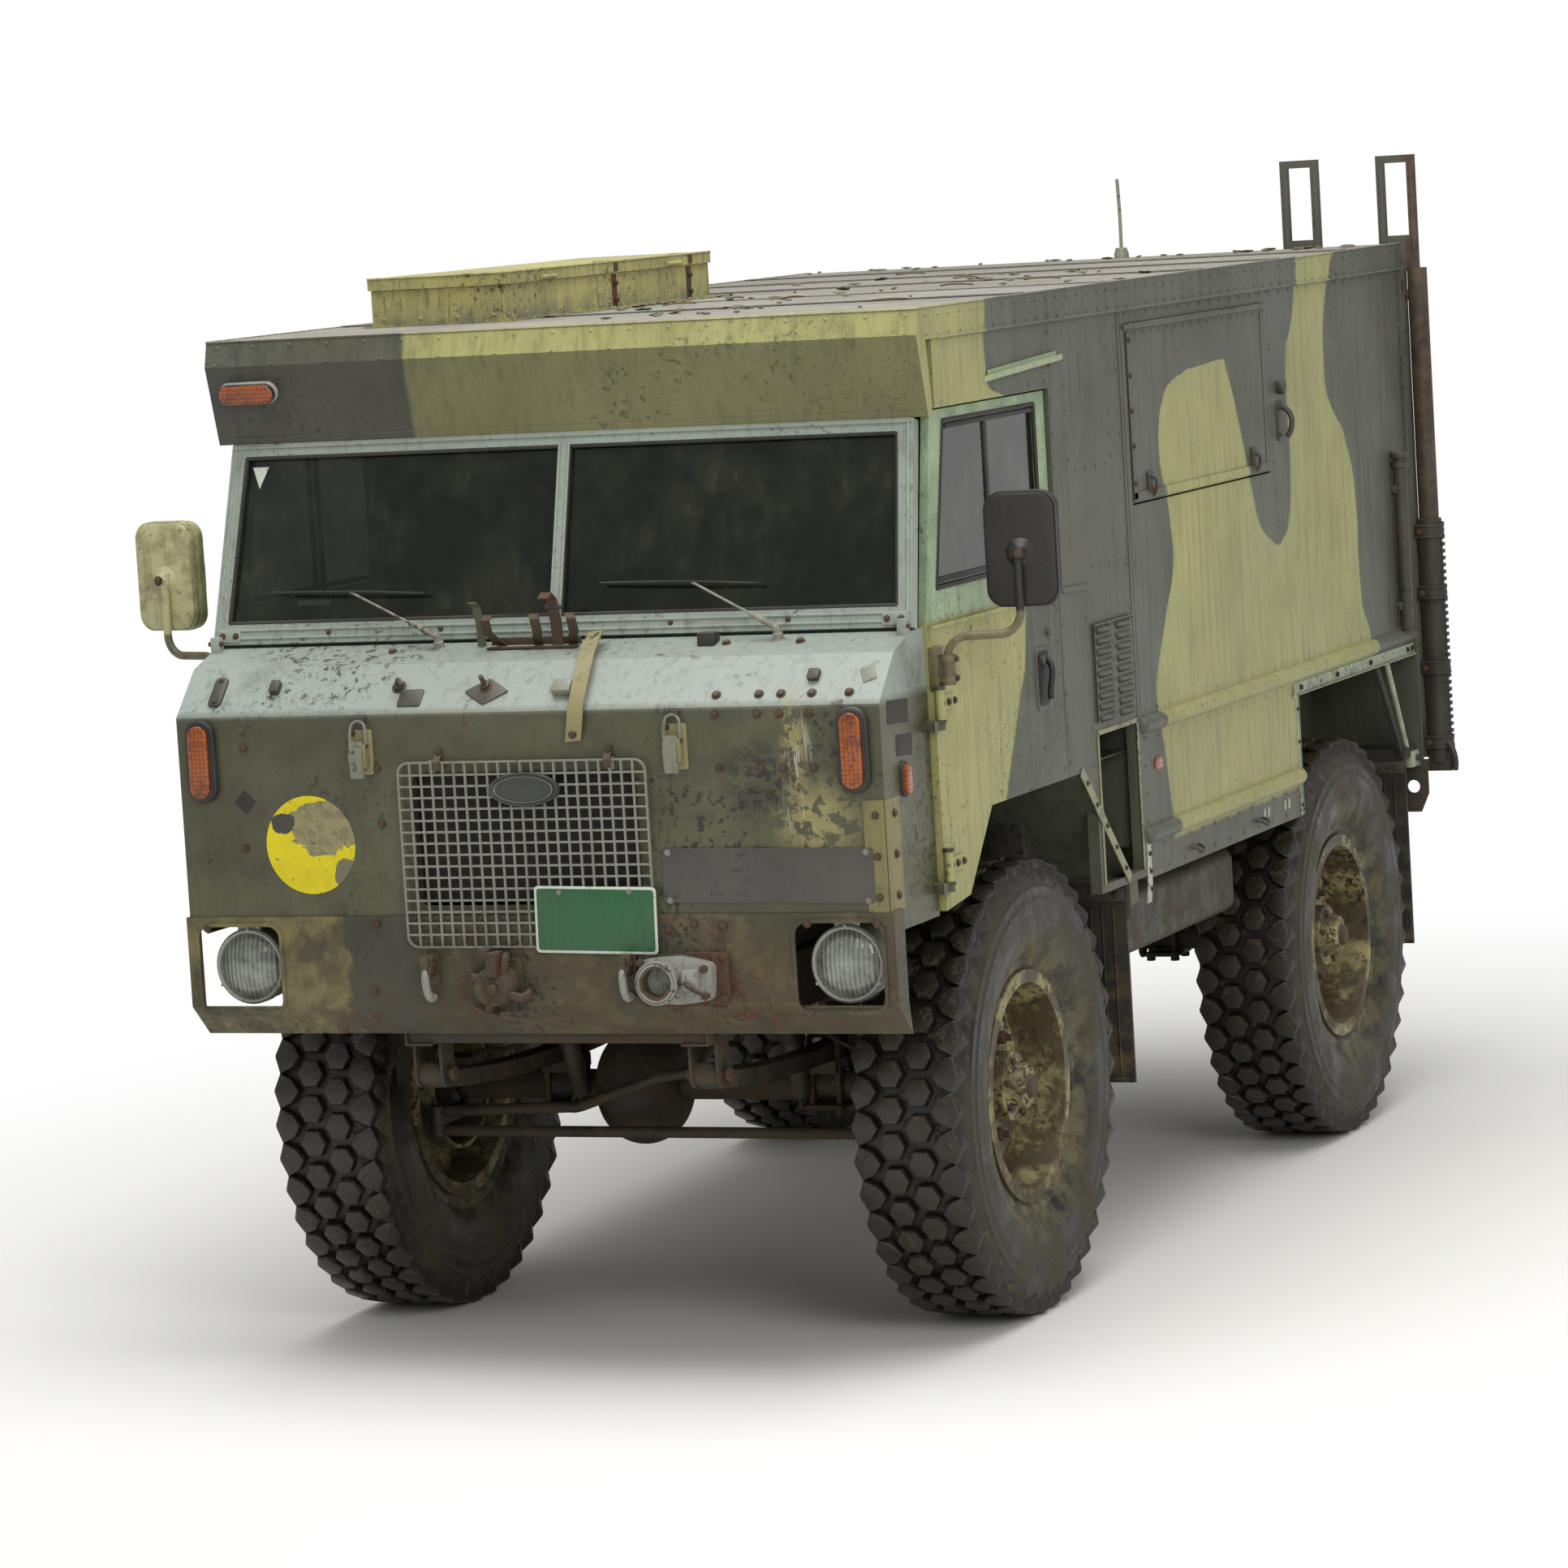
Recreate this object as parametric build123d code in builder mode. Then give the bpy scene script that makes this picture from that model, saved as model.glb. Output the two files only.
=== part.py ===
from build123d import *
import os
from math import cos, radians, sin, sqrt, tan

# A forward-control 4x4 truck with a hard box body, in millimetres.
# +Z is up, the nose faces -Y, the truck's left side is at +X, and the origin is on the
# ground under the middle of the whole truck.

os.makedirs("parts", exist_ok=True)

# Wheels and axles
wheelbase = 2565.0
front_axle_y = -1200.0
rear_axle_y = front_axle_y + wheelbase
tyre_r = 560.0
tyre_w = 300.0
tread_w = 262.0
bead_r = 257.0
flange_r = 285.0
rim_w = 210.0
rim_wall = 8.0
track_half = 767.0
hub_z = tyre_r
seat_gap = 0.3
spindle_r = 28.0
drum_r = 165.0
drum_w = 110.0
kingpin_x = 632.0
kingpin_r = 42.0
kingpin_h = 52.0
arm_len = 200.0
rod_r = 14.0
beam_r = 38.0
diff_r = 150.0
diff_x = -145.0

# Frame and springs
rail_x = 360.0
rail_w = 70.0
rail_bottom = 790.0
rail_h = 140.0
rail_wall = 6.0
rail_top = rail_bottom + rail_h
spring_w = 60.0
spring_eye_z = 712.0
spring_reach = 750.0
spring_seat_z = hub_z + 70.0
leaf_t = 10.0
leaves = 4
eye_r = 34.0

# Cab and box body
body_half = 925.0
box_front_y = -372.0
tail_y = 2102.0
roof_z = 2482.0
roof_rail_h = 75.0
sheet = 4.0
wall = 30.0
sill_z = 955.0
rear_arch_y = 940.0
rear_arch_z = 1290.0
waist_z = 1735.0

# Nose, from the bumper up to the windscreen
nose_half = 908.0
bumper_half = 916.0
bumper_y = -2114.0
bumper_top = 1116.0
bumper_low = 899.0
bumper_lip_y = -2035.0
bumper_lip_z = 822.0
fold_y = -2109.0
fold_z = 1597.0
slope_y = -2001.0
slope_z = 1705.0
screen_low_y = -1886.0
screen_low_z = 1742.0
screen_top_y = -1748.0
screen_top_z = 2228.0
screen_low_half = 912.0
screen_top_half = 892.0
peak_y = -1782.0
peak_low_y = -1799.0
peak_low_z = 2421.0

# Doors
door_front_y = -1800.0
door_rear_y = -925.0
door_low_z = 1075.0
door_t = 34.0
arch_front_y = -1640.0
arch_top_front_y = -1465.0
arch_top_z = 1283.0
hinge_x = body_half + 12.0
hinge_r = 11.0
hinge_h = 70.0
hinge_zs = (1180.0, 1560.0)
gap = 5.0

# Reach of the whole truck, fore and aft and to each side
reach_y = 2192.0
mirror_reach = 1208.0


def wheel_plane(x, y):
    """Plane through a wheel's centre: local x runs outboard to +X, local y up."""
    return Plane(origin=(x, y, hub_z), x_dir=(1, 0, 0), z_dir=(0, -1, 0))


# Chassis frame: two channel side rails, crossmembers and the spring hangers
rail_front_y = bumper_lip_y + 6.0
rail_rear_y = tail_y - 40.0
cross_w = 60.0
cross_ys = [-1990.0, -1520.0, 20.0, 900.0, rail_rear_y - cross_w / 2]
horn_t = 22.0
horn_y0, horn_y1 = bumper_y + sheet + seat_gap, rail_front_y + 10.0
cross_half = rail_x + rail_w / 2 - rail_wall - seat_gap
hanger_t = 8.0
hanger_gap = spring_w + 2 * seat_gap
front_eyes = (front_axle_y - spring_reach, front_axle_y + spring_reach)
rear_eyes = (rear_axle_y - spring_reach, rear_axle_y + spring_reach - 110.0)
eye_ys = front_eyes + rear_eyes
with BuildPart() as chassis_frame:
    for side in (-1, 1):
        with BuildSketch(Plane.XZ.offset(-rail_rear_y)):
            with Locations((side * rail_x, rail_bottom + rail_h / 2)):
                Rectangle(rail_w, rail_h)
            with Locations((side * (rail_x - rail_wall), rail_bottom + rail_h / 2)):
                Rectangle(rail_w, rail_h - 2 * rail_wall, mode=Mode.SUBTRACT)
        extrude(amount=rail_rear_y - rail_front_y)
        # horn that reaches the bumper's back
        with Locations((side * rail_x, (horn_y0 + horn_y1) / 2, rail_top - horn_t / 2 - 3)):
            Box(rail_w, horn_y1 - horn_y0, horn_t)
        for y in eye_ys:
            for cheek in (-1, 1):
                x = side * rail_x + cheek * (hanger_gap / 2 + hanger_t / 2)
                with BuildSketch(Plane.YZ.offset(x - hanger_t / 2)):
                    with Locations((y, rail_bottom + 10)):
                        Rectangle(2 * eye_r, 20)
                    with Locations((y, (rail_bottom + spring_eye_z) / 2)):
                        Rectangle(2 * eye_r, rail_bottom - spring_eye_z)
                    with Locations((y, spring_eye_z)):
                        Circle(eye_r)
                extrude(amount=hanger_t)
    for y in cross_ys:
        with Locations((0, y, rail_bottom + rail_h / 2)):
            Box(2 * cross_half, cross_w, rail_h - 2 * rail_wall - 2 * seat_gap)
chassis_frame.part.label = "chassis_frame"
export_step(chassis_frame.part, "parts/chassis_frame.step")

# Leaf springs: four packs, each with its leaves in contact and rolled eyes at both ends
with BuildPart() as suspension:
    for side in (-1, 1):
        for ends, axle_y in ((front_eyes, front_axle_y), (rear_eyes, rear_axle_y)):
            front_y, rear_y = ends
            with BuildSketch(Plane.YZ.offset(side * rail_x - spring_w / 2)):
                for number in range(leaves):
                    drop = number * leaf_t
                    top = spring_seat_z + (leaves - number) * leaf_t
                    with BuildLine():
                        upper = ThreePointArc((front_y, spring_eye_z + leaf_t / 2 - drop),
                                              (axle_y, top),
                                              (rear_y, spring_eye_z + leaf_t / 2 - drop))
                        lower = ThreePointArc((front_y, spring_eye_z - leaf_t / 2 - drop),
                                              (axle_y, top - leaf_t),
                                              (rear_y, spring_eye_z - leaf_t / 2 - drop))
                        Line(upper @ 0, lower @ 0)
                        Line(upper @ 1, lower @ 1)
                    make_face()
                for y in ends:
                    with Locations((y, spring_eye_z)):
                        Circle(eye_r - 6)
            extrude(amount=spring_w)
            with BuildSketch(Plane.XY.offset(hub_z + beam_r)):
                with Locations((side * rail_x, axle_y)):
                    Rectangle(spring_w + 16, 130)
            extrude(amount=spring_seat_z - hub_z - beam_r + 1)
suspension.part.label = "suspension"
export_step(suspension.part, "parts/suspension.step")

# Axles: a tube with the differential's housing, and at the front a trunnion for each kingpin
rear_tube_half = track_half - drum_w + 20.0
housing_half = 110.0
pinion_r, pinion_out = 62.0, 60.0
spindle_out = 90.0
for name, axle_y, half in (("front_axle", front_axle_y, kingpin_x),
                           ("rear_axle", rear_axle_y, rear_tube_half)):
    with BuildPart() as axle:
        with BuildSketch(Plane.YZ.offset(-half)):
            with Locations((axle_y, hub_z)):
                Circle(beam_r - seat_gap)
        extrude(amount=2 * half)
        with BuildSketch(wheel_plane(diff_x, axle_y)):
            with BuildLine():
                arc = ThreePointArc((-housing_half, beam_r), (0, diff_r), (housing_half, beam_r))
                Line(arc @ 1, (housing_half, 0))
                Line((housing_half, 0), (-housing_half, 0))
                Line((-housing_half, 0), arc @ 0)
            make_face()
        revolve(axis=Axis((diff_x, axle_y, hub_z), (1, 0, 0)))
        # pinion nose, which points back on the front axle and forward on the rear one
        way = 1 if name == "front_axle" else -1
        with BuildSketch(Plane(origin=(diff_x, axle_y, hub_z), x_dir=(1, 0, 0), z_dir=(0, way, 0))):
            Circle(pinion_r)
        extrude(amount=diff_r + pinion_out)
        if name == "front_axle":
            for side in (-1, 1):
                with Locations((side * kingpin_x, axle_y, hub_z)):
                    Sphere(kingpin_r)
                    Cylinder(spindle_r, 2 * kingpin_h)
        else:
            for side in (-1, 1):
                with BuildSketch(Plane.YZ.offset(side * half)):
                    with Locations((axle_y, hub_z)):
                        Circle(spindle_r)
                extrude(amount=side * (track_half + spindle_out - half))
    axle.part.label = name
    export_step(axle.part, f"parts/{name}.step")

# Steering knuckles: a fork round each kingpin, the wheel's spindle and a steering arm
lug_t = 20.0
fork_x = kingpin_r + 8.0
fork_t = 15.0
for name, side in (("knuckle_left", 1), ("knuckle_right", -1)):
    with BuildPart() as knuckle:
        x_in = kingpin_x - 30.0
        x_out = kingpin_x + fork_x + fork_t
        for up in (-1, 1):
            z_low = hub_z + kingpin_h + seat_gap if up > 0 else hub_z - kingpin_h - seat_gap - lug_t
            with BuildSketch(Plane.XY.offset(z_low)):
                with Locations((side * (x_in + x_out) / 2, front_axle_y)):
                    RectangleRounded(x_out - x_in, 80, 20)
            extrude(amount=lug_t)
        with BuildSketch(Plane.YZ.offset(side * (kingpin_x + fork_x))):
            with Locations((front_axle_y, hub_z)):
                Rectangle(80, 2 * (kingpin_h + seat_gap + lug_t))
                Circle(78)
        extrude(amount=side * fork_t)
        with BuildSketch(Plane.YZ.offset(side * x_out)):
            with Locations((front_axle_y, hub_z)):
                Circle(spindle_r)
        extrude(amount=side * (track_half + spindle_out - x_out))
        with BuildSketch(Plane.XY.offset(hub_z - kingpin_h - seat_gap - lug_t)):
            with Locations((side * kingpin_x, front_axle_y - arm_len / 2)):
                Rectangle(26, arm_len)
            with Locations((side * kingpin_x, front_axle_y - arm_len)):
                Circle(18)
        extrude(amount=lug_t)
    knuckle.part.label = name
    export_step(knuckle.part, f"parts/{name}.step")

# Track rod: a tube with an eye under each steering arm
arm_bottom_z = hub_z - kingpin_h - seat_gap - lug_t
rod_y = front_axle_y - arm_len
with BuildPart() as track_rod:
    with BuildSketch(Plane.YZ.offset(-kingpin_x)):
        with Locations((rod_y, arm_bottom_z - seat_gap - rod_r)):
            Circle(rod_r)
    extrude(amount=2 * kingpin_x)
    for side in (-1, 1):
        with Locations((side * kingpin_x, rod_y, arm_bottom_z - seat_gap - rod_r)):
            Cylinder(20, 2 * rod_r)
track_rod.part.label = "track_rod"
export_step(track_rod.part, "parts/track_rod.step")

# Drag link: a cranked tube from the right steering arm up towards the steering box
arm_top_z = arm_bottom_z + lug_t
link_z = arm_top_z + seat_gap + rod_r
with BuildPart() as drag_link:
    with BuildLine():
        FilletPolyline((-kingpin_x, rod_y, link_z), (-240, rod_y, link_z + 14),
                       (0, rod_y - 30, link_z + 96), (120, rod_y - 30, link_z + 110), radius=60)
    with BuildSketch(Plane(origin=(-kingpin_x, rod_y, link_z), z_dir=(1, 0, 0.0357))):
        Circle(rod_r)
    sweep()
    with Locations((-kingpin_x, rod_y, link_z)):
        Cylinder(20, 2 * rod_r)
drag_link.part.label = "drag_link"
export_step(drag_link.part, "parts/drag_link.step")

# Wheels: a deep-dished disc in a flanged rim with hub, cap and brake drum, and a tyre on it
hand_holes = 6
hand_hole_r = 24.0
bore_r = spindle_r + seat_gap
rim_half = rim_w / 2
# two rows of lugs round the tread, the outer row half a pitch on from the inner one
lugs = 20
lug_h, lug_len, lug_groove, lug_root = 14.0, 118.0, 20.0, 4.0
lug_w = (tread_w - lug_groove) / 2
lug_top = sqrt(tyre_r ** 2 - (lug_len / 2) ** 2)
corners = (("front_left", 1, front_axle_y), ("front_right", -1, front_axle_y),
           ("rear_left", 1, rear_axle_y), ("rear_right", -1, rear_axle_y))
for corner, side, axle_y in corners:
    centre_x = side * track_half
    spin = Axis((centre_x, axle_y, hub_z), (1, 0, 0))
    outer = rim_half + seat_gap + rim_wall
    inner_r = bead_r - seat_gap - rim_wall
    # outline as (distance outboard, radius), from the outer flange in to the cap and back
    outline = [
        (outer, flange_r), (outer, inner_r + 4), (0, inner_r), (0, 215), (28, 160), (28, 85),
        (72, 85), (78, 58), (108, 54), (114, 40), (114, 0), (92, 0), (92, bore_r), (-30, bore_r),
        (-30, 75), (-14, 75), (-14, drum_r - 10), (-drum_w, drum_r - 10), (-drum_w, drum_r),
        (12, drum_r), (-14, 213), (-14, inner_r), (-outer, inner_r + 4), (-outer, flange_r),
        (-rim_half - seat_gap, flange_r), (-rim_half - seat_gap, bead_r - seat_gap),
        (rim_half + seat_gap, bead_r - seat_gap), (rim_half + seat_gap, flange_r)]
    with BuildPart() as wheel:
        with BuildSketch(wheel_plane(centre_x, axle_y)):
            with BuildLine():
                Polyline([(side * x, r) for x, r in outline], close=True)
            make_face()
        revolve(axis=spin)
        hole_plane = Plane(origin=(centre_x - side * 20, axle_y, hub_z), x_dir=(0, 1, 0), z_dir=(side, 0, 0))
        with BuildSketch(hole_plane):
            with PolarLocations(190, hand_holes):
                Circle(hand_hole_r)
        extrude(amount=60, mode=Mode.SUBTRACT)
    wheel.part.label = f"wheel_{corner}"
    export_step(wheel.part, f"parts/wheel_{corner}.step")

    # the casing in straight lines, as (distance from the middle, radius) on its outboard half
    casing = [(rim_half, bead_r), (rim_half, flange_r + 4), (tyre_w / 2, 400), (tread_w / 2 + 3, tyre_r - lug_h)]
    with BuildPart() as tyre:
        with BuildSketch(wheel_plane(centre_x, axle_y)):
            with BuildLine():
                Polyline(casing + [(-x, r) for x, r in reversed(casing)], close=True)
            make_face()
        revolve(axis=spin)
        lug_spots = [Location((centre_x, axle_y, hub_z), (number * 360 / lugs + shift, 0, 0))
                     * Location((row * (lug_groove + lug_w) / 2, 0, lug_top - (lug_h + 2 * lug_root) / 2))
                     for row, shift in ((-1, 0), (1, 180 / lugs)) for number in range(lugs)]
        with Locations(lug_spots):
            Box(lug_w, lug_len, lug_h + 2 * lug_root)
    tyre.part.label = f"tyre_{corner}"
    export_step(tyre.part, f"parts/tyre_{corner}.step")

# Engine, gearbox and transfer case in one line between the rails
engine_w, engine_len, engine_h = 560.0, 640.0, 560.0
engine_low = 815.0
engine_y = -1080.0
gearbox_len, gearbox_w, gearbox_h = 700.0, 280.0, 200.0
transfer_x, transfer_w, transfer_len, transfer_h = -90.0, 320.0, 200.0, 260.0
mount_w, mount_len, mount_h = 62.0, 90.0, 60.0
gearbox_y = engine_y + engine_len / 2 + gearbox_len / 2
transfer_y = gearbox_y + 230.0
with BuildPart() as powertrain:
    with Locations((0, engine_y, engine_low + engine_h / 2)):
        Box(engine_w, engine_len, engine_h)
    with Locations((0, gearbox_y, engine_low + 110)):
        Box(gearbox_w, gearbox_len + 2, gearbox_h)
    with Locations((transfer_x, transfer_y, engine_low - 60)):
        Box(transfer_w, transfer_len, transfer_h)
    for side in (-1, 1):
        with Locations((side * (engine_w / 2 + 30), engine_y, rail_bottom + rail_wall + seat_gap + mount_h / 2)):
            Box(mount_w, mount_len, mount_h)
powertrain.part.label = "powertrain"
export_step(powertrain.part, "parts/powertrain.step")

# Propeller shafts from the transfer case to both axles
shaft_r = 32.0
joint_r, joint_t = 52.0, 26.0
transfer_z = engine_low - 110
with BuildPart() as propshafts:
    for axle_y, way in ((front_axle_y, 1), (rear_axle_y, -1)):
        y0 = axle_y + way * (diff_r + pinion_out + seat_gap)
        y1 = transfer_y - way * (transfer_len / 2 + seat_gap)
        run = sqrt((y1 - y0) ** 2 + (transfer_z - hub_z) ** 2)
        aim = Plane(origin=(diff_x, y0, hub_z), x_dir=(1, 0, 0), z_dir=(0, y1 - y0, transfer_z - hub_z))
        with BuildSketch(aim.offset(16)):
            Circle(shaft_r)
        extrude(amount=run - 32)
        for y, z, face in ((y0, hub_z, way), (y1, transfer_z, -way)):
            with BuildSketch(Plane(origin=(diff_x, y, z), x_dir=(1, 0, 0), z_dir=(0, face, 0))):
                Circle(joint_r)
            extrude(amount=joint_t)
propshafts.part.label = "propshafts"
export_step(propshafts.part, "parts/propshafts.step")

# Fuel tanks, one outboard of each rail under the box
tank_x, tank_w, tank_len, tank_h = 620.0, 380.0, 900.0, 180.0
tank_y = 190.0
tank_top = rail_top - 20
tank_bracket_h = 60.0
with BuildPart() as fuel_tanks:
    for side in (-1, 1):
        with BuildSketch(Plane.XZ.offset(-tank_y - tank_len / 2)):
            with Locations((side * tank_x, tank_top - tank_h / 2)):
                RectangleRounded(tank_w, tank_h, 40)
        extrude(amount=tank_len)
        rail_face = rail_x + rail_w / 2
        tank_face = tank_x - tank_w / 2
        for y in (tank_y - tank_len / 4, tank_y + tank_len / 4):
            with Locations((side * (rail_face + tank_face) / 2, y, tank_top - tank_bracket_h)):
                Box(tank_face - rail_face, 50, tank_bracket_h)
fuel_tanks.part.label = "fuel_tanks"
export_step(fuel_tanks.part, "parts/fuel_tanks.step")

# Bumper: a folded channel with mitred ends, a lip that slopes back and two lamp openings
lamp_x = 776.0
lamp_z = 990.0
lamp_open_w, lamp_open_h, lamp_open_r = 222.0, 212.0, 34.0
bumper_return = 64.0
socket_x, socket_z = 342.0, 964.0
clamp_x, clamp_z = -92.0, 952.0
shackle_xs = (-264.0, 246.0)
plate_t = 10.0
socket_r, socket_bore_r = 48.0, 33.0
clamp_r, clamp_out = 46.0, 40.0
front_reach = reach_y + bumper_y
with BuildPart() as bumper:
    with BuildSketch(Plane.YZ.offset(-bumper_half)):
        with BuildLine():
            Polyline((bumper_y, bumper_low), (bumper_y, bumper_top), (bumper_y + bumper_return, bumper_top),
                     (bumper_y + bumper_return, bumper_top - sheet), (bumper_y + sheet, bumper_top - sheet),
                     (bumper_y + sheet, bumper_low + 2), (bumper_lip_y, bumper_lip_z + sheet),
                     (bumper_lip_y, bumper_lip_z), close=True)
        make_face()
    extrude(amount=2 * bumper_half)
    for side in (-1, 1):
        with BuildSketch(Plane.YZ.offset(side * (bumper_half - sheet))):
            with BuildLine():
                Polyline((bumper_y, bumper_low), (bumper_y, bumper_top), (bumper_y + bumper_return, bumper_top),
                         (bumper_y + bumper_return, bumper_low), (bumper_lip_y, bumper_lip_z), close=True)
            make_face()
        extrude(amount=side * sheet)
    with BuildSketch(Plane.XZ.offset(-bumper_y - sheet - 1)):
        for side in (-1, 1):
            with Locations((side * lamp_x, lamp_z)):
                RectangleRounded(lamp_open_w, lamp_open_h, lamp_open_r)
    extrude(amount=sheet + 2, mode=Mode.SUBTRACT)
    # towing socket with its back plate, clamp and two shackle ears on the face
    with BuildSketch(Plane.XZ.offset(-bumper_y)):
        with Locations((socket_x + 40, socket_z)):
            RectangleRounded(220, 120, 10)
        with Locations((clamp_x, clamp_z)):
            RectangleRounded(130, 130, 20)
        for x in shackle_xs:
            with Locations((x, lamp_z)):
                RectangleRounded(40, 76, 8)
    extrude(amount=plate_t)
    with BuildSketch(Plane.XZ.offset(-bumper_y + plate_t)):
        with Locations((socket_x, socket_z)):
            Circle(socket_r)
            Circle(socket_bore_r, mode=Mode.SUBTRACT)
    extrude(amount=front_reach - plate_t)
    with BuildSketch(Plane.XZ.offset(-bumper_y + plate_t)):
        with Locations((clamp_x, clamp_z)):
            Circle(clamp_r)
        for x in shackle_xs:
            with Locations((x, lamp_z + 8)):
                RectangleRounded(18, 52, 6)
    extrude(amount=clamp_out)
bumper.part.label = "bumper"
export_step(bumper.part, "parts/bumper.step")

# Lamps: two sealed headlamps behind the bumper's openings, and the amber marker lamps
lamp_r = 88.0
lamp_depth = 70.0
lens_y = bumper_y + 52.0
indicator_w, indicator_h, indicator_t = 66.0, 190.0, 22.0
indicator_x, indicator_z = 842.0, 1492.0
peak_lamp_x, peak_lamp_w, peak_lamp_h, peak_lamp_t = -820.0, 150.0, 50.0, 24.0
rear_lamp_x, rear_lamp_r, rear_lamp_t = 775.0, 38.0, 30.0
rear_lamp_zs = (1010.0, 1100.0)
peak_lamp_z = (peak_low_z + screen_top_z) / 2 + 32.0
peak_run = (screen_top_y - peak_low_y) / (peak_low_z - screen_top_z - 1.0)
peak_face_y = peak_low_y + (peak_low_z - peak_lamp_z) * peak_run
with BuildPart() as lamps:
    for side in (-1, 1):
        with BuildSketch(Plane.XZ.offset(-lens_y - lamp_depth)):
            with Locations((side * lamp_x, lamp_z)):
                Circle(lamp_r)
        extrude(amount=lamp_depth)
        with Locations((side * lamp_x, lens_y + 5, (lamp_z + bumper_top - sheet - seat_gap) / 2)):
            Box(60, 10, bumper_top - sheet - seat_gap - lamp_z)
        with BuildSketch(Plane.XZ.offset(-fold_y + seat_gap)):
            with Locations((side * indicator_x, indicator_z)):
                SlotCenterToCenter(indicator_h - indicator_w, indicator_w, rotation=90)
        extrude(amount=indicator_t)
        with BuildSketch(Plane.XZ.offset(-tail_y - seat_gap)):
            with Locations([(side * rear_lamp_x, z) for z in rear_lamp_zs]):
                Circle(rear_lamp_r)
        extrude(amount=-rear_lamp_t)
    peak_face = Plane(origin=(peak_lamp_x, peak_face_y, peak_lamp_z), x_dir=(1, 0, 0), z_dir=(0, -1, -peak_run))
    with BuildSketch(peak_face.offset(seat_gap)):
        SlotCenterToCenter(peak_lamp_w - peak_lamp_h, peak_lamp_h)
    extrude(amount=peak_lamp_t)
lamps.part.label = "lamps"
export_step(lamps.part, "parts/lamps.step")

# Nose: the folded front panel with its side returns, open behind and below
radiator_half, radiator_low, radiator_top = 290.0, 1140.0, 1455.0
knuckle_h = 24.0
side_low_y = bumper_y + bumper_return + 20.0
with BuildPart() as nose_panel:
    with BuildSketch(Plane.YZ.offset(-nose_half)):
        with BuildLine():
            Polyline((fold_y, bumper_top + seat_gap), (fold_y, fold_z), (slope_y, slope_z),
                     (screen_low_y, screen_low_z), (screen_low_y + 50, screen_low_z),
                     (screen_low_y + 50, screen_low_z - sheet), (screen_low_y + 1, screen_low_z - sheet),
                     (slope_y + 2, slope_z - sheet), (fold_y + sheet, fold_z - 2),
                     (fold_y + sheet, bumper_top + seat_gap), close=True)
        make_face()
    extrude(amount=2 * nose_half)
    for side in (-1, 1):
        with BuildSketch(Plane.YZ.offset(side * (nose_half - sheet))):
            with BuildLine():
                Polyline((fold_y, bumper_top + seat_gap), (fold_y, fold_z), (slope_y, slope_z),
                         (screen_low_y, screen_low_z), (door_front_y - gap, screen_low_z),
                         (door_front_y - gap, door_low_z - 10), (side_low_y, door_low_z - 10),
                         (side_low_y, bumper_top + seat_gap), close=True)
            make_face()
        extrude(amount=side * sheet)
        # fixed halves of the door hinges
        for z in hinge_zs:
            mid_z = z - hinge_h / 2 - seat_gap - knuckle_h / 2
            with Locations((side * hinge_x, door_front_y, mid_z)):
                Cylinder(hinge_r, knuckle_h)
            with Locations((side * (nose_half + hinge_x) / 2, door_front_y - 28, mid_z)):
                Box(hinge_x - nose_half + 6, 44, knuckle_h)
    with BuildSketch(Plane.XZ.offset(-fold_y - sheet - 1)):
        with Locations((0, (radiator_low + radiator_top) / 2)):
            RectangleRounded(2 * radiator_half, radiator_top - radiator_low, 24)
    extrude(amount=sheet + 2, mode=Mode.SUBTRACT)
nose_panel.part.label = "nose_panel"
export_step(nose_panel.part, "parts/nose_panel.step")

# Grille: a welded mesh of square wires in a round-cornered double frame
grille_half, grille_low, grille_top = 322.0, 1040.0, 1484.0
mesh_cols, mesh_rows = 22, 16
mesh_wire = 5.0
hook_x, hook_w, hook_h = 230.0, 16.0, 30.0
mesh_y = bumper_y - 6.0
grille_h = grille_top - grille_low
with BuildPart() as grille:
    with BuildSketch(Plane.XZ.offset(-mesh_y)):
        with Locations((0, (grille_low + grille_top) / 2)):
            RectangleRounded(2 * grille_half, grille_h, 30)
            RectangleRounded(2 * grille_half - 2 * mesh_wire, grille_h - 2 * mesh_wire, 26, mode=Mode.SUBTRACT)
            with GridLocations(2 * (grille_half - mesh_wire) / mesh_cols, 1, mesh_cols - 1, 1):
                Rectangle(mesh_wire, grille_h - mesh_wire)
            with GridLocations(1, (grille_h - 2 * mesh_wire) / mesh_rows, 1, mesh_rows - 1):
                Rectangle(2 * grille_half - mesh_wire, mesh_wire)
    extrude(amount=mesh_wire)
    for side in (-1, 1):
        with Locations((side * hook_x, (mesh_y + fold_y) / 2, grille_top - 12)):
            Box(hook_w, fold_y - mesh_y, hook_h)
grille.part.label = "grille"
export_step(grille.part, "parts/grille.step")

# Windscreen: an aluminium frame leaning back, with two panes
frame_t = 34.0
screen_slant = sqrt((screen_top_y - screen_low_y) ** 2 + (screen_top_z - screen_low_z) ** 2)
lean_y = (screen_top_y - screen_low_y) / screen_slant
lean_z = (screen_top_z - screen_low_z) / screen_slant
screen_foot = frame_t * lean_y + seat_gap
screen_rise = screen_slant - screen_foot
screen_plane = Plane(origin=(0, screen_low_y, screen_low_z + screen_foot), x_dir=(1, 0, 0),
                     z_dir=(0, -lean_z, lean_y))
post_w, rail_low_w, rail_top_w, divider_w = 40.0, 52.0, 34.0, 26.0
glass_t = 6.0
pane_half_low = screen_low_half - post_w
pane_half_top = screen_top_half - post_w
panes = []
for side in (-1, 1):
    near = side * divider_w / 2
    panes.append([(near, rail_low_w), (side * pane_half_low, rail_low_w),
                  (side * pane_half_top, screen_rise - rail_top_w), (near, screen_rise - rail_top_w)])
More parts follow.
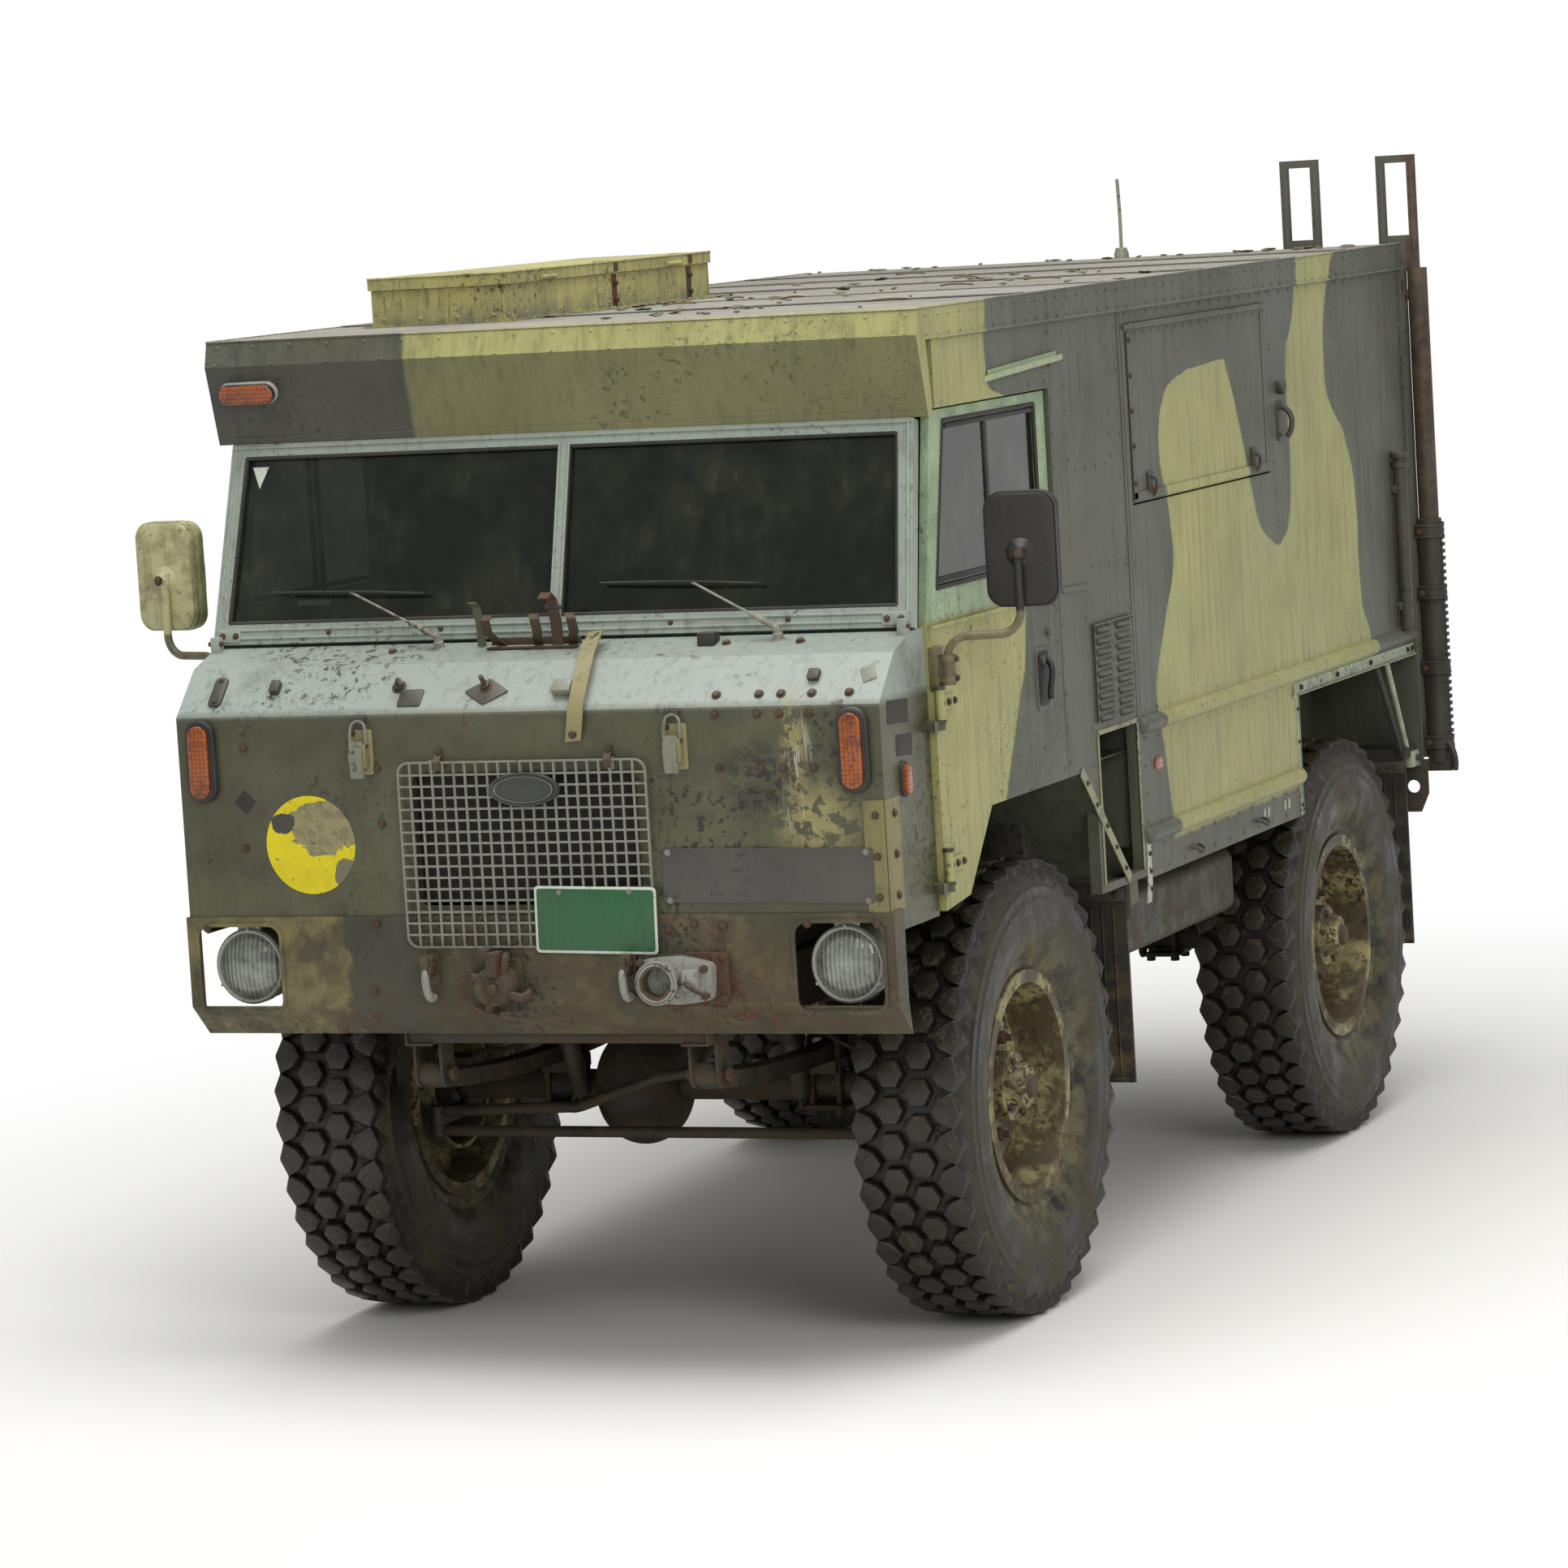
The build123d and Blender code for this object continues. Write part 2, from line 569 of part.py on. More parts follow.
with BuildPart() as windscreen_frame:
    with BuildSketch(screen_plane):
        with BuildLine():
            Polyline((-screen_low_half, 0), (screen_low_half, 0), (screen_top_half, screen_rise),
                     (-screen_top_half, screen_rise), close=True)
        make_face()
        for pane in panes:
            with BuildLine():
                Polyline(pane, close=True)
            make_face(mode=Mode.SUBTRACT)
    extrude(amount=-frame_t)
windscreen_frame.part.label = "windscreen_frame"
export_step(windscreen_frame.part, "parts/windscreen_frame.step")

with BuildPart() as windscreen_glass:
    with BuildSketch(screen_plane.offset(-frame_t / 2 + glass_t / 2)):
        for pane in panes:
            with BuildLine():
                Polyline(pane, close=True)
            make_face()
    extrude(amount=-glass_t)
windscreen_glass.part.label = "windscreen_glass"
export_step(windscreen_glass.part, "parts/windscreen_glass.step")

# Roof: one skin from the peak over the screen to the tail, with riveted side rails
roof_half = body_half + seat_gap + sheet
peak_foot_z = screen_top_z + 1.0
with BuildPart() as roof:
    with BuildSketch(Plane.YZ.offset(-roof_half)):
        with BuildLine():
            Polyline((peak_y, roof_z), (tail_y, roof_z), (tail_y, roof_z - sheet),
                     (peak_y + sheet + 1, roof_z - sheet), (peak_low_y + sheet + 1, peak_low_z + 1),
                     (screen_top_y + 30, peak_foot_z + 4), (screen_top_y + 30, peak_foot_z),
                     (screen_top_y, peak_foot_z), (peak_low_y, peak_low_z), close=True)
        make_face()
    extrude(amount=2 * roof_half)
    for side in (-1, 1):
        with BuildSketch(Plane.YZ.offset(side * (roof_half - sheet))):
            with BuildLine():
                Polyline((peak_y, roof_z), (tail_y, roof_z), (tail_y, roof_z - roof_rail_h),
                         (door_front_y + 60, roof_z - roof_rail_h), (screen_top_y + 30, peak_foot_z),
                         (screen_top_y, peak_foot_z), (peak_low_y, peak_low_z), close=True)
            make_face()
        extrude(amount=side * sheet)
roof.part.label = "roof"
export_step(roof.part, "parts/roof.step")

# Roof box: a low riveted housing on the roof with a lid hinged along its left side
hatch_x0, hatch_x1 = -735.0, -375.0
hatch_y0, hatch_y1 = -1250.0, 40.0
hatch_h = 118.0
lid_h = 30.0
lid_over = 8.0
hatch_cx = (hatch_x0 + hatch_x1) / 2
hatch_cy = (hatch_y0 + hatch_y1) / 2
hatch_w = hatch_x1 - hatch_x0
hatch_len = hatch_y1 - hatch_y0
with BuildPart() as roof_box:
    with BuildSketch(Plane.XY.offset(roof_z + seat_gap)):
        with Locations((hatch_cx, hatch_cy)):
            Rectangle(hatch_w, hatch_len)
            Rectangle(hatch_w - 2 * sheet, hatch_len - 2 * sheet, mode=Mode.SUBTRACT)
    extrude(amount=hatch_h)
    with BuildSketch(Plane.XY.offset(roof_z + seat_gap)):
        with Locations((hatch_cx, hatch_cy)):
            Rectangle(hatch_w + 40, hatch_len + 40)
            Rectangle(hatch_w - 2 * sheet, hatch_len - 2 * sheet, mode=Mode.SUBTRACT)
    extrude(amount=sheet)
roof_box.part.label = "roof_box"
export_step(roof_box.part, "parts/roof_box.step")

lid_z = roof_z + seat_gap + hatch_h + seat_gap
lid_hinge_x = hatch_x1 + lid_over + 4.0
lid_hinge_z = lid_z - 18.0
with BuildPart() as roof_box_lid:
    with BuildSketch(Plane.XY.offset(lid_z)):
        with Locations((hatch_cx, hatch_cy)):
            Rectangle(hatch_w + 2 * lid_over, hatch_len + 2 * lid_over)
    extrude(amount=sheet)
    with BuildSketch(Plane.XY.offset(lid_z - lid_h + sheet)):
        with Locations((hatch_cx, hatch_cy)):
            Rectangle(hatch_w + 2 * lid_over, hatch_len + 2 * lid_over)
            Rectangle(hatch_w + 2 * lid_over - 4, hatch_len + 2 * lid_over - 4, mode=Mode.SUBTRACT)
    extrude(amount=lid_h - sheet)
    for y in (hatch_y0 + 250, hatch_y1 - 250):
        with Locations((lid_hinge_x, y, lid_hinge_z)):
            Cylinder(6, 90, rotation=(90, 0, 0))
roof_box_lid.part.label = "roof_box_lid"
export_step(roof_box_lid.part, "parts/roof_box_lid.step")

# Cab floor: a bent pan on each side, with its footwell, riser and arch top, and a plate
# before and behind the engine
floor_half = body_half - wall - gap
cover_half = 310.0
cover_top = 1480.0
cover_y0, cover_y1 = -1560.0, -700.0
arch_deck_z = arch_top_z + 5.0
guard_top_y, guard_low_y, guard_low_z = -837.0, -520.0, 975.0
guard_in_x = 560.0
foot_z = door_low_z + 8.0
floor_y0 = fold_y + 60.0
pan_in = cover_half + seat_gap
with BuildPart() as cab_floor:
    for side in (-1, 1):
        with BuildSketch(Plane.YZ.offset(side * pan_in)):
            with BuildLine():
                Polyline((floor_y0, foot_z), (arch_front_y, foot_z), (arch_top_front_y, arch_deck_z),
                         (box_front_y - seat_gap, arch_deck_z), (box_front_y - seat_gap, arch_deck_z + sheet),
                         (arch_top_front_y - 2, arch_deck_z + sheet), (arch_front_y - 2, foot_z + sheet),
                         (floor_y0, foot_z + sheet), close=True)
            make_face()
        extrude(amount=side * (floor_half - pan_in))
    for y0, y1, z in ((floor_y0, cover_y0 - seat_gap, foot_z),
                      (cover_y1 + seat_gap, box_front_y - seat_gap, arch_deck_z)):
        with Locations((0, (y0 + y1) / 2, z + sheet / 2)):
            Box(2 * cover_half, y1 - y0, sheet)
cab_floor.part.label = "cab_floor"
export_step(cab_floor.part, "parts/cab_floor.step")

# Engine cover: a tub turned upside down between the two seats
cover_low = foot_z - 10.0
with BuildPart() as engine_cover:
    with BuildSketch(Plane.XY.offset(cover_low)):
        with Locations((0, (cover_y0 + cover_y1) / 2)):
            Rectangle(2 * cover_half, cover_y1 - cover_y0)
    extrude(amount=cover_top - cover_low)
    with BuildSketch(Plane.XY.offset(cover_low)):
        with Locations((0, (cover_y0 + cover_y1) / 2)):
            Rectangle(2 * cover_half - 2 * sheet, cover_y1 - cover_y0 - 2 * sheet)
    extrude(amount=cover_top - cover_low - sheet, mode=Mode.SUBTRACT)
engine_cover.part.label = "engine_cover"
export_step(engine_cover.part, "parts/engine_cover.step")

# Front arches: the inner walls beside the wheels, and the stands of the cab on the frame
inner_arch_x = 376.0
inner_arch_y1 = -820.0
guard_wall_y = guard_top_y + 95.0
stand_ys = ((-1990.0, foot_z), (-600.0, arch_deck_z))
with BuildPart() as front_arches:
    for side in (-1, 1):
        with BuildSketch(Plane.YZ.offset(side * inner_arch_x)):
            with BuildLine():
                Polyline((arch_front_y + 40, foot_z), (arch_top_front_y, arch_deck_z - seat_gap),
                         (inner_arch_y1, arch_deck_z - seat_gap), (inner_arch_y1, rail_top + 10),
                         (arch_front_y + 40, rail_top + 10), close=True)
            make_face()
        extrude(amount=side * sheet)
        with BuildSketch(Plane.YZ.offset(side * (guard_in_x - seat_gap))):
            with Locations(((guard_wall_y + box_front_y - gap) / 2, (rail_top + arch_deck_z) / 2)):
                Rectangle(box_front_y - gap - guard_wall_y, arch_deck_z - rail_top - 2 * seat_gap)
        extrude(amount=-side * sheet)
        for y, top in stand_ys:
            with Locations((side * rail_x, y, (rail_top + top) / 2)):
                Box(50, 60, top - rail_top - 2 * seat_gap)
front_arches.part.label = "front_arches"
export_step(front_arches.part, "parts/front_arches.step")

# Dashboard with the steering column on the right-hand side
tab_h = 60.0
column_r = 26.0
column_foot = 50.0
column_x = -480.0
wheel_z = 1690.0
wheel_y = -1600.0
column_tilt = 32.0
wheel_rim_r = 215.0
dash_low, dash_top = 1560.0, 1700.0
dash_half = body_half - door_t - gap
dash_y0, dash_y1 = screen_low_y + 60.0, -1750.0
column_dir = (0, sin(radians(column_tilt)), cos(radians(column_tilt)))
column_len = (wheel_z - foot_z - sheet) / cos(radians(column_tilt)) - 60
with BuildPart() as dashboard:
    with BuildSketch(Plane.YZ.offset(-dash_half)):
        with BuildLine():
            Polyline((dash_y0, dash_top), (dash_y1, dash_top - 20), (dash_y1 + 12, dash_low + 20),
                     (dash_y0 + 20, dash_low), close=True)
        make_face()
    extrude(amount=2 * dash_half)
    tab_end = nose_half - sheet - seat_gap
    for side in (-1, 1):
        with Locations((side * (dash_half - 8 + tab_end) / 2, dash_y0 + 8, dash_top - 50)):
            Box(tab_end - dash_half + 8, 12, tab_h)
    with Locations((column_x, wheel_y - (wheel_z - foot_z) * tan(radians(column_tilt)),
                    foot_z + sheet + seat_gap + column_foot / 2)):
        Box(80, 90, column_foot)
    with BuildSketch(Plane(origin=(column_x, wheel_y, wheel_z), x_dir=(1, 0, 0), z_dir=column_dir).offset(-24)):
        Circle(column_r)
    extrude(amount=-column_len)
dashboard.part.label = "dashboard"
export_step(dashboard.part, "parts/dashboard.step")

with BuildPart() as steering_wheel:
    hub_plane = Plane(origin=(column_x, wheel_y, wheel_z), x_dir=(1, 0, 0), z_dir=column_dir)
    with BuildSketch(hub_plane.offset(-12)):
        Circle(wheel_rim_r)
        Circle(wheel_rim_r - 24, mode=Mode.SUBTRACT)
        Circle(40)
        with PolarLocations(wheel_rim_r / 2, 3, start_angle=30):
            Rectangle(wheel_rim_r - 10, 26)
    extrude(amount=24)
    with BuildSketch(hub_plane.offset(-24 + seat_gap)):
        Circle(30)
    extrude(amount=20)
steering_wheel.part.label = "steering_wheel"
export_step(steering_wheel.part, "parts/steering_wheel.step")

# Seats: two pans on the arch tops and, as soft solids, their cushions and backrests
seat_x = 600.0
seat_w = 440.0
seat_y0, seat_y1 = -1420.0, -960.0
pan_h = 60.0
cushion_h = 110.0
back_h = 560.0
back_t = 110.0
deck = arch_deck_z + sheet
with BuildPart() as seat_pans:
    for side in (-1, 1):
        with Locations((side * seat_x, (seat_y0 + seat_y1) / 2, deck + seat_gap + pan_h / 2)):
            Box(seat_w - 20, seat_y1 - seat_y0, pan_h)
        with Locations((side * seat_x, seat_y1 + 12, deck + seat_gap + (pan_h + back_h) / 2)):
            Box(seat_w - 80, 20, pan_h + back_h)
seat_pans.part.label = "seat_pans"
export_step(seat_pans.part, "parts/seat_pans.step")

with BuildPart() as seat_pads:
    for side in (-1, 1):
        low = deck + seat_gap + pan_h + seat_gap
        with Locations((side * seat_x, (seat_y0 + seat_y1) / 2, low + cushion_h / 2)):
            Box(seat_w, seat_y1 - seat_y0, cushion_h)
        with Locations((side * seat_x, seat_y1 - back_t / 2 + 2 - seat_gap, low + cushion_h + seat_gap + back_h / 2)):
            Box(seat_w, back_t, back_h)
seat_pads.part.label = "seat_pads"
export_step(seat_pads.part, "parts/seat_pads.step")

# Cab side panels: the cant rail over the door, the quarter behind it and the sloped mudguard
quarter_y0 = door_rear_y + gap
intake_y0, intake_y1 = -700.0, -400.0
intake_low, intake_top = 985.0, 1370.0
vent_y0, vent_y1, vent_low, vent_top = -700.0, -402.0, 1392.0, 1640.0
vent_cols, vent_rows, vent_t = 2, 9, 3.0
louvre_w, louvre_h, louvre_out = 104.0, 15.0, 8.0
door_top_z = 2240.0
panel_x = body_half - wall
guard_slope = (guard_low_z - arch_top_z) / (guard_low_y - guard_top_y)
guard_mid_z = arch_top_z + (intake_y0 - 25 - guard_top_y) * guard_slope
with BuildPart() as cab_side_panels:
    for side in (-1, 1):
        with BuildSketch(Plane.YZ.offset(side * panel_x)):
            with BuildLine():
                Polyline((screen_top_y + 55, door_top_z + gap), (door_rear_y + gap, door_top_z + gap),
                         (quarter_y0, arch_top_z), (guard_top_y, arch_top_z), (intake_y0 - 25, guard_mid_z),
                         (intake_y0 - 25, intake_low - 20),
                         (box_front_y - seat_gap, intake_low - 20), (box_front_y - seat_gap, roof_z - sheet - seat_gap),
                         (screen_top_y + 55, roof_z - sheet - seat_gap), close=True)
            make_face()
            with Locations(((intake_y0 + intake_y1) / 2, (intake_low + intake_top) / 2)):
                Rectangle(intake_y1 - intake_y0, intake_top - intake_low, mode=Mode.SUBTRACT)
        extrude(amount=side * (wall - seat_gap))
        # pressed louvres in a plate on the outer skin, each one leaning out at its lower edge
        skin_x = body_half - seat_gap
        with Locations((side * (skin_x + vent_t / 2), (vent_y0 + vent_y1) / 2, (vent_low + vent_top) / 2)):
            Box(vent_t, vent_y1 - vent_y0, vent_top - vent_low)
        for col in range(vent_cols):
            y = vent_y0 + (vent_y1 - vent_y0) * (col + 0.5) / vent_cols
            with BuildSketch(Plane.XZ.offset(-y - louvre_w / 2)):
                for row in range(vent_rows):
                    z = vent_low + (vent_top - vent_low) * (row + 0.5) / vent_rows
                    face_x = skin_x + vent_t
                    with BuildLine():
                        Polyline((side * (face_x - 1), z - louvre_h / 2), (side * (face_x + louvre_out), z - louvre_h / 2),
                                 (side * (face_x - 1), z + louvre_h / 2), close=True)
                    make_face()
            extrude(amount=louvre_w)
        with BuildSketch(Plane.YZ.offset(side * guard_in_x)):
            with BuildLine():
                Polyline((guard_top_y, arch_top_z), (guard_low_y, guard_low_z), (guard_low_y, guard_low_z - 100),
                         (guard_low_y + sheet, guard_low_z - 100), (guard_low_y + sheet, guard_low_z + 4),
                         (guard_top_y + 4, arch_top_z + sheet), close=True)
            make_face()
        extrude(amount=side * (body_half - seat_gap - guard_in_x))
cab_side_panels.part.label = "cab_side_panels"
export_step(cab_side_panels.part, "parts/cab_side_panels.step")

# Doors: a lower half cut to the wheel arch and a window frame that leans with the screen
frame_front_y = door_front_y + 92.0 * (door_top_z - waist_z) / 483.0
lower_x = body_half - door_t
glass_low_z, glass_top_z = 1825.0, 2212.0
glass_rear_y = -1000.0
glass_front_low = door_front_y + 80.0
glass_front_top = frame_front_y + 80.0
window = [(glass_front_low, glass_low_z), (glass_rear_y, glass_low_z),
          (glass_rear_y, glass_top_z), (glass_front_top, glass_top_z)]
for name, side in (("left", 1), ("right", -1)):
    with BuildPart() as door:
        with BuildSketch(Plane.YZ.offset(side * lower_x)):
            with BuildLine():
                Polyline((door_front_y, waist_z), (door_front_y, door_low_z), (arch_front_y, door_low_z + 17),
                         (arch_top_front_y, arch_top_z), (door_rear_y, arch_top_z), (door_rear_y, waist_z), close=True)
            make_face()
        extrude(amount=side * door_t)
        with BuildSketch(Plane.YZ.offset(side * (lower_x + 2))):
            with BuildLine():
                Polyline((door_front_y, waist_z), (door_rear_y, waist_z), (door_rear_y, door_top_z),
                         (frame_front_y, door_top_z), close=True)
            make_face()
            with BuildLine():
                Polyline(window, close=True)
            make_face(mode=Mode.SUBTRACT)
        extrude(amount=side * (door_t - 14))
        # hinge barrels and the lock's handle on the outer skin
        for z in hinge_zs:
            with Locations((side * hinge_x, door_front_y, z)):
                Cylinder(hinge_r, hinge_h)
            with Locations((side * (body_half + 4), door_front_y + 60, z)):
                Box(8, 120, 34)
    door.part.label = f"door_{name}"
    export_step(door.part, f"parts/door_{name}.step")

    with BuildPart() as door_glass:
        with BuildSketch(Plane.YZ.offset(side * (lower_x + 8))):
            with BuildLine():
                Polyline(window, close=True)
            make_face()
        extrude(amount=side * glass_t)
    door_glass.part.label = f"door_glass_{name}"
    export_step(door_glass.part, f"parts/door_glass_{name}.step")

# Mirrors: a round-cornered head on a bent tube that stands on the door's upper hinge
head_w, head_h, head_t = 172.0, 268.0, 46.0
arm_r = 10.0
arm_foot_z = 1604.0
head_z = 1910.0
arm_x = body_half + 30.0
mirror_table = (("left", 1, -1680.0, 8.0), ("right", -1, -1690.0, -8.0))
for name, side, head_y, head_turn in mirror_table:
    half_span = (head_w / 2) * cos(radians(abs(head_turn))) + (head_t / 2) * sin(radians(abs(head_turn)))
    head_x = mirror_reach - half_span
    foot_y = door_front_y + 20
    with BuildPart() as mirror:
        with BuildLine():
            FilletPolyline((side * arm_x, foot_y, arm_foot_z), (side * arm_x, foot_y, 1716),
                           (side * head_x, head_y - 40, 1716), (side * head_x, head_y - 40, head_z), radius=50)
        with BuildSketch(Plane.XY.offset(arm_foot_z)):
            with Locations((side * arm_x, foot_y)):
                Circle(arm_r)
        sweep()
        with Locations((side * arm_x, foot_y, arm_foot_z + 36)):
            Cylinder(18, 72)
        with Locations((side * (arm_x - 14), foot_y, arm_foot_z + 36)):
            Box(32 - 2 * seat_gap, 30, 60)
        head_plane = Plane(origin=(side * head_x, head_y, head_z), x_dir=(cos(radians(head_turn)), sin(radians(head_turn)), 0),
                           z_dir=(sin(radians(head_turn)), -cos(radians(head_turn)), 0))
        with BuildSketch(head_plane):
            RectangleRounded(head_w, head_h, 42)
        extrude(amount=head_t / 2, both=True)
        with Locations((side * head_x, head_y - 28, head_z - 6)):
            Box(30, 40, 24)
    mirror.part.label = f"mirror_{name}"
    export_step(mirror.part, f"parts/mirror_{name}.step")

# Box body: floor with wheel boxes, bulkhead, sides, and a rear frame round the door
box_in = body_half - wall
side_top = roof_z - sheet - seat_gap
floor_z = 1040.0
wheel_box_x = 600.0
bearer_ys = (30.0, 500.0, 930.0, 1800.0)
plank_t = 20.0
deck_end_y = tail_y - wall - seat_gap
with BuildPart() as box_floor:
    for y0, y1, half in ((box_front_y + wall + seat_gap, rear_arch_y - seat_gap, box_in - seat_gap),
                         (rear_arch_y, deck_end_y, wheel_box_x - seat_gap)):
        with Locations((0, (y0 + y1) / 2, floor_z + plank_t / 2)):
            Box(2 * half, y1 - y0, plank_t)
    for side in (-1, 1):
        with BuildSketch(Plane.XZ.offset(-rear_arch_y)):
            with BuildLine():
                Polyline((side * wheel_box_x, floor_z), (side * wheel_box_x, rear_arch_z + sheet),
                         (side * (box_in - seat_gap), rear_arch_z + sheet), (side * (box_in - seat_gap), rear_arch_z),
                         (side * (wheel_box_x + sheet), rear_arch_z), (side * (wheel_box_x + sheet), floor_z), close=True)
            make_face()
        extrude(amount=-(deck_end_y - rear_arch_y))
        with Locations((side * (wheel_box_x + box_in - seat_gap) / 2, rear_arch_y + sheet / 2,
                        (floor_z + rear_arch_z + sheet) / 2)):
            Box(box_in - seat_gap - wheel_box_x, sheet, rear_arch_z + sheet - floor_z)
    for y in bearer_ys:
        with Locations((0, y, (rail_top + floor_z) / 2)):
            Box(2 * rail_x + rail_w, 60, floor_z - rail_top - 2 * seat_gap)
box_floor.part.label = "box_floor"
export_step(box_floor.part, "parts/box_floor.step")

with BuildPart() as box_bulkhead:
    with BuildSketch(Plane.XZ.offset(-box_front_y - wall)):
        with Locations((0, (floor_z + side_top) / 2)):
            Rectangle(2 * box_in - 2 * seat_gap, side_top - floor_z)
    extrude(amount=wall)
box_bulkhead.part.label = "box_bulkhead"
export_step(box_bulkhead.part, "parts/box_bulkhead.step")

rub_rail_z, low_rail_z = 1349.0, 1066.0
rub_r = 22.0
shutter_y0, shutter_y1 = -335.0, 800.0
shutter_low, shutter_top = 1915.0, 2368.0
shutter_t = 24.0
piano_r = 7.0
for name, side in (("left", 1), ("right", -1)):
    with BuildPart() as box_side:
        with BuildSketch(Plane.YZ.offset(side * box_in)):
            with BuildLine():
                Polyline((box_front_y, sill_z), (rear_arch_y, sill_z), (rear_arch_y, rear_arch_z),
                         (tail_y - wall - seat_gap, rear_arch_z), (tail_y - wall - seat_gap, side_top),
                         (box_front_y, side_top), close=True)
            make_face()
            if name == "left":
                with Locations(((shutter_y0 + shutter_y1) / 2, (shutter_low + shutter_top) / 2)):
                    Rectangle(shutter_y1 - shutter_y0 + 2 * gap, shutter_top - shutter_low + 2 * gap, mode=Mode.SUBTRACT)
        extrude(amount=side * (wall - 1))
        # half-round rub rails, with the long one ending at the tail
        for z, y_end in ((rub_rail_z, tail_y - 60), (low_rail_z, rear_arch_y - 20)):
            with BuildSketch(Plane.XZ.offset(-y_end)):
                with Locations((side * (body_half - 1), z)):
                    Circle(rub_r)
                with Locations((side * (body_half - 1 - rub_r), z)):
                    Rectangle(2 * rub_r, 2 * rub_r, mode=Mode.SUBTRACT)
            extrude(amount=y_end - box_front_y - 10)
        if name == "left":
            for y in (shutter_y0 - seat_gap, shutter_y1 + seat_gap + knuckle_h):
                with BuildSketch(Plane.XZ.offset(-y)):
                    with Locations((body_half + 4, shutter_top - 4)):
                        Circle(piano_r)
                extrude(amount=knuckle_h)
    box_side.part.label = f"box_side_{name}"
    export_step(box_side.part, f"parts/box_side_{name}.step")

# Side shutter: a flush panel hinged along its top edge
with BuildPart() as side_shutter:
    with BuildSketch(Plane.YZ.offset(body_half - 1 - shutter_t)):
        with Locations(((shutter_y0 + shutter_y1) / 2, (shutter_low + shutter_top) / 2)):
            Rectangle(shutter_y1 - shutter_y0, shutter_top - shutter_low)
    extrude(amount=shutter_t)
    with BuildSketch(Plane.XZ.offset(-shutter_y1)):
        with Locations((body_half + 4, shutter_top - 4)):
            Circle(piano_r)
    extrude(amount=shutter_y1 - shutter_y0)
side_shutter.part.label = "side_shutter"
export_step(side_shutter.part, "parts/side_shutter.step")

# Rear frame round the door opening, and the door itself, hinged at its left edge
rear_door_half = 450.0
rear_hinge_zs = (1250.0, 1700.0, 2150.0)
strap_len = 120.0
lock_z = 1650.0
rear_door_low, rear_door_top = floor_z + 20.0, 2330.0
with BuildPart() as box_rear_frame:
    with BuildSketch(Plane.XZ.offset(-tail_y)):
        with Locations((0, (sill_z + side_top) / 2)):
            Rectangle(2 * body_half, side_top - sill_z)
        with Locations((0, (rear_door_low + rear_door_top) / 2)):
            Rectangle(2 * rear_door_half + 2 * gap, rear_door_top - rear_door_low + 2 * gap, mode=Mode.SUBTRACT)
    extrude(amount=wall)
box_rear_frame.part.label = "box_rear_frame"
export_step(box_rear_frame.part, "parts/box_rear_frame.step")

with BuildPart() as rear_door:
    with BuildSketch(Plane.XZ.offset(-tail_y)):
        with Locations((0, (rear_door_low + rear_door_top) / 2)):
            Rectangle(2 * rear_door_half, rear_door_top - rear_door_low)
    extrude(amount=wall)
    for z in rear_hinge_zs:
        with Locations((-rear_door_half, tail_y + 12, z)):
            Cylinder(11, 80)
        with Locations((-rear_door_half + strap_len / 2, tail_y + 4, z)):
            Box(strap_len, 8, 40)
    with Locations((rear_door_half - 60, tail_y + 30, lock_z)):
        Box(40, 60, 160)
rear_door.part.label = "rear_door"
export_step(rear_door.part, "parts/rear_door.step")

# Ladder up the tail on the left, with a hand loop over the roof on top of each stile, and a
# lifting jack's rack and pole clipped beside its outer stile
ladder_xs = (622.0, 914.0)
jack_x = 964.0
rack_r, pole_r = 42.0, 29.0
stile_y = reach_y - rack_r
stile_r = 18.0
stile_low_z, stile_top_z = 975.0, 2420.0
pole_top_z, rack_top_z, rack_low_z = 2408.0, 1676.0, 962.0
loop_w, loop_bar, loop_top_z = 114.0, 22.0, roof_z + 255.0
rung_r = 12.0
rungs = 5
rung_low = 130.0
rung_pitch = 270.0
foot_zs = (1060.0, 2360.0)
clip_zs = (1080.0, 1640.0, 2330.0)
band_zs = (1020.0, 1240.0, 1460.0, 1640.0)
with BuildPart() as rear_ladder:
    for x in ladder_xs:
        with BuildSketch(Plane.XY.offset(stile_low_z)):
            with Locations((x, stile_y)):
                Circle(stile_r)
        extrude(amount=stile_top_z - stile_low_z)
        with BuildSketch(Plane.XZ.offset(-stile_y - loop_bar / 2)):
            with Locations((x, (stile_top_z - 20 + loop_top_z) / 2)):
                Rectangle(loop_w, loop_top_z - stile_top_z + 20)
            with Locations((x, (roof_z + loop_top_z) / 2)):
                Rectangle(loop_w - 2 * loop_bar, loop_top_z - roof_z - 2 * loop_bar, mode=Mode.SUBTRACT)
        extrude(amount=loop_bar)
        for z in foot_zs:
            with Locations((min(x, body_half - 20), (tail_y + seat_gap + stile_y) / 2, z)):
                Box(40, stile_y - tail_y - seat_gap, 30)
    for number in range(rungs):
        z = stile_low_z + rung_low + number * rung_pitch
        with Locations(((ladder_xs[0] + ladder_xs[1]) / 2, stile_y, z)):
            Cylinder(rung_r, ladder_xs[1] - ladder_xs[0], rotation=(0, 90, 0))
    for low, top, r in ((rack_low_z, rack_top_z, rack_r - 6), (rack_top_z - 1, pole_top_z, pole_r)):
        with BuildSketch(Plane.XY.offset(low)):
            with Locations((jack_x, stile_y)):
                Circle(r)
        extrude(amount=top - low)
    for z in band_zs:
        with Locations((jack_x, stile_y, z)):
            Cylinder(rack_r, 40)
    for z in clip_zs:
        with Locations(((ladder_xs[1] + jack_x) / 2, stile_y, z)):
            Box(jack_x - ladder_xs[1], 24, 30)
rear_ladder.part.label = "rear_ladder"
export_step(rear_ladder.part, "parts/rear_ladder.step")

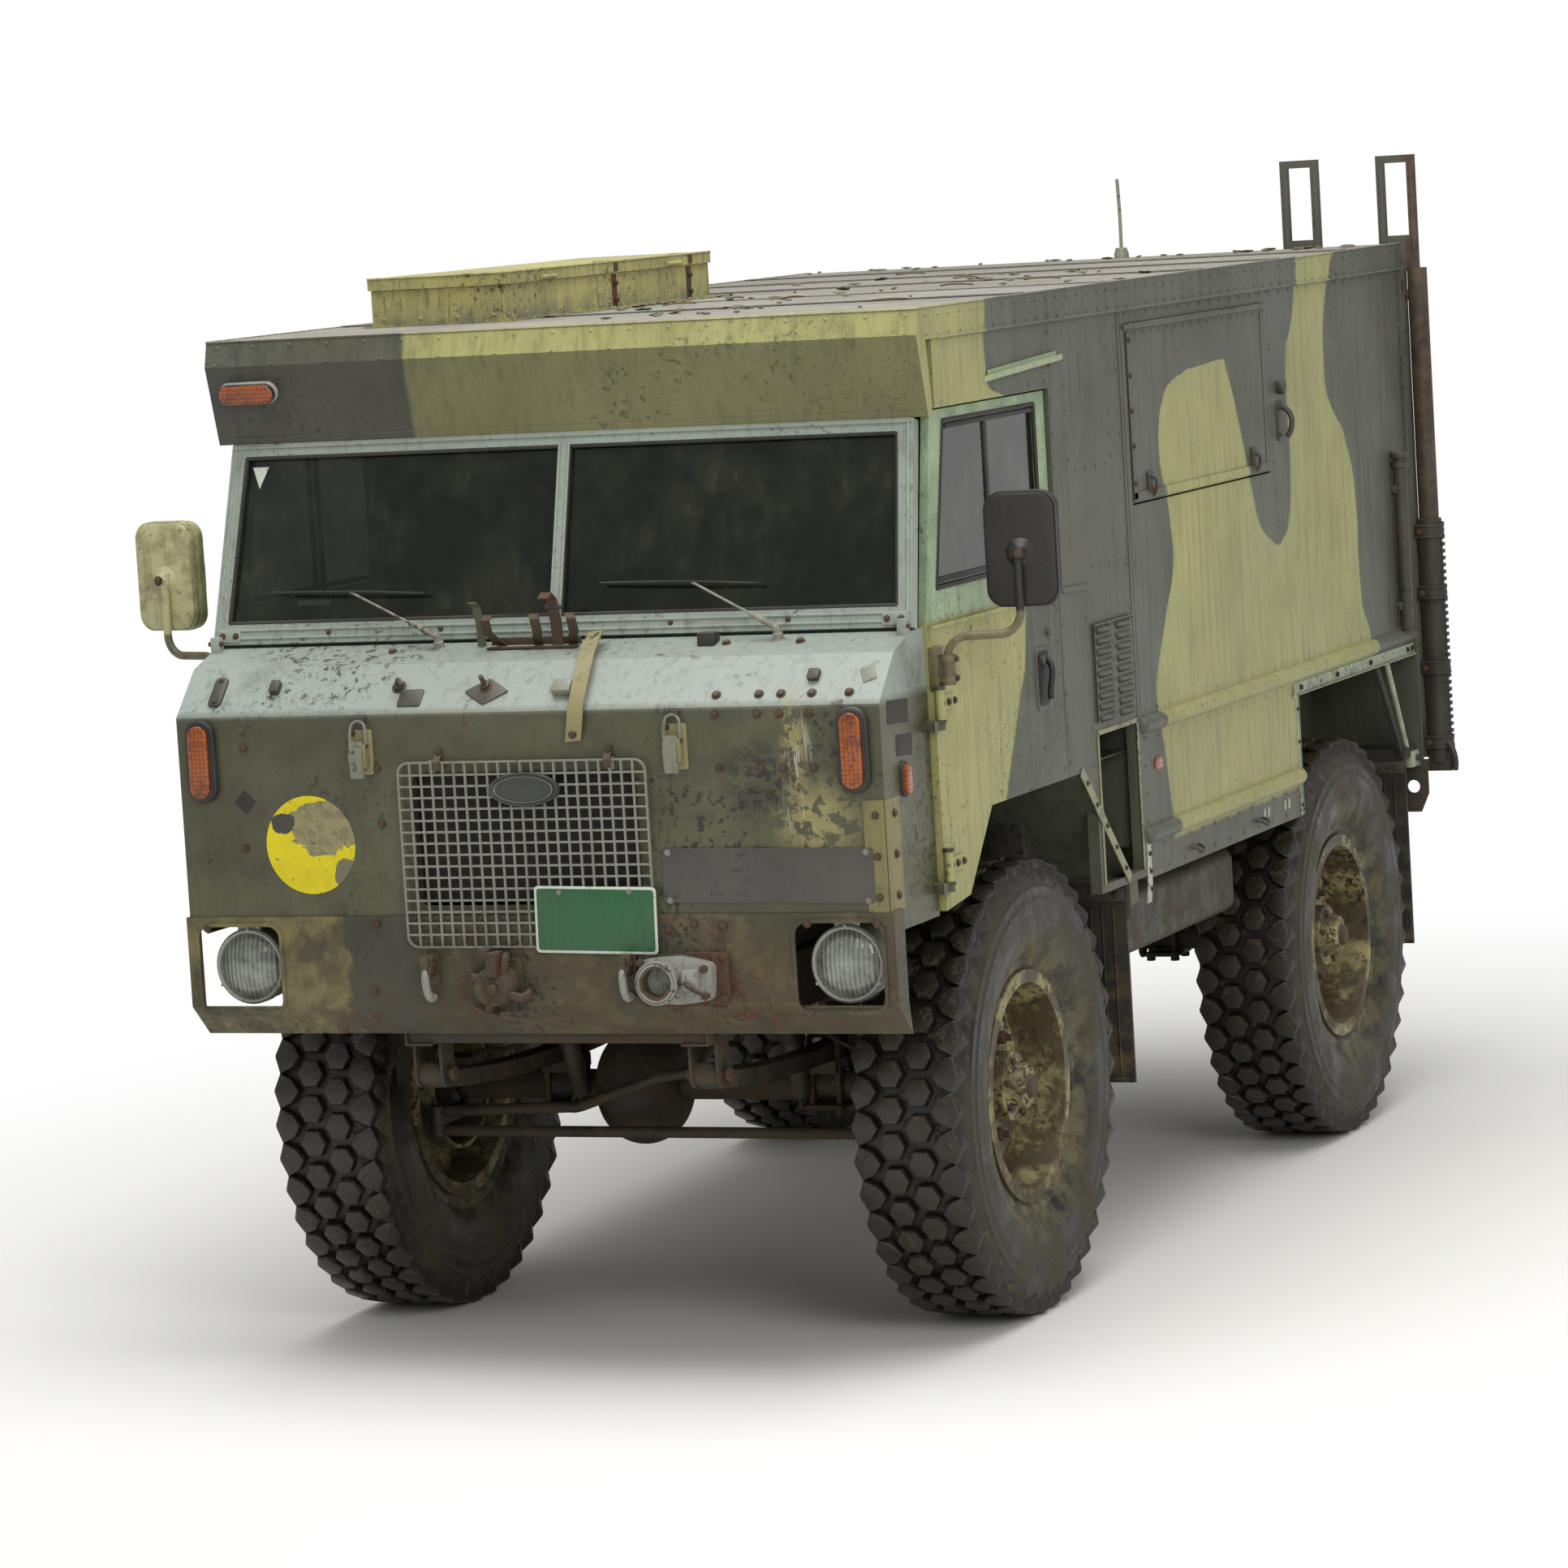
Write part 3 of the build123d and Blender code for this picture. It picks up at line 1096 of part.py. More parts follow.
# Tow jaw on a beam across the ends of the frame rails
jaw_z = 872.0
jaw_pin_r = 16.0
jaw_ear_t = 18.0
jaw_gap = 46.0
pin_y = reach_y - 42.0
with BuildPart() as tow_jaw:
    with Locations((0, rail_rear_y + seat_gap + 20, rail_bottom + rail_h / 2)):
        Box(2 * rail_x + rail_w, 40, rail_h)
    with Locations((0, tail_y + 10, jaw_z)):
        Box(150, 22, 112)
    for z in (jaw_z - jaw_gap / 2 - jaw_ear_t, jaw_z + jaw_gap / 2):
        with BuildSketch(Plane.XY.offset(z)):
            with Locations((0, (tail_y + pin_y) / 2)):
                Rectangle(84, pin_y - tail_y)
            with Locations((0, pin_y)):
                Circle(42)
                Circle(jaw_pin_r, mode=Mode.SUBTRACT)
        extrude(amount=jaw_ear_t)
tow_jaw.part.label = "tow_jaw"
export_step(tow_jaw.part, "parts/tow_jaw.step")

# Mud flaps: one behind each wheel, the rear ones on a bracket held up by a stay
flap_t = 10.0
flap_w = 250.0
flap_x = 790.0
rear_flap_y = rear_axle_y + tyre_r + 22.0
stay_x = 905.0
front_flap_z, rear_flap_z, rear_flap_top = 455.0, 450.0, 1010.0
stay_y0, stay_y1 = 1720.0, 1755.0
with BuildPart() as mud_flaps:
    for side in (-1, 1):
        with Locations((side * flap_x, guard_low_y - flap_t / 2 - seat_gap, (front_flap_z + guard_low_z - 10) / 2)):
            Box(flap_w, flap_t, guard_low_z - 10 - front_flap_z)
        with Locations((side * flap_x, rear_flap_y + flap_t / 2, (rear_flap_z + rear_flap_top) / 2)):
            Box(flap_w, flap_t, rear_flap_top - rear_flap_z)
        with Locations((side * flap_x, (rear_flap_y + tail_y - wall - seat_gap) / 2, 1005)):
            Box(flap_w, tail_y - wall - seat_gap - rear_flap_y, 30)
        with BuildSketch(Plane.YZ.offset(side * stay_x - 5)):
            with BuildLine():
                Polyline((stay_y0, rear_arch_z - seat_gap), (stay_y1, rear_arch_z - seat_gap),
                         (rear_flap_y + 20, rear_flap_top + 5), (rear_flap_y + 20, rear_flap_top - 15),
                         (rear_flap_y, rear_flap_top - 15), close=True)
            make_face()
        extrude(amount=10)
mud_flaps.part.label = "mud_flaps"
export_step(mud_flaps.part, "parts/mud_flaps.step")
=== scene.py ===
import random
from math import cos, exp, pi, radians, sin

import bmesh
import bpy
from mathutils import Matrix, Vector


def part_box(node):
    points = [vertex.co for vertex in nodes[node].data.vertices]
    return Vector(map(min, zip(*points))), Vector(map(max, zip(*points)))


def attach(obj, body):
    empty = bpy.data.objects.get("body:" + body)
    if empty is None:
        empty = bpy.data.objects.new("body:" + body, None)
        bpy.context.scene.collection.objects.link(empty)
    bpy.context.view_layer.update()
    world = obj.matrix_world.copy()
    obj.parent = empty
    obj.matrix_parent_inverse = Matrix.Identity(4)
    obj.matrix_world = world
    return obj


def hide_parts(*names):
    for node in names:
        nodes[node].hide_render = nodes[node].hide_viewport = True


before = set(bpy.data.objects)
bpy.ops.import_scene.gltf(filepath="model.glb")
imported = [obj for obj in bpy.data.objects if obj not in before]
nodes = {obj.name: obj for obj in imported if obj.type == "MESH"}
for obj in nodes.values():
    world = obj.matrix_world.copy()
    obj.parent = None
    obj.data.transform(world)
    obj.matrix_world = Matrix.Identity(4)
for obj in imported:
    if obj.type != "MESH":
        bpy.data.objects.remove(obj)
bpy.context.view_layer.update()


# The camera stands ahead of the truck's left corner with a long lens, a little above
# the bonnet's height. Its three angles are the tilt, the roll and the heading.
camera_data = bpy.data.cameras.new("photo_camera")
camera_data.lens = 138.6
camera_data.clip_end = 100
camera = bpy.data.objects.new("photo_camera", camera_data)
camera.location = (6.018, -14.8475, 2.885)
camera.rotation_euler = (radians(83.92), radians(3.457), radians(22.44))
bpy.context.collection.objects.link(camera)
bpy.context.scene.camera = camera


# Chassis, springs, axles and steering are steel, painted black at the works, and now
# brown with dried mud and rust. This section also holds what every painted finish needs.
def rgb(code):
    """An sRGB hex colour as the linear one that a shader takes."""
    parts = [int(code[i:i + 2], 16) / 255 for i in (0, 2, 4)]
    return tuple(c / 12.92 if c <= 0.04045 else ((c + 0.055) / 1.055) ** 2.4 for c in parts) + (1.0,)


def add(tree, kind, inputs={}, **settings):
    """Adds one shader node: settings are its own, inputs are values, or nodes and sockets to link."""
    node = tree.nodes.new("ShaderNode" + kind)
    for name, value in settings.items():
        setattr(node, name, value)
    for name, value in inputs.items():
        if isinstance(value, bpy.types.Node):
            value = value.outputs[0]
        if isinstance(value, bpy.types.NodeSocket):
            tree.links.new(value, node.inputs[name])
        else:
            node.inputs[name].default_value = value
    return node


def begin(name, **surface):
    """A new material: its tree, its shader, and the piece's own coordinates in metres."""
    finish = bpy.data.materials.new(name)
    finish.use_nodes = True
    tree = finish.node_tree
    tree.nodes.clear()
    shader = add(tree, "BsdfPrincipled", {key.replace("_", " "): value for key, value in surface.items()})
    add(tree, "OutputMaterial", {"Surface": shader})
    return finish, tree, shader, add(tree, "TexCoord").outputs["Object"]


def connect(shader, **sockets):
    """Links nodes to a shader's sockets, which are named here with underscores."""
    for name, node in sockets.items():
        shader.id_data.links.new(node.outputs[0], shader.inputs[name.replace("_", " ")])


def wear(tree, place, size, low, high, stretch=(1, 1, 1), detail=6.0, shift=0.0):
    """Ragged patches about size metres across: 0 where their noise is under low, 1 over high."""
    spread = add(tree, "Mapping", {"Vector": place, "Scale": [1 / s for s in stretch],
                                   "Location": (shift, shift * 1.7, shift * 0.6)})
    grain = add(tree, "TexNoise", {"Vector": spread, "Scale": 1 / size, "Detail": detail, "Roughness": 0.62})
    return add(tree, "MapRange", {"Value": grain, "From Min": low, "From Max": high})


def every(tree, *masks):
    """The mask where all of several masks are, as their product."""
    share = masks[0]
    for mask in masks[1:]:
        share = add(tree, "Math", {0: share, 1: mask}, operation="MULTIPLY")
    return share


def laid(tree, colour, *layers):
    """Lays colours over a colour. A layer is its colour and then the masks it needs all of."""
    for over, *masks in layers:
        colour = add(tree, "MixRGB", {"Fac": every(tree, *masks), "Color1": colour,
                                      "Color2": rgb(over) if isinstance(over, str) else over})
    return colour


def painted(name, coat, rust=0.5, chips=0.5, mud=(0.35, 1.1), gloss=0.5, dents=0.2, dust=0.3):
    """Brushed paint on sheet steel or aluminium, aged outdoors. coat is a hex colour, or a
    function of the tree and the coordinates. Rust and chips say how much shows of them, mud
    is the heights in metres between which its splashes thin out, and dust is what settled."""
    finish, tree, shader, place = begin(name)
    height = add(tree, "SeparateXYZ", {0: place}).outputs[2]
    facing_up = add(tree, "SeparateXYZ", {0: add(tree, "NewGeometry").outputs["Normal"]}).outputs[2]
    flat = add(tree, "MapRange", {"Value": facing_up, "From Min": 0.5, "From Max": 0.95})
    low, high = mud
    reach = add(tree, "MapRange", {"Value": height, "From Min": high, "From Max": low})
    splash = every(tree, reach, wear(tree, place, 0.07, 0.42, 0.62, shift=11.0, detail=9))
    film = wear(tree, place, 0.3, 0.35, 0.7, shift=2.0, detail=4)
    runs = wear(tree, place, 0.022, 0.52, 0.72, stretch=(1, 1, 12), detail=3)
    broad = wear(tree, place, 0.7, 0.25, 0.75, detail=2)
    bare_zone = wear(tree, place, 0.3, 0.49, 0.6, shift=1.3)
    bare = wear(tree, place, 0.018, 0.66 - 0.1 * chips, 0.67 - 0.1 * chips, detail=9, shift=3.0)
    rust_zone = wear(tree, place, 0.35, 0.47, 0.6, shift=5.0)
    rusty = wear(tree, place, 0.045, 0.7 - 0.17 * rust, 0.74 - 0.15 * rust, detail=10, shift=7.0)
    speckle = wear(tree, place, 0.006, 0.62, 0.66, detail=2, shift=9.0)
    rust_tone = laid(tree, rgb("38261a"), ("6e4429", wear(tree, place, 0.01, 0.35, 0.7)))
    colour = coat(tree, place) if callable(coat) else rgb(coat)
    tone = add(tree, "MapRange", {"Value": broad, "To Min": 0.88, "To Max": 1.1})
    colour = add(tree, "MixRGB", {"Fac": 1.0, "Color1": colour, "Color2": tone}, blend_type="MULTIPLY")
    colour = laid(tree, colour, ("2f302a", runs, 0.3), ("8d8973", film, 0.35 * dust),
                  ("26241f", bare, bare_zone, min(chips, 1.0)), ("26241f", speckle, rust_zone, 0.7),
                  (rust_tone, rusty, rust_zone, min(1.5 * rust, 1.0)), ("8f8b7c", flat, film, dust),
                  ("4b3e29", splash, 0.9))
    dull = add(tree, "Math", {0: every(tree, rusty, rust_zone), 1: splash}, operation="MAXIMUM")
    dull = add(tree, "Math", {0: dull, 1: every(tree, flat, film, dust)}, operation="MAXIMUM")
    uneven = add(tree, "Math", {0: every(tree, broad, 0.12), 1: every(tree, dull, 0.35)}, operation="ADD")
    rough = add(tree, "Math", {0: uneven, 1: gloss - 0.05}, operation="ADD")
    sheet = add(tree, "TexNoise", {"Vector": place, "Scale": 2.4, "Detail": 1.5})
    skin = add(tree, "TexNoise", {"Vector": place, "Scale": 220.0, "Detail": 3.0})
    form = add(tree, "Math", {0: sheet, 1: 0.05 * dents, 2: every(tree, skin, 0.0005)},
               operation="MULTIPLY_ADD")
    form = add(tree, "Math", {0: dull, 1: 0.0012, 2: form}, operation="MULTIPLY_ADD")
    form = add(tree, "Math", {0: every(tree, bare, bare_zone), 1: -0.0006, 2: form},
               operation="MULTIPLY_ADD")
    bump = add(tree, "Bump", {"Height": form, "Strength": 1.0, "Distance": 1.0})
    connect(shader, Base_Color=colour, Roughness=rough, Normal=bump)
    return finish


def dress(finish, *names):
    """Puts a finish on nodes of the frame that keep their shape."""
    for name in names:
        for holder in nodes[name].material_slots:
            holder.material = finish


chassis_steel = painted("chassis_black_paint_under_mud", "26231e", rust=0.9, mud=(0.5, 1.6), gloss=0.6,
                        dents=0.02)
dress(chassis_steel, "chassis_frame", "suspension", "front_axle", "rear_axle", "propshafts", "tow_jaw",
      "knuckle_left", "knuckle_right", "track_rod", "drag_link", "seat_pans", "front_arches")


# Engine, gearbox and transfer case are castings, grey-brown with oil and road dirt, and
# the two fuel tanks are pressed steel in the body's colour.
dress(painted("oily_cast_iron", "3a3832", rust=0.8, chips=0.2, mud=(0.5, 1.6), dents=0.1), "powertrain")
dress(painted("tank_olive_paint", "34342a", rust=0.35, mud=(0.6, 1.4)), "fuel_tanks")


# Road wheels are pressed steel on 20 inch rims: tan paint that shows where the mud has
# worn off, with rusty nuts on a ring and bolts round the drive flange.
def close(bm, name, finish, body="truck", smooth=True, replaces=()):
    """Turns a bmesh into a finished piece that rides on a body."""
    mesh = bpy.data.meshes.new(name)
    bm.to_mesh(mesh)
    bm.free()
    piece = bpy.data.objects.new(name, mesh)
    bpy.context.collection.objects.link(piece)
    for one in finish if isinstance(finish, (list, tuple)) else [finish]:
        mesh.materials.append(one)
    if smooth:
        mesh.shade_smooth()
        mesh.set_sharp_from_angle(angle=radians(38))
    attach(piece, body)
    if replaces:
        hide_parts(*replaces)
    return piece


def facing(centre, normal, turn=0.0):
    """The placing that moves a shape made round +Z to a centre, with +Z along a normal."""
    aim = Vector(normal).to_track_quat("Z", "Y").to_matrix().to_4x4()
    return Matrix.Translation(centre) @ aim @ Matrix.Rotation(turn, 4, "Z")


def between(low, high):
    """The placing that stretches a unit cube between two corners."""
    low, high = Vector(low), Vector(high)
    return Matrix.Translation((low + high) / 2) @ Matrix.Diagonal((*(high - low), 1))


def finish_faces(corners, index):
    """Gives one of the piece's finishes to every face that touches these corners."""
    for face in {f for v in corners if v.is_valid for f in v.link_faces}:
        face.material_index = index


def disc(bm, centre, normal, radius, height, sides=16, top=None, edge=0.0, index=0, turn=0.0):
    """A short turned solid that stands on centre along normal: a bolt head, boss, cap or rod."""
    stand = facing(centre, normal, turn) @ Matrix.Translation((0, 0, height / 2))
    made = bmesh.ops.create_cone(bm, cap_ends=True, segments=sides, radius1=radius,
                                 radius2=radius if top is None else top, depth=height, matrix=stand)
    corners = set(made["verts"])
    if edge:
        rims = [e for e in {e for v in corners for e in v.link_edges} if e.calc_face_angle(0) > 1]
        corners |= set(bmesh.ops.bevel(bm, geom=rims, offset=edge, segments=2, affect="EDGES", profile=0.5,
                                       material=-1)["verts"])
    finish_faces(corners, index)


def block(bm, low, high, edge=0.002, index=0, turn=None):
    """A rectangular piece between two corners with eased edges; turn moves it afterwards."""
    made = bmesh.ops.create_cube(bm, size=1, matrix=between(low, high))
    around = list({e for v in made["verts"] for e in v.link_edges})
    corners = set(made["verts"])
    eased = bmesh.ops.bevel(bm, geom=around, offset=edge, segments=2, affect="EDGES", profile=0.5,
                            material=-1)
    corners |= set(eased["verts"])
    finish_faces(corners, index)
    if turn is not None:
        bmesh.ops.transform(bm, matrix=turn, verts=[v for v in corners if v.is_valid])


def rim_coat(tree, place):
    """Tan where the mud has been knocked off, and dark olive-brown where it still clings."""
    return laid(tree, rgb("4c4529"), ("9a9060", wear(tree, place, 0.16, 0.46, 0.54, shift=23.0, detail=8)),
                ("2c2618", wear(tree, place, 0.03, 0.56, 0.6, shift=25.0, detail=9), 0.85))


rust_steel = painted("bare_rusty_steel", "43301f", rust=1.3, chips=0.3, mud=(0.2, 0.9), gloss=0.65,
                     dents=0.02)
rim_paint = painted("rim_tan_paint_under_mud", rim_coat, rust=0.8, chips=1.2, mud=(0.35, 1.0), dents=0.02)
wheels = (("front_left", 1), ("front_right", -1), ("rear_left", 1), ("rear_right", -1))
nut_ring, nut_size, nut_height = 0.118, 0.017, 0.02
flange_ring, flange_bolt = 0.066, 0.009
for corner, side in wheels:
    dress(rim_paint, "wheel_" + corner)
    hub = Vector((low + high) / 2 for low, high in zip(*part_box("tyre_" + corner)))
    out = Vector((side, 0, 0))
    bm = bmesh.new()
    for number in range(6):
        angle = number * pi / 3 + 0.3
        nut = hub + Vector((0, cos(angle), sin(angle))) * nut_ring
        disc(bm, nut + out * 0.027, out, nut_size, nut_height, sides=6, edge=0.002)
        disc(bm, nut + out * 0.045, out, 0.009, 0.02, sides=10)
        head = hub + Vector((0, cos(angle + 0.5), sin(angle + 0.5))) * flange_ring
        disc(bm, head + out * 0.073, out, flange_bolt, 0.012, sides=6, edge=0.0015)
    disc(bm, hub + out * 0.105, out, 0.034, 0.022, sides=20, top=0.026, edge=0.003)
    close(bm, "hub_bolts_" + corner, rust_steel, "road_wheel_" + corner)


# Tyres are cross-country tyres of natural rubber, 1.12 m tall. Each is a carcass turned
# about the axle, with four staggered rows of blocks: two of six-sided blocks in the
# middle, and a row of deep shoulder blocks that run down each side.
tyre_r, groove_r = 0.56, 0.54
pitches = 40
step = 2 * pi / pitches
pitch = tyre_r * step
middle_row, middle_w = 0.036, 0.064
shoulder_row, shoulder_w = 0.1045, 0.068
carcass = [(0.105, 0.2572), (0.1045, 0.29), (0.112, 0.3), (0.116, 0.309), (0.114, 0.318), (0.127, 0.334),
           (0.141, 0.362), (0.148, 0.395), (0.1495, 0.42), (0.1485, 0.446), (0.1495, 0.45), (0.1495, 0.456),
           (0.1475, 0.46), (0.1465, 0.478), (0.1475, 0.482), (0.1468, 0.487), (0.1435, 0.49),
           (0.1405, 0.505), (0.133, 0.52), (0.124, 0.532), (0.11, 0.538)]
bm = bmesh.new()
half = [bm.verts.new((x, 0, r)) for x, r in carcass]
other = [bm.verts.new((-x, 0, r)) for x, r in reversed(carcass)]
outline = half + other
loop = [bm.edges.new(pair) for pair in zip(outline, outline[1:] + outline[:1])]
bmesh.ops.spin(bm, geom=outline + loop, axis=(1, 0, 0), cent=(0, 0, 0), angle=2 * pi, steps=120,
               use_merge=True, dvec=(0, 0, 0))
bmesh.ops.recalc_face_normals(bm, faces=bm.faces)
for row, width, offset in ((-shoulder_row, shoulder_w, 0.0), (-middle_row, middle_w, 0.5),
                           (middle_row, middle_w, 0.0), (shoulder_row, shoulder_w, 0.5)):
    outward = 0 if abs(row) < 0.05 else (1 if row > 0 else -1)
    flat = bmesh.new()
    bmesh.ops.create_circle(flat, cap_ends=True, segments=6, radius=0.5,
                            matrix=Matrix.Rotation(pi / 2, 4, "Z"))
    length = pitch * (0.8 if outward else 0.92)
    for v in flat.verts:
        v.co.x *= width * 1.155
        v.co.y *= length
        if outward and v.co.x * outward > 0.1 * width:
            v.co.y *= 1.6
    grown = bmesh.ops.extrude_face_region(flat, geom=flat.faces[:])
    top = [g for g in grown["geom"] if isinstance(g, bmesh.types.BMVert)]
    for v in top:
        v.co = Vector((v.co.x * 0.93, v.co.y * 0.93, tyre_r - groove_r + 0.012))
    for v in flat.verts:
        if outward and v.co.x * outward > 0.2 * width:
            if v.co.z < 0.01:
                v.co.z -= 0.016
            else:
                v.co.x -= outward * 0.001
    crest = [e for e in flat.edges if all(v in top for v in e.verts)]
    bmesh.ops.bevel(flat, geom=crest, offset=0.0055, segments=2, affect="EDGES", profile=0.5, material=-1)
    if outward:
        outer_x = 0.35 * width
        outer = [e for e in flat.edges if all(v.co.x * outward > outer_x and v.co.z > 0.02 for v in e.verts)]
        bmesh.ops.bevel(flat, geom=outer, offset=0.004, segments=1, affect="EDGES", profile=0.5, material=-1)
    bmesh.ops.recalc_face_normals(flat, faces=flat.faces)
    shape = bpy.data.meshes.new("tread_block")
    for number in range(pitches):
        bent = flat.copy()
        for v in bent.verts:
            reach = groove_r - 0.012 + v.co.z
            angle = (number + offset) * step + v.co.y / tyre_r
            x = row + v.co.x
            crown = 0.9 * max(abs(x) - 0.05, 0) ** 2
            v.co = Vector((x, (reach - crown) * sin(angle), (reach - crown) * cos(angle)))
        bent.to_mesh(shape)
        bm.from_mesh(shape)
        bent.free()
    flat.free()
    bpy.data.meshes.remove(shape)
reach = bm.verts.layers.float.new("reach")
for v in bm.verts:
    v[reach] = Vector((v.co.y, v.co.z)).length
tread = bpy.data.meshes.new("tread")
bm.to_mesh(tread)
bm.free()

tyre_rubber, tree, shader, place = begin("tyre_rubber_with_dried_mud")
radius = add(tree, "Attribute", attribute_name="reach").outputs["Fac"]
# painted shade: near black below the blocks' tops, for the shade in the grooves, which also darkens the
# carcass
groove_shade = add(tree, "MapRange", {"Value": radius, "From Min": 0.557, "From Max": 0.543})
wall = add(tree, "MapRange", {"Value": radius, "From Min": 0.54, "From Max": 0.5})
bead = add(tree, "MapRange", {"Value": radius, "From Min": 0.42, "From Max": 0.3})
dusty = every(tree, wall, wear(tree, place, 0.14, 0.4, 0.66, shift=2.0))
caked = wear(tree, place, 0.05, 0.57, 0.64, detail=9, shift=6.0)
colour = laid(tree, rgb("221e18"), ("2f2a20", wear(tree, place, 0.05, 0.35, 0.7)), ("100d09", groove_shade),
              ("4a442e", dusty, 0.75), ("6a6445", bead, wear(tree, place, 0.07, 0.42, 0.6, shift=4.0), 0.75),
              ("453722", caked, 0.8))
rough = add(tree, "MapRange", {"Value": dusty, "To Min": 0.42, "To Max": 0.8})
grit = add(tree, "TexNoise", {"Vector": place, "Scale": 90.0, "Detail": 6.0})
lumps = add(tree, "Math", {0: caked, 1: 0.002, 2: every(tree, grit, 0.0015)}, operation="MULTIPLY_ADD")
bump = add(tree, "Bump", {"Height": lumps, "Strength": 1.0, "Distance": 1.0})
connect(shader, Base_Color=colour, Roughness=rough, Normal=bump)
for corner, side in wheels:
    hub = Vector((low + high) / 2 for low, high in zip(*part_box("tyre_" + corner)))
    bm = bmesh.new()
    bm.from_mesh(tread)
    roll = {"front_left": 0.02, "front_right": 0.05, "rear_left": 0.09, "rear_right": 0.12}[corner]
    bm.transform(Matrix.Translation(hub) @ Matrix.Rotation(pi if side < 0 else 0.0, 4, "Z")
                 @ Matrix.Rotation(roll, 4, "X"))
    close(bm, "tread_" + corner, tyre_rubber, "road_wheel_" + corner,
          replaces=["tyre_" + corner])
bpy.data.meshes.remove(tread)


# The paint scheme is grey-green with tan patches, brushed on by hand over the doors, the
# sides and the roof. Each edge of a patch is drawn as (height, place along the truck).
def edge(tree, height, *points):
    """How far along the truck a painted edge lies at each height, smoothly from point to point."""
    low, high = points[0][0], points[-1][0]
    near, far = min(y for _, y in points), max(y for _, y in points)
    bend = add(tree, "FloatCurve", {"Value": add(tree, "MapRange",
                                                 {"Value": height, "From Min": low, "From Max": high})})
    spots = [((z - low) / (high - low), (y - near) / (far - near)) for z, y in points]
    line = bend.mapping.curves[0]
    line.points[0].location, line.points[1].location = spots[0], spots[-1]
    for spot in spots[1:-1]:
        line.points.new(*spot)
    bend.mapping.update()
    return add(tree, "MapRange", {"Value": bend, "To Min": near, "To Max": far})


def past(tree, value, line, width=0.006):
    """1 where a value is over a line, 0 where it is under, and soft over the brush's width."""
    over = add(tree, "Math", {0: value, 1: line}, operation="SUBTRACT")
    return add(tree, "MapRange", {"Value": over, "From Min": -width, "From Max": width})


patch_rear = ((0.9, 1.7), (1.363, 1.67), (1.534, 1.581), (1.765, 1.581), (1.978, 1.501), (2.171, 1.342),
              (2.395, 1.395), (2.5, 1.491))
patch_front = ((0.9, -0.14), (1.1, -0.142), (1.274, -0.179), (1.425, -0.218), (1.605, -0.124),
               (1.744, -0.035), (1.85, -0.037), (2.065, -0.099), (2.197, -0.025), (2.25, 0.4), (2.27, 1.02),
               (2.5, 1.116))
tongue_front = ((1.7, 0.9), (1.735, 0.8), (1.79, 0.7), (1.95, 0.62), (2.1, 0.55), (2.5, 0.3))
tongue_rear = ((1.7, 0.83), (1.735, 0.9), (1.77, 0.953), (1.945, 0.997), (2.147, 0.987), (2.5, 1.116))
door_patch = ((0.9, -1.5), (1.302, -1.352), (1.514, -1.233), (1.704, -1.156), (2.24, -1.2), (2.3, -1.33),
              (2.5, -1.33))
fascia_patch_x = -0.385
olive_grey, tan_paint = "494b3c", "a3a267"


def camouflage(tree, place):
    """Grey-green with tan patches on both sides, the right one's running the other way."""
    wobble = add(tree, "TexNoise", {"Vector": place, "Scale": 9.0, "Detail": 3.0})
    moved = add(tree, "MixRGB", {"Fac": 0.02, "Color1": place, "Color2": wobble.outputs[1]},
                blend_type="ADD")
    x, y, height = add(tree, "SeparateXYZ", {0: moved}).outputs
    left = past(tree, x, 0.0)
    other_way = add(tree, "Math", {0: 1.1, 1: y}, operation="SUBTRACT")
    along = add(tree, "MixRGB", {"Fac": left, "Color1": other_way, "Color2": y})
    behind = past(tree, along, edge(tree, height, *patch_front))
    before = past(tree, edge(tree, height, *patch_rear), along)
    tongue = every(tree, past(tree, along, edge(tree, height, *tongue_front)),
                   past(tree, edge(tree, height, *tongue_rear), along), past(tree, height, 1.72))
    clear = add(tree, "Math", {0: 1.0, 1: tongue}, operation="SUBTRACT")
    front = every(tree, past(tree, edge(tree, height, *door_patch), y), past(tree, x, fascia_patch_x))
    sill = every(tree, past(tree, y, -0.37), past(tree, 1.044, height))
    above_sill = add(tree, "Math", {0: 1.0, 1: sill}, operation="SUBTRACT")
    tan = add(tree, "Math", {0: every(tree, behind, before, clear, above_sill), 1: front},
              operation="MAXIMUM")
    grey = laid(tree, rgb(olive_grey), ("585c50", wear(tree, place, 0.5, 0.4, 0.6, shift=8.0), 0.7),
                ("3c4029", wear(tree, place, 0.25, 0.58, 0.68, shift=14.0), 0.6),
                ("32332a", wear(tree, place, 0.035, 0.5, 0.66, stretch=(1, 1, 14), detail=4, shift=18.0),
                 0.55))
    sand = laid(tree, rgb(tan_paint), ("8d8b55", wear(tree, place, 0.3, 0.4, 0.65, shift=6.0), 0.6),
                ("7c7a4c", wear(tree, place, 0.03, 0.5, 0.68, stretch=(1, 1, 14), detail=4, shift=19.0),
                 0.45))
    return laid(tree, grey, (sand, tan))


side_paint = painted("camouflage_paint_on_aluminium_panels", camouflage, rust=0.12, chips=0.35, dents=0.12)
dress(side_paint, "box_side_left", "box_side_right", "box_rear_frame", "rear_door", "side_shutter",
      "cab_side_panels", "roof", "box_bulkhead", "box_floor")
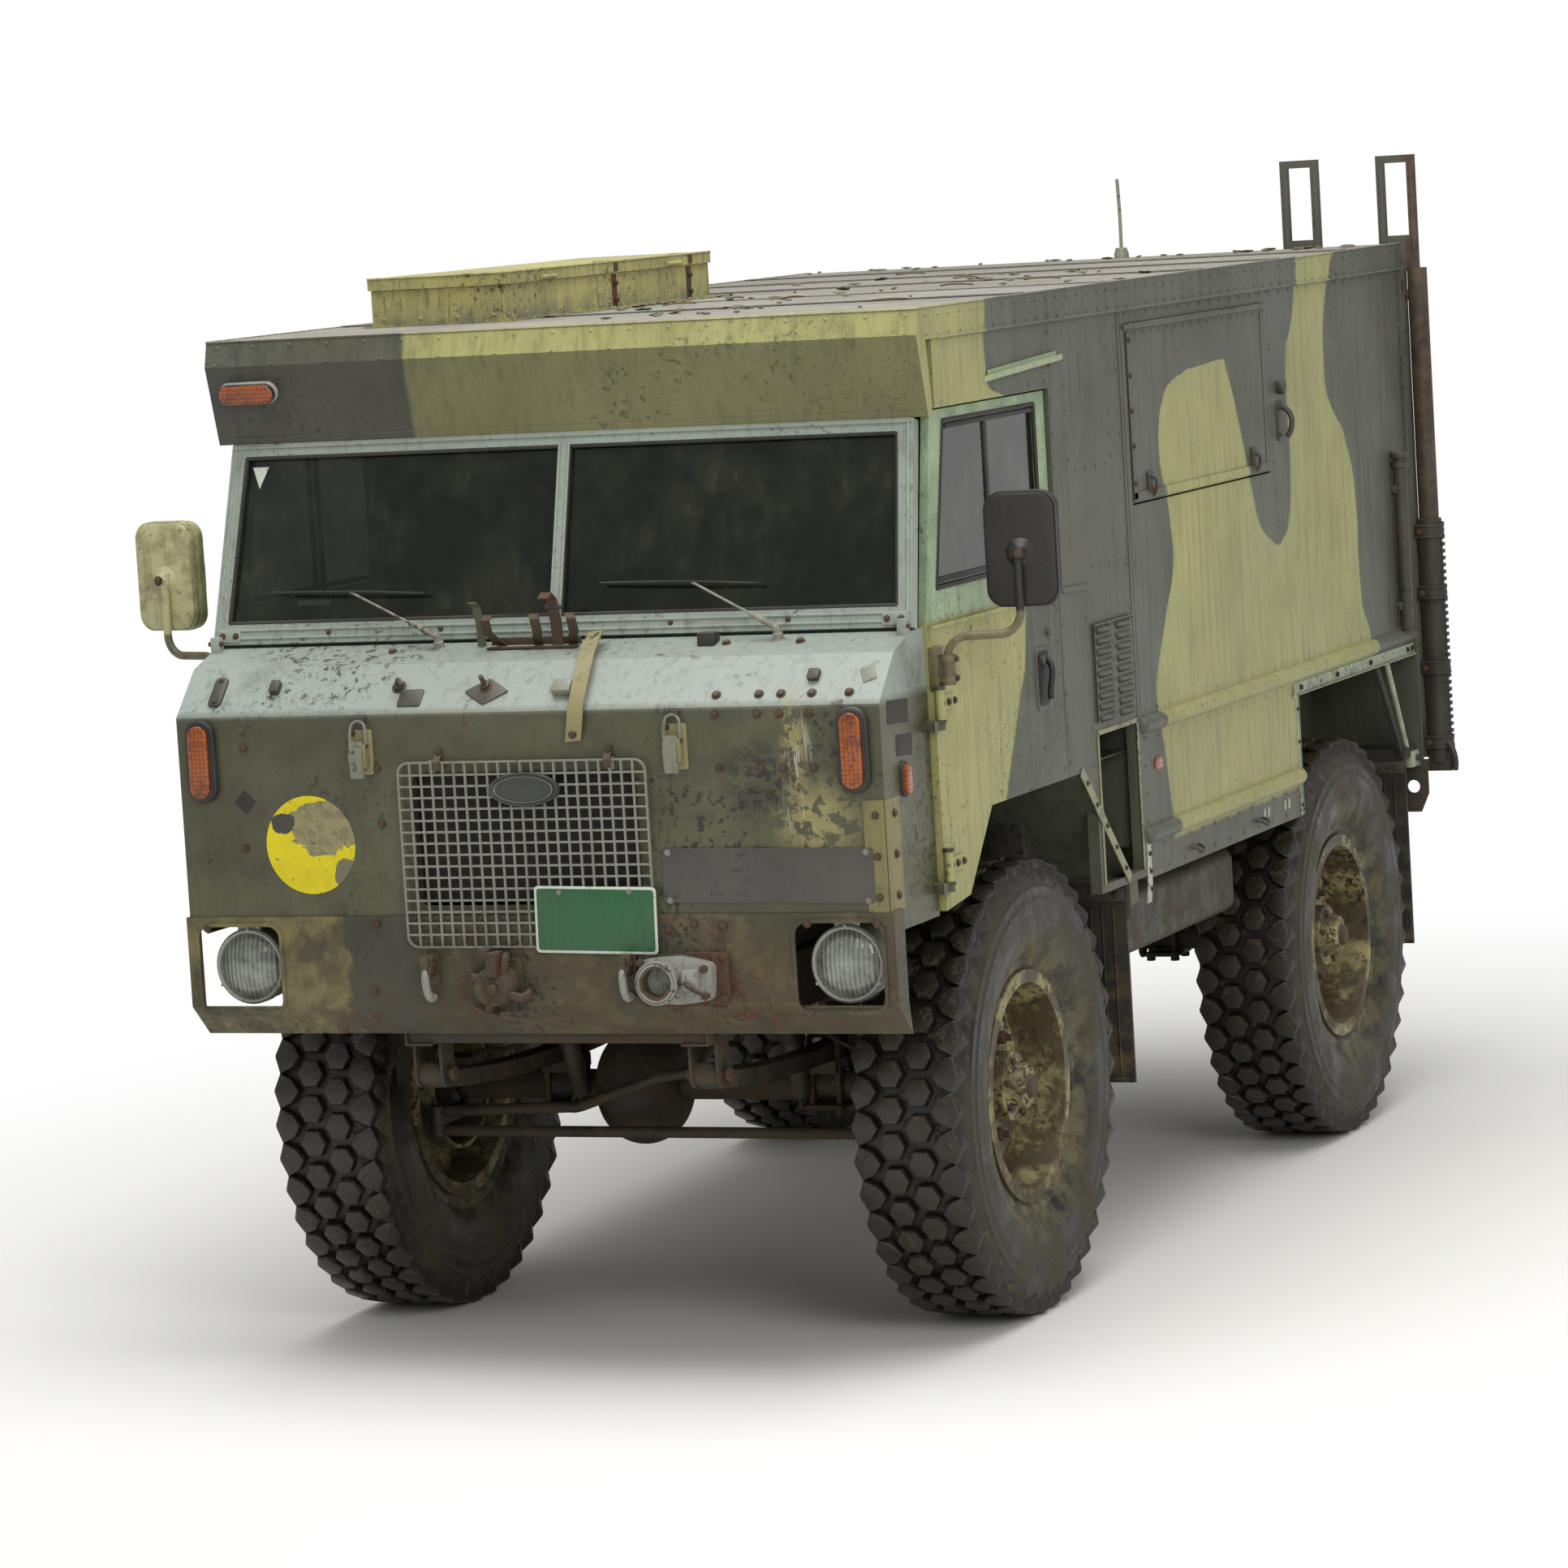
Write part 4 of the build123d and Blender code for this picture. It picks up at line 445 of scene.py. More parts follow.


# Inside, the cab is painted dark green on steel. The panes are toughened glass, tinted dark and
# partly opaque as painted shade for the dim cab behind them, and the dash and the wheel's rim are black
# plastic.
cab_paint = painted("dark_green_paint_inside_the_cab", "2e3126", rust=0.2, chips=0.3, mud=(0.9, 1.4))
dress(cab_paint, "cab_floor", "engine_cover")
window_glass, tree, shader, place = begin("window_glass", Roughness=0.03, IOR=1.52)
film = wear(tree, place, 0.2, 0.45, 0.8)
smear = wear(tree, place, 0.03, 0.5, 0.72, stretch=(1, 1, 5), shift=4.0)
across = add(tree, "SeparateXYZ", {0: place}).outputs[0]
# painted shade: the door panes are made more opaque, standing in for the shaded cab seen through them
beside = past(tree, add(tree, "Math", {0: across}, operation="ABSOLUTE"), 0.9, 0.01)
colour = laid(tree, rgb("141a12"), ("42452f", film, 0.5), ("5f614a", smear, film, 0.6))
cover = add(tree, "Math", {0: every(tree, film, 0.15), 1: every(tree, beside, 0.33)}, operation="ADD")
connect(shader, Base_Color=colour, Alpha=add(tree, "Math", {0: cover, 1: 0.55}, operation="ADD"))
dress(window_glass, "windscreen_glass", "door_glass_left", "door_glass_right")
black_plastic = painted("black_moulded_plastic", "1d1d1c", rust=0.0, chips=0.1, gloss=0.45, dents=0.0,
                        dust=0.2)
dress(black_plastic, "dashboard", "steering_wheel")


# The bumper is a folded steel channel in patchy olive and tan paint, rusty along its edges
# and bolts. On it sit a cast towing socket on a back plate, a claw clamp and two shackles.
def pour(bm, work, placing, index=0):
    """Moves a shape to its place, gives it one finish, and adds it to a piece."""
    for face in work.faces:
        face.material_index = index
    bmesh.ops.transform(work, matrix=placing, verts=work.verts)
    bmesh.ops.recalc_face_normals(work, faces=work.faces)
    carrier = bpy.data.meshes.new("carrier")
    work.to_mesh(carrier)
    work.free()
    bm.from_mesh(carrier)
    bpy.data.meshes.remove(carrier)


def raised(work, thick, edge=0.0, segments=2):
    """Raises a flat outline by its thickness and eases its upper edge."""
    grown = bmesh.ops.extrude_face_region(work, geom=work.faces[:])
    top = [v for v in grown["geom"] if isinstance(v, bmesh.types.BMVert)]
    bmesh.ops.translate(work, vec=(0, 0, thick), verts=top)
    if edge:
        rim = [e for e in work.edges if all(v in top for v in e.verts)]
        bmesh.ops.bevel(work, geom=rim, offset=edge, segments=segments, affect="EDGES", profile=0.5,
                        material=-1)


def plate(bm, corners, thick, placing, rounding=0.0, edge=0.0008, index=0):
    """A flat plate from its corners: they are rounded, it is raised by its thickness, and its
    upper edge is eased, before it is moved to its place."""
    work = bmesh.new()
    work.faces.new([work.verts.new((x, y, 0)) for x, y in corners])
    if rounding:
        bmesh.ops.bevel(work, geom=work.verts[:], offset=rounding, segments=5, affect="VERTICES",
                        profile=0.5, material=-1)
    raised(work, thick, edge)
    pour(bm, work, placing, index)


def box_corners(width, height):
    """The corners of a rectangle about its middle."""
    return [(-width / 2, -height / 2), (width / 2, -height / 2), (width / 2, height / 2),
            (-width / 2, height / 2)]


def panel(bm, width, height, thick, at, out, turn=0.0, **look):
    """A rectangular plate that lies on a point and faces out."""
    plate(bm, box_corners(width, height), thick, facing(at, out, turn), **look)


def turned(bm, profile, centre, normal, sides=24, index=0, flatten=(1, 1, 1)):
    """A turned piece: a profile of (radius, height) spun about the normal through its centre."""
    work = bmesh.new()
    line = [work.verts.new((r, 0, h)) for r, h in profile]
    edges = [work.edges.new(pair) for pair in zip(line, line[1:])]
    bmesh.ops.spin(work, geom=line + edges, axis=(0, 0, 1), cent=(0, 0, 0), angle=2 * pi, steps=sides,
                   use_merge=True, dvec=(0, 0, 0))
    bmesh.ops.remove_doubles(work, verts=work.verts, dist=0.00005)
    pour(bm, work, facing(centre, normal) @ Matrix.Diagonal((*flatten, 1)), index)


def ring(bm, centre, normal, radius, wire, sides=28, index=0, flatten=(1, 1, 1)):
    """A round ring of round wire."""
    around = [(radius + wire * cos(k * pi / 4), wire * sin(k * pi / 4)) for k in range(9)]
    turned(bm, around, centre, normal, sides, index, flatten)


def rod(bm, points, radius, index=0, sides=2, order=3):
    """A bent rod along points, rounded where they turn, or with sharp bends at order 2."""
    curve = bpy.data.curves.new("rod", "CURVE")
    curve.dimensions = "3D"
    curve.bevel_depth = radius
    curve.bevel_resolution = sides
    curve.use_fill_caps = True
    spline = curve.splines.new("NURBS")
    spline.points.add(len(points) - 1)
    for spot, point in zip(spline.points, points):
        spot.co = (*point, 1)
    spline.order_u = min(order, len(points))
    spline.use_endpoint_u = True
    spline.resolution_u = 5
    holder = bpy.data.objects.new("rod", curve)
    mesh = bpy.data.meshes.new_from_object(holder)
    work = bmesh.new()
    work.from_mesh(mesh)
    bmesh.ops.remove_doubles(work, verts=work.verts, dist=0.00002)
    bpy.data.objects.remove(holder)
    bpy.data.curves.remove(curve)
    bpy.data.meshes.remove(mesh)
    pour(bm, work, Matrix(), index)


def rod_frame(bm, corners, radius, index=0):
    """Straight rods from corner to corner, all the way round."""
    for one, two in zip(corners, corners[1:] + corners[:1]):
        rod(bm, [one, two], radius, index=index)


def strap(bm, points, across, thick, index=0):
    """A bent flat strip: the points run along its middle, and across is its width as a vector."""
    work = bmesh.new()
    half = Vector(across) / 2
    line = [work.verts.new(Vector(p) - half) for p in points]
    edges = [work.edges.new(pair) for pair in zip(line, line[1:])]
    drawn = bmesh.ops.extrude_edge_only(work, edges=edges)
    moved = [v for v in drawn["geom"] if isinstance(v, bmesh.types.BMVert)]
    bmesh.ops.translate(work, vec=half * 2, verts=moved)
    bmesh.ops.recalc_face_normals(work, faces=work.faces)
    bmesh.ops.solidify(work, geom=work.faces[:], thickness=thick)
    pour(bm, work, Matrix(), index)


bumper_face = -2.114
front = (0, -1, 0)


def bumper_coat(tree, place):
    """Olive brown with a tan-olive left end, and a grey patch beside it."""
    wobble = add(tree, "TexNoise", {"Vector": place, "Scale": 14.0, "Detail": 5.0})
    moved = add(tree, "MixRGB", {"Fac": 0.06, "Color1": place, "Color2": wobble.outputs[1]},
                blend_type="ADD")
    x = add(tree, "SeparateXYZ", {0: moved}).outputs[0]
    left_end = past(tree, -0.44, x, 0.03)
    grey = every(tree, past(tree, x, -0.46), past(tree, -0.27, x))
    mottle = wear(tree, place, 0.05, 0.45, 0.6, shift=17.0, detail=9)
    return laid(tree, rgb("443c28"), ("5a502e", mottle, 0.8),
                ("716a40", left_end, wear(tree, place, 0.12, 0.42, 0.55)), ("3c3a2e", grey),
                ("33321f", wear(tree, place, 0.2, 0.5, 0.6, shift=21.0), 0.7))


bumper_paint = painted("worn_paint_on_the_bumper", bumper_coat, rust=1.0, chips=1.0, dents=0.1,
                       mud=(0.6, 1.2))
dress(bumper_paint, "bumper")
cast_alloy = painted("pale_cast_alloy", "90908a", rust=0.3, chips=0.8, gloss=0.42, dents=0.02)
rust_dark = painted("dark_rusty_forging", "33251c", rust=1.4, gloss=0.6, dents=0.02)
bumper_bolts = ((-0.405, 1.097), (-0.421, 0.937), (0.353, 1.08), (0.416, 1.092), (0.49, 1.088), (0.7, 1.092),
                (-0.86, 1.09), (0.875, 1.09), (-0.25, 1.094), (0.12, 1.09))
bm = bmesh.new()
for x, z in bumper_bolts:
    disc(bm, (x, bumper_face, z), front, 0.011, 0.002)
    disc(bm, (x, bumper_face - 0.002, z), front, 0.0085, 0.006, sides=6, edge=0.001)
panel(bm, 0.115, 0.12, 0.004, (0.445, bumper_face - 0.01, 0.968), front, rounding=0.01)
for x, z in ((0.4, 1.015), (0.49, 1.015), (0.49, 0.92)):
    disc(bm, (x, bumper_face - 0.014, z), front, 0.009, 0.007, sides=6, edge=0.001)
# claw clamp: a boss with a ring of claws, a cross pin, and two bent ears
hub = Vector((-0.082, bumper_face - 0.01, 0.95))
turned(bm, [(0, 0.052), (0.018, 0.052), (0.022, 0.046), (0.032, 0.044), (0.045, 0.03), (0.05, 0.0)], hub,
       front, index=1)
disc(bm, hub + Vector((0, -0.052, 0)), front, 0.013, 0.012, sides=6, edge=0.002)
for number in range(4):
    turn = Matrix.Rotation(number * pi / 2 + 0.5, 3, "Y")
    claw = [hub + turn @ Vector(p) for p in ((0.028, -0.03, 0), (0.06, -0.036, 0.004), (0.074, -0.02, 0.014),
                                             (0.07, -0.002, 0.02))]
    rod(bm, claw, 0.011, index=1)
rod(bm, [hub + Vector(p) for p in ((-0.075, -0.02, -0.05), (-0.02, -0.05, -0.072), (0.05, -0.03, -0.08))],
    0.009, index=1)
block(bm, hub + Vector((-0.014, -0.06, 0.028)), hub + Vector((0.014, -0.01, 0.085)), edge=0.004, index=1)
block(bm, hub + Vector((-0.05, -0.03, 0.06)), hub + Vector((-0.02, 0.0, 0.09)), edge=0.004)
# shackles: a pin through two lugs, with a bent link hanging from it
for x in (-0.264, 0.246):
    for side in (-1, 1):
        panel(bm, 0.03, 0.04, 0.005, (x + side * 0.011 - 0.0025, bumper_face - 0.022, 1.0), (1, 0, 0),
              rounding=0.012)
    disc(bm, (x - 0.019, bumper_face - 0.026, 1.002), (1, 0, 0), 0.0065, 0.038, sides=12, index=1)
    rod(bm, [(x, bumper_face - 0.024, 1.006), (x, bumper_face - 0.05, 0.99), (x, bumper_face - 0.046, 0.945),
             (x, bumper_face - 0.022, 0.915), (x, bumper_face - 0.004, 0.925)], 0.0095, index=2)
# towing socket: a cast body with two bolted ears and a flared mouth
socket = Vector((0.342, bumper_face, 0.964))
plate(bm, [(-0.055, -0.05), (0.045, -0.056), (0.125, -0.045), (0.13, 0.04), (0.05, 0.058), (-0.05, 0.05)],
      0.034, facing(socket + Vector((0, -0.01, 0)), front), rounding=0.014, edge=0.004, index=2)
turned(bm, [(0.0345, 0.0), (0.0345, 0.066), (0.043, 0.069), (0.052, 0.066), (0.053, 0.058), (0.049, 0.05),
            (0.049, 0.0)], socket + Vector((0, -0.01, 0)), front, sides=36, index=2)
for x, z in ((-0.048, 0.044), (-0.048, -0.044), (0.112, 0.03), (0.112, -0.034), (0.085, 0.0)):
    disc(bm, socket + Vector((x, -0.044, z)), front, 0.0105, 0.009, sides=6, edge=0.0015)
block(bm, socket + Vector((0.06, -0.066, -0.02)), socket + Vector((0.1, -0.04, 0.03)), edge=0.006, index=2)
rod(bm, [socket + Vector(p) for p in ((0.07, -0.07, 0.0), (0.1, -0.085, -0.02), (0.135, -0.07, -0.03))],
    0.006, index=1)
close(bm, "bumper_fittings", [rust_steel, rust_dark, cast_alloy])

# rolled lips round the two lamp openings
bm = bmesh.new()
lip_width, lip_height = 0.234, 0.224
for side in (-1, 1):
    lip = bmesh.new()
    lip.faces.new([lip.verts.new((x, y, 0)) for x, y in box_corners(lip_width, lip_height)])
    bmesh.ops.bevel(lip, geom=lip.verts[:], offset=0.038, segments=6, affect="VERTICES", profile=0.5,
                    material=-1)
    inner = bmesh.ops.inset_region(lip, faces=lip.faces[:], thickness=0.009, use_boundary=True,
                                   use_even_offset=True)
    bmesh.ops.delete(lip, geom=[f for f in lip.faces if f not in inner["faces"]], context="FACES")
    raised(lip, 0.004)
    pour(bm, lip, facing((side * 0.776, bumper_face, 0.99), front))
close(bm, "lamp_opening_lips", bumper_paint)


# Headlamps are seven inch sealed units: pressed glass with upright ribs over a silvered
# bowl, in a steel rim. The marker lamps are amber acrylic with a honeycomb inside.
lens, tree, shader, place = begin("ribbed_lamp_glass", Roughness=0.12, IOR=1.5, Coat_Weight=1.0,
                                  Coat_Roughness=0.04)
ribs = add(tree, "TexWave", {"Vector": place, "Scale": 26.0}, bands_direction="X", wave_profile="SIN")
cross = add(tree, "TexWave", {"Vector": place, "Scale": 9.0}, bands_direction="Z", wave_profile="SIN")
# painted highlight: pale bands along the ribs stand in for the glints of the pressed glass
colour = laid(tree, rgb("7c8174"), ("454a3e", wear(tree, place, 0.06, 0.4, 0.6, shift=3.0), 0.85),
              ("b9bdb0", ribs, 0.3), ("3b3b2f", wear(tree, place, 0.02, 0.58, 0.66, shift=8.0), 0.6))
form = add(tree, "Math", {0: ribs, 1: every(tree, cross, 0.4)}, operation="ADD")
bump = add(tree, "Bump", {"Height": form, "Strength": 0.7, "Distance": 0.002})
connect(shader, Base_Color=colour, Normal=bump)
chrome = painted("dull_chrome_rim", "a3a39b", gloss=0.3, dents=0.0)


def lamp_coat(tree, place):
    """Silvery round the headlamps, and black rubber on the marker lamps above them."""
    height = add(tree, "SeparateXYZ", {0: place}).outputs[2]
    return laid(tree, rgb("a3a39b"), ("1f1e1c", past(tree, height, 1.2)))


dress(painted("lamp_bowls_and_bezels", lamp_coat, gloss=0.35, dents=0.0), "lamps")
black_rubber = painted("black_rubber", "1f1e1c", rust=0.0, chips=0.0, gloss=0.6, dents=0.0, dust=0.25)
amber, tree, shader, place = begin("amber_acrylic", Roughness=0.22, IOR=1.49, Coat_Weight=0.3,
                                   Coat_Roughness=0.08)
cells = add(tree, "TexVoronoi", {"Vector": place, "Scale": 95.0, "Randomness": 0.15},
            feature="DISTANCE_TO_EDGE")
walls = add(tree, "MapRange", {"Value": cells, "From Min": 0.02, "From Max": 0.1})
colour = laid(tree, rgb("5c2203"), ("a04e04", walls), ("431b04", wear(tree, place, 0.04, 0.5, 0.65), 0.6))
bump = add(tree, "Bump", {"Height": walls, "Strength": 0.6, "Distance": 0.002})
connect(shader, Base_Color=colour, Normal=bump)
lens_face = bumper_face + 0.052
bm = bmesh.new()
for side in (-1, 1):
    centre = Vector((side * 0.776, lens_face, 0.99))
    turned(bm, [(0, 0.024), (0.03, 0.022), (0.058, 0.016), (0.076, 0.007), (0.083, 0.0)], centre, front,
           sides=40)
    turned(bm, [(0.08, 0.0), (0.082, 0.008), (0.087, 0.009), (0.092, 0.004), (0.092, -0.02), (0.088, -0.03)],
           centre, front, sides=40, index=1)
    for number in range(3):
        angle = number * 2 * pi / 3 + pi / 2
        disc(bm, centre + Vector((0.0895 * cos(angle), -0.002, 0.0895 * sin(angle))), front, 0.004, 0.009,
             sides=8, index=1)
close(bm, "headlamp_glasses", [lens, chrome])


def slot_shape(bm, centre, normal, width, height, thick, edge, index, turn=0.0):
    """A raised piece with round ends, such as a lamp's lens or bezel."""
    work = bmesh.new()
    bmesh.ops.create_circle(work, cap_ends=True, segments=28, radius=width / 2)
    for v in work.verts:
        v.co.y += (height - width) / 2 if v.co.y > 0 else (width - height) / 2
    raised(work, thick, edge, segments=3)
    pour(bm, work, facing(centre, normal, turn), index)


nose_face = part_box("nose_panel")[0][1]
bm = bmesh.new()
for side in (-1, 1):
    centre = Vector((side * 0.842, nose_face - 0.022, 1.492))
    slot_shape(bm, centre + Vector((0, 0.02, 0)), front, 0.078, 0.2, 0.017, 0.006, 0)
    slot_shape(bm, centre, front, 0.052, 0.176, 0.009, 0.004, 1)
centre = Vector((-0.82, -1.7819, 2.3565))
slope = Vector((0, -0.9665, -0.2567))
slot_shape(bm, centre, slope, 0.056, 0.156, 0.012, 0.003, 2, turn=pi / 2)
slot_shape(bm, centre + slope * 0.012, slope, 0.05, 0.148, 0.016, 0.007, 1, turn=pi / 2)
centre = Vector((0.909, -1.985, 1.409))
slot_shape(bm, centre, (1, 0, 0), 0.046, 0.084, 0.006, 0.002, 0)
slot_shape(bm, centre + Vector((0.006, 0, 0)), (1, 0, 0), 0.036, 0.07, 0.01, 0.004, 1)
close(bm, "marker_lenses", [black_rubber, amber, chrome])


# The nose is a folded steel panel in chipped grey-green, with the fittings that years of
# service left on it: bolts, catches, brackets, a bent strap and a peeling yellow disc.
def near(tree, place, centre, radius):
    """1 at a spot and falling to 0 at a radius round it."""
    shift = add(tree, "Mapping", {"Vector": place, "Location": [-c / r for c, r in zip(centre, radius)],
                                  "Scale": [1 / r for r in radius]})
    span = add(tree, "VectorMath", {0: shift}, operation="LENGTH").outputs["Value"]
    return add(tree, "MapRange", {"Value": span, "From Min": 1.0, "From Max": 0.3})


def nose_coat(tree, place):
    """Dark grey-green with a painted pale sky reflection on the slope, and tan under it on the right."""
    height = add(tree, "SeparateXYZ", {0: place}).outputs[2]
    # painted reflection: above the fold the slope is laid pale blue-grey for the sky it reflects
    slope_sky_reflection = past(tree, height, 1.6, 0.012)
    chips = wear(tree, place, 0.03, 0.47, 0.5, shift=12.0, detail=10)
    tan_spot = near(tree, place, (0.74, -2.1, 1.33), (0.13, 1.0, 0.12))
    tan_edge = near(tree, place, (0.69, -2.1, 1.5), (0.04, 1.0, 0.16))
    stain = near(tree, place, (0.61, -2.1, 1.43), (0.13, 1.0, 0.12))
    blots = wear(tree, place, 0.025, 0.48, 0.52, shift=15.0, detail=8)
    runs = wear(tree, place, 0.01, 0.56, 0.62, stretch=(1, 1, 16), detail=3)
    run_zone = near(tree, place, (0.7, -2.1, 1.42), (0.05, 1.0, 0.22))
    return laid(tree, rgb("46452f"), ("57573c", wear(tree, place, 0.3, 0.4, 0.65, shift=4.0), 0.7),
                ("3a392a", wear(tree, place, 0.12, 0.5, 0.6, shift=9.0), 0.5),
                ("949f97", slope_sky_reflection, wear(tree, place, 0.3, 0.2, 0.42, shift=5.0), 0.9),
                ("8f8757", chips, tan_spot), ("8f8757", chips, tan_edge), ("211e1a", blots, stain, 0.95),
                ("c2bfae", runs, run_zone, 0.8))


nose_paint = painted("grey_green_paint_on_the_nose", nose_coat, rust=0.55, chips=0.9, gloss=0.4, dents=0.14,
                     dust=0.25)
dress(nose_paint, "nose_panel")
fold_z, slope_top_y, slope_top_z = 1.597, -2.001, 1.705
rise = Vector((0, slope_top_y - nose_face, slope_top_z - fold_z)).normalized()
slope_out = Vector((0, -rise.z, rise.y))
scuttle_rise = Vector((0, 0.115, 0.037)).normalized()
scuttle_out = Vector((0, -scuttle_rise.z, scuttle_rise.y))


def on_slope(x, z):
    """The point of the sloped panel at that side place and height."""
    return Vector((x, nose_face + (z - fold_z) * rise.y / rise.z, z))


def on_scuttle(x, y):
    """The point of the strip under the screen at that side place and distance back."""
    return Vector((x, y, slope_top_z + (y - slope_top_y) * 0.037 / 0.115))


def bolt(bm, at, out, size=0.0085, index=0):
    """A hexagon bolt head on its washer."""
    at = Vector(at)
    disc(bm, at, out, size * 1.35, 0.0018, sides=14, index=index)
    disc(bm, at + Vector(out) * 0.0018, out, size, size * 0.7, sides=6, edge=size * 0.12, index=index)


bm = bmesh.new()
for x, z in ((0.499, 1.58), (0.605, 1.579), (0.66, 1.578), (0.734, 1.577), (0.503, 1.456), (0.607, 1.454),
             (0.662, 1.453), (0.738, 1.452), (-0.376, 1.336), (-0.379, 1.468), (-0.731, 1.523),
             (-0.744, 1.282)):
    bolt(bm, (x, nose_face, z), front, 0.008)
for x in (0.495, 0.602, 0.657, 0.734, 0.827):
    bolt(bm, on_slope(x, 1.622), slope_out, 0.009)
for x in (-0.406, 0.462, 0.649):
    bolt(bm, on_scuttle(x, -1.93), scuttle_out, 0.009)
# slope fittings: an oblong plate, a small bracket, studs on plates, a block, and a clip
panel(bm, 0.034, 0.088, 0.007, on_slope(-0.816, 1.651), slope_out, rounding=0.012, edge=0.002, index=1)
for z in (1.628, 1.674):
    bolt(bm, on_slope(-0.816, z) + slope_out * 0.007, slope_out, 0.005)
panel(bm, 0.024, 0.034, 0.016, on_slope(-0.663, 1.656), slope_out, rounding=0.004, index=1)
panel(bm, 0.06, 0.05, 0.004, on_slope(-0.295, 1.63), slope_out, rounding=0.004, index=1)
bolt(bm, on_slope(-0.335, 1.655), slope_out, 0.014, index=1)
rod(bm, [on_slope(-0.335, 1.655) + slope_out * 0.012, on_slope(-0.335, 1.665) + slope_out * 0.03,
         on_slope(-0.31, 1.64) + slope_out * 0.032], 0.006, index=1)
plate(bm, [(-0.058, 0), (0, -0.04), (0.058, 0), (0, 0.04)], 0.004, facing(on_slope(-0.1, 1.64), slope_out),
      rounding=0.006, index=1)
bolt(bm, on_slope(-0.105, 1.65) + slope_out * 0.004, slope_out, 0.013)
disc(bm, on_slope(-0.105, 1.65) + slope_out * 0.012, slope_out, 0.006, 0.03, sides=10)
block(bm, (-0.024, -0.018, 0), (0.024, 0.018, 0.022), edge=0.003, index=2,
      turn=facing(on_slope(0.1, 1.64), slope_out))
panel(bm, 0.028, 0.03, 0.012, on_slope(0.728, 1.658), slope_out, rounding=0.004, index=1)
panel(bm, 0.034, 0.044, 0.003, on_slope(0.862, 1.66), slope_out, 0.4, rounding=0.003, index=2)
# the bent strap that comes down from the scuttle over the fold
strap(bm, [(0.125, -1.915, 1.765), (0.13, -1.94, 1.764), (0.138, -2.01, 1.722), (0.146, -2.075, 1.66),
           (0.15, nose_face - 0.012, 1.604), (0.146, nose_face - 0.016, 1.56),
           (0.138, nose_face - 0.01, 1.525)], (0.04, 0, 0.004), 0.004, index=3)
bolt(bm, (0.14, nose_face - 0.012, 1.542), front, 0.008)
# scuttle fittings: a rusty angle bar with hooks, a leaf bracket, and a rubber block
block(bm, (-0.155, -1.938, 1.728), (0.08, -1.905, 1.733), edge=0.001)
block(bm, (-0.155, -1.908, 1.728), (0.08, -1.904, 1.752), edge=0.001)
for x, lean in ((-0.125, -0.02), (-0.03, 0.015), (0.06, 0.02)):
    strap(bm, [(x, -1.91, 1.735), (x + lean * 0.4, -1.93, 1.748), (x + lean, -1.948, 1.768),
               (x + lean, -1.962, 1.8), (x + lean * 0.6, -1.95, 1.812)], (0.024, 0, 0), 0.004)
strap(bm, [(0.026, -1.92, 1.735), (0.026, -1.925, 1.79), (0.022, -1.935, 1.845), (0.018, -1.955, 1.862),
           (0.016, -1.972, 1.85)], (0.028, 0, 0), 0.004)
disc(bm, (0.004, -1.932, 1.825), (1, 0, 0), 0.006, 0.044, sides=10, index=1)
strap(bm, [(-0.175, -1.915, 1.735), (-0.176, -1.918, 1.79), (-0.182, -1.922, 1.83), (-0.186, -1.936, 1.842)],
      (0.022, 0, 0), 0.003, index=4)
block(bm, (0.392, -1.945, 1.722), (0.437, -1.905, 1.756), edge=0.005, index=5)
# over-centre catches: base, lever and wire loop
for x in (-0.418, 0.394):
    panel(bm, 0.062, 0.108, 0.005, (x, nose_face, 1.508), front, rounding=0.006, index=3)
    block(bm, (x - 0.022, nose_face - 0.028, 1.47), (x + 0.022, nose_face - 0.005, 1.528), edge=0.005,
          index=3)
    for z in (1.462, 1.554):
        bolt(bm, (x - 0.018, nose_face - 0.005, z), front, 0.006)
    disc(bm, (x - 0.026, nose_face - 0.018, 1.524), (1, 0, 0), 0.005, 0.052, sides=10)
    strap(bm, [(x, nose_face - 0.028, 1.536), (x, nose_face - 0.038, 1.5), (x, nose_face - 0.03, 1.448)],
          (0.034, 0, 0), 0.004, index=2)
    for side in (-1, 1):
        rod(bm, [(x + side * 0.02, nose_face - 0.018, 1.524), (x + side * 0.021, nose_face - 0.014, 1.566),
                 (x + side * 0.012, nose_face - 0.01, 1.582), (x, nose_face - 0.01, 1.584)], 0.0034, index=2)
    panel(bm, 0.034, 0.018, 0.012, (x, nose_face, 1.584), front, rounding=0.003, index=1)
# the bent handle on two feet
strap(bm, [(0.546, nose_face - 0.003, 1.372), (0.552, nose_face - 0.004, 1.384),
           (0.56, nose_face - 0.024, 1.388), (0.625, nose_face - 0.024, 1.39),
           (0.633, nose_face - 0.004, 1.386), (0.64, nose_face - 0.003, 1.374)], (0, 0, 0.016), 0.003,
      index=1)
# a black tape diamond, and tape patches on the side return
plate(bm, [(-0.029, 0), (0, -0.03), (0.029, 0), (0, 0.03)], 0.0012,
      facing((-0.736, nose_face, 1.393), front), index=5)
panel(bm, 0.13, 0.055, 0.0012, (0.908, -2.0, 1.567), (1, 0, 0), -0.06, index=5)
panel(bm, 0.1, 0.05, 0.0012, (0.908, -1.97, 1.487), (1, 0, 0), -0.06, index=5)
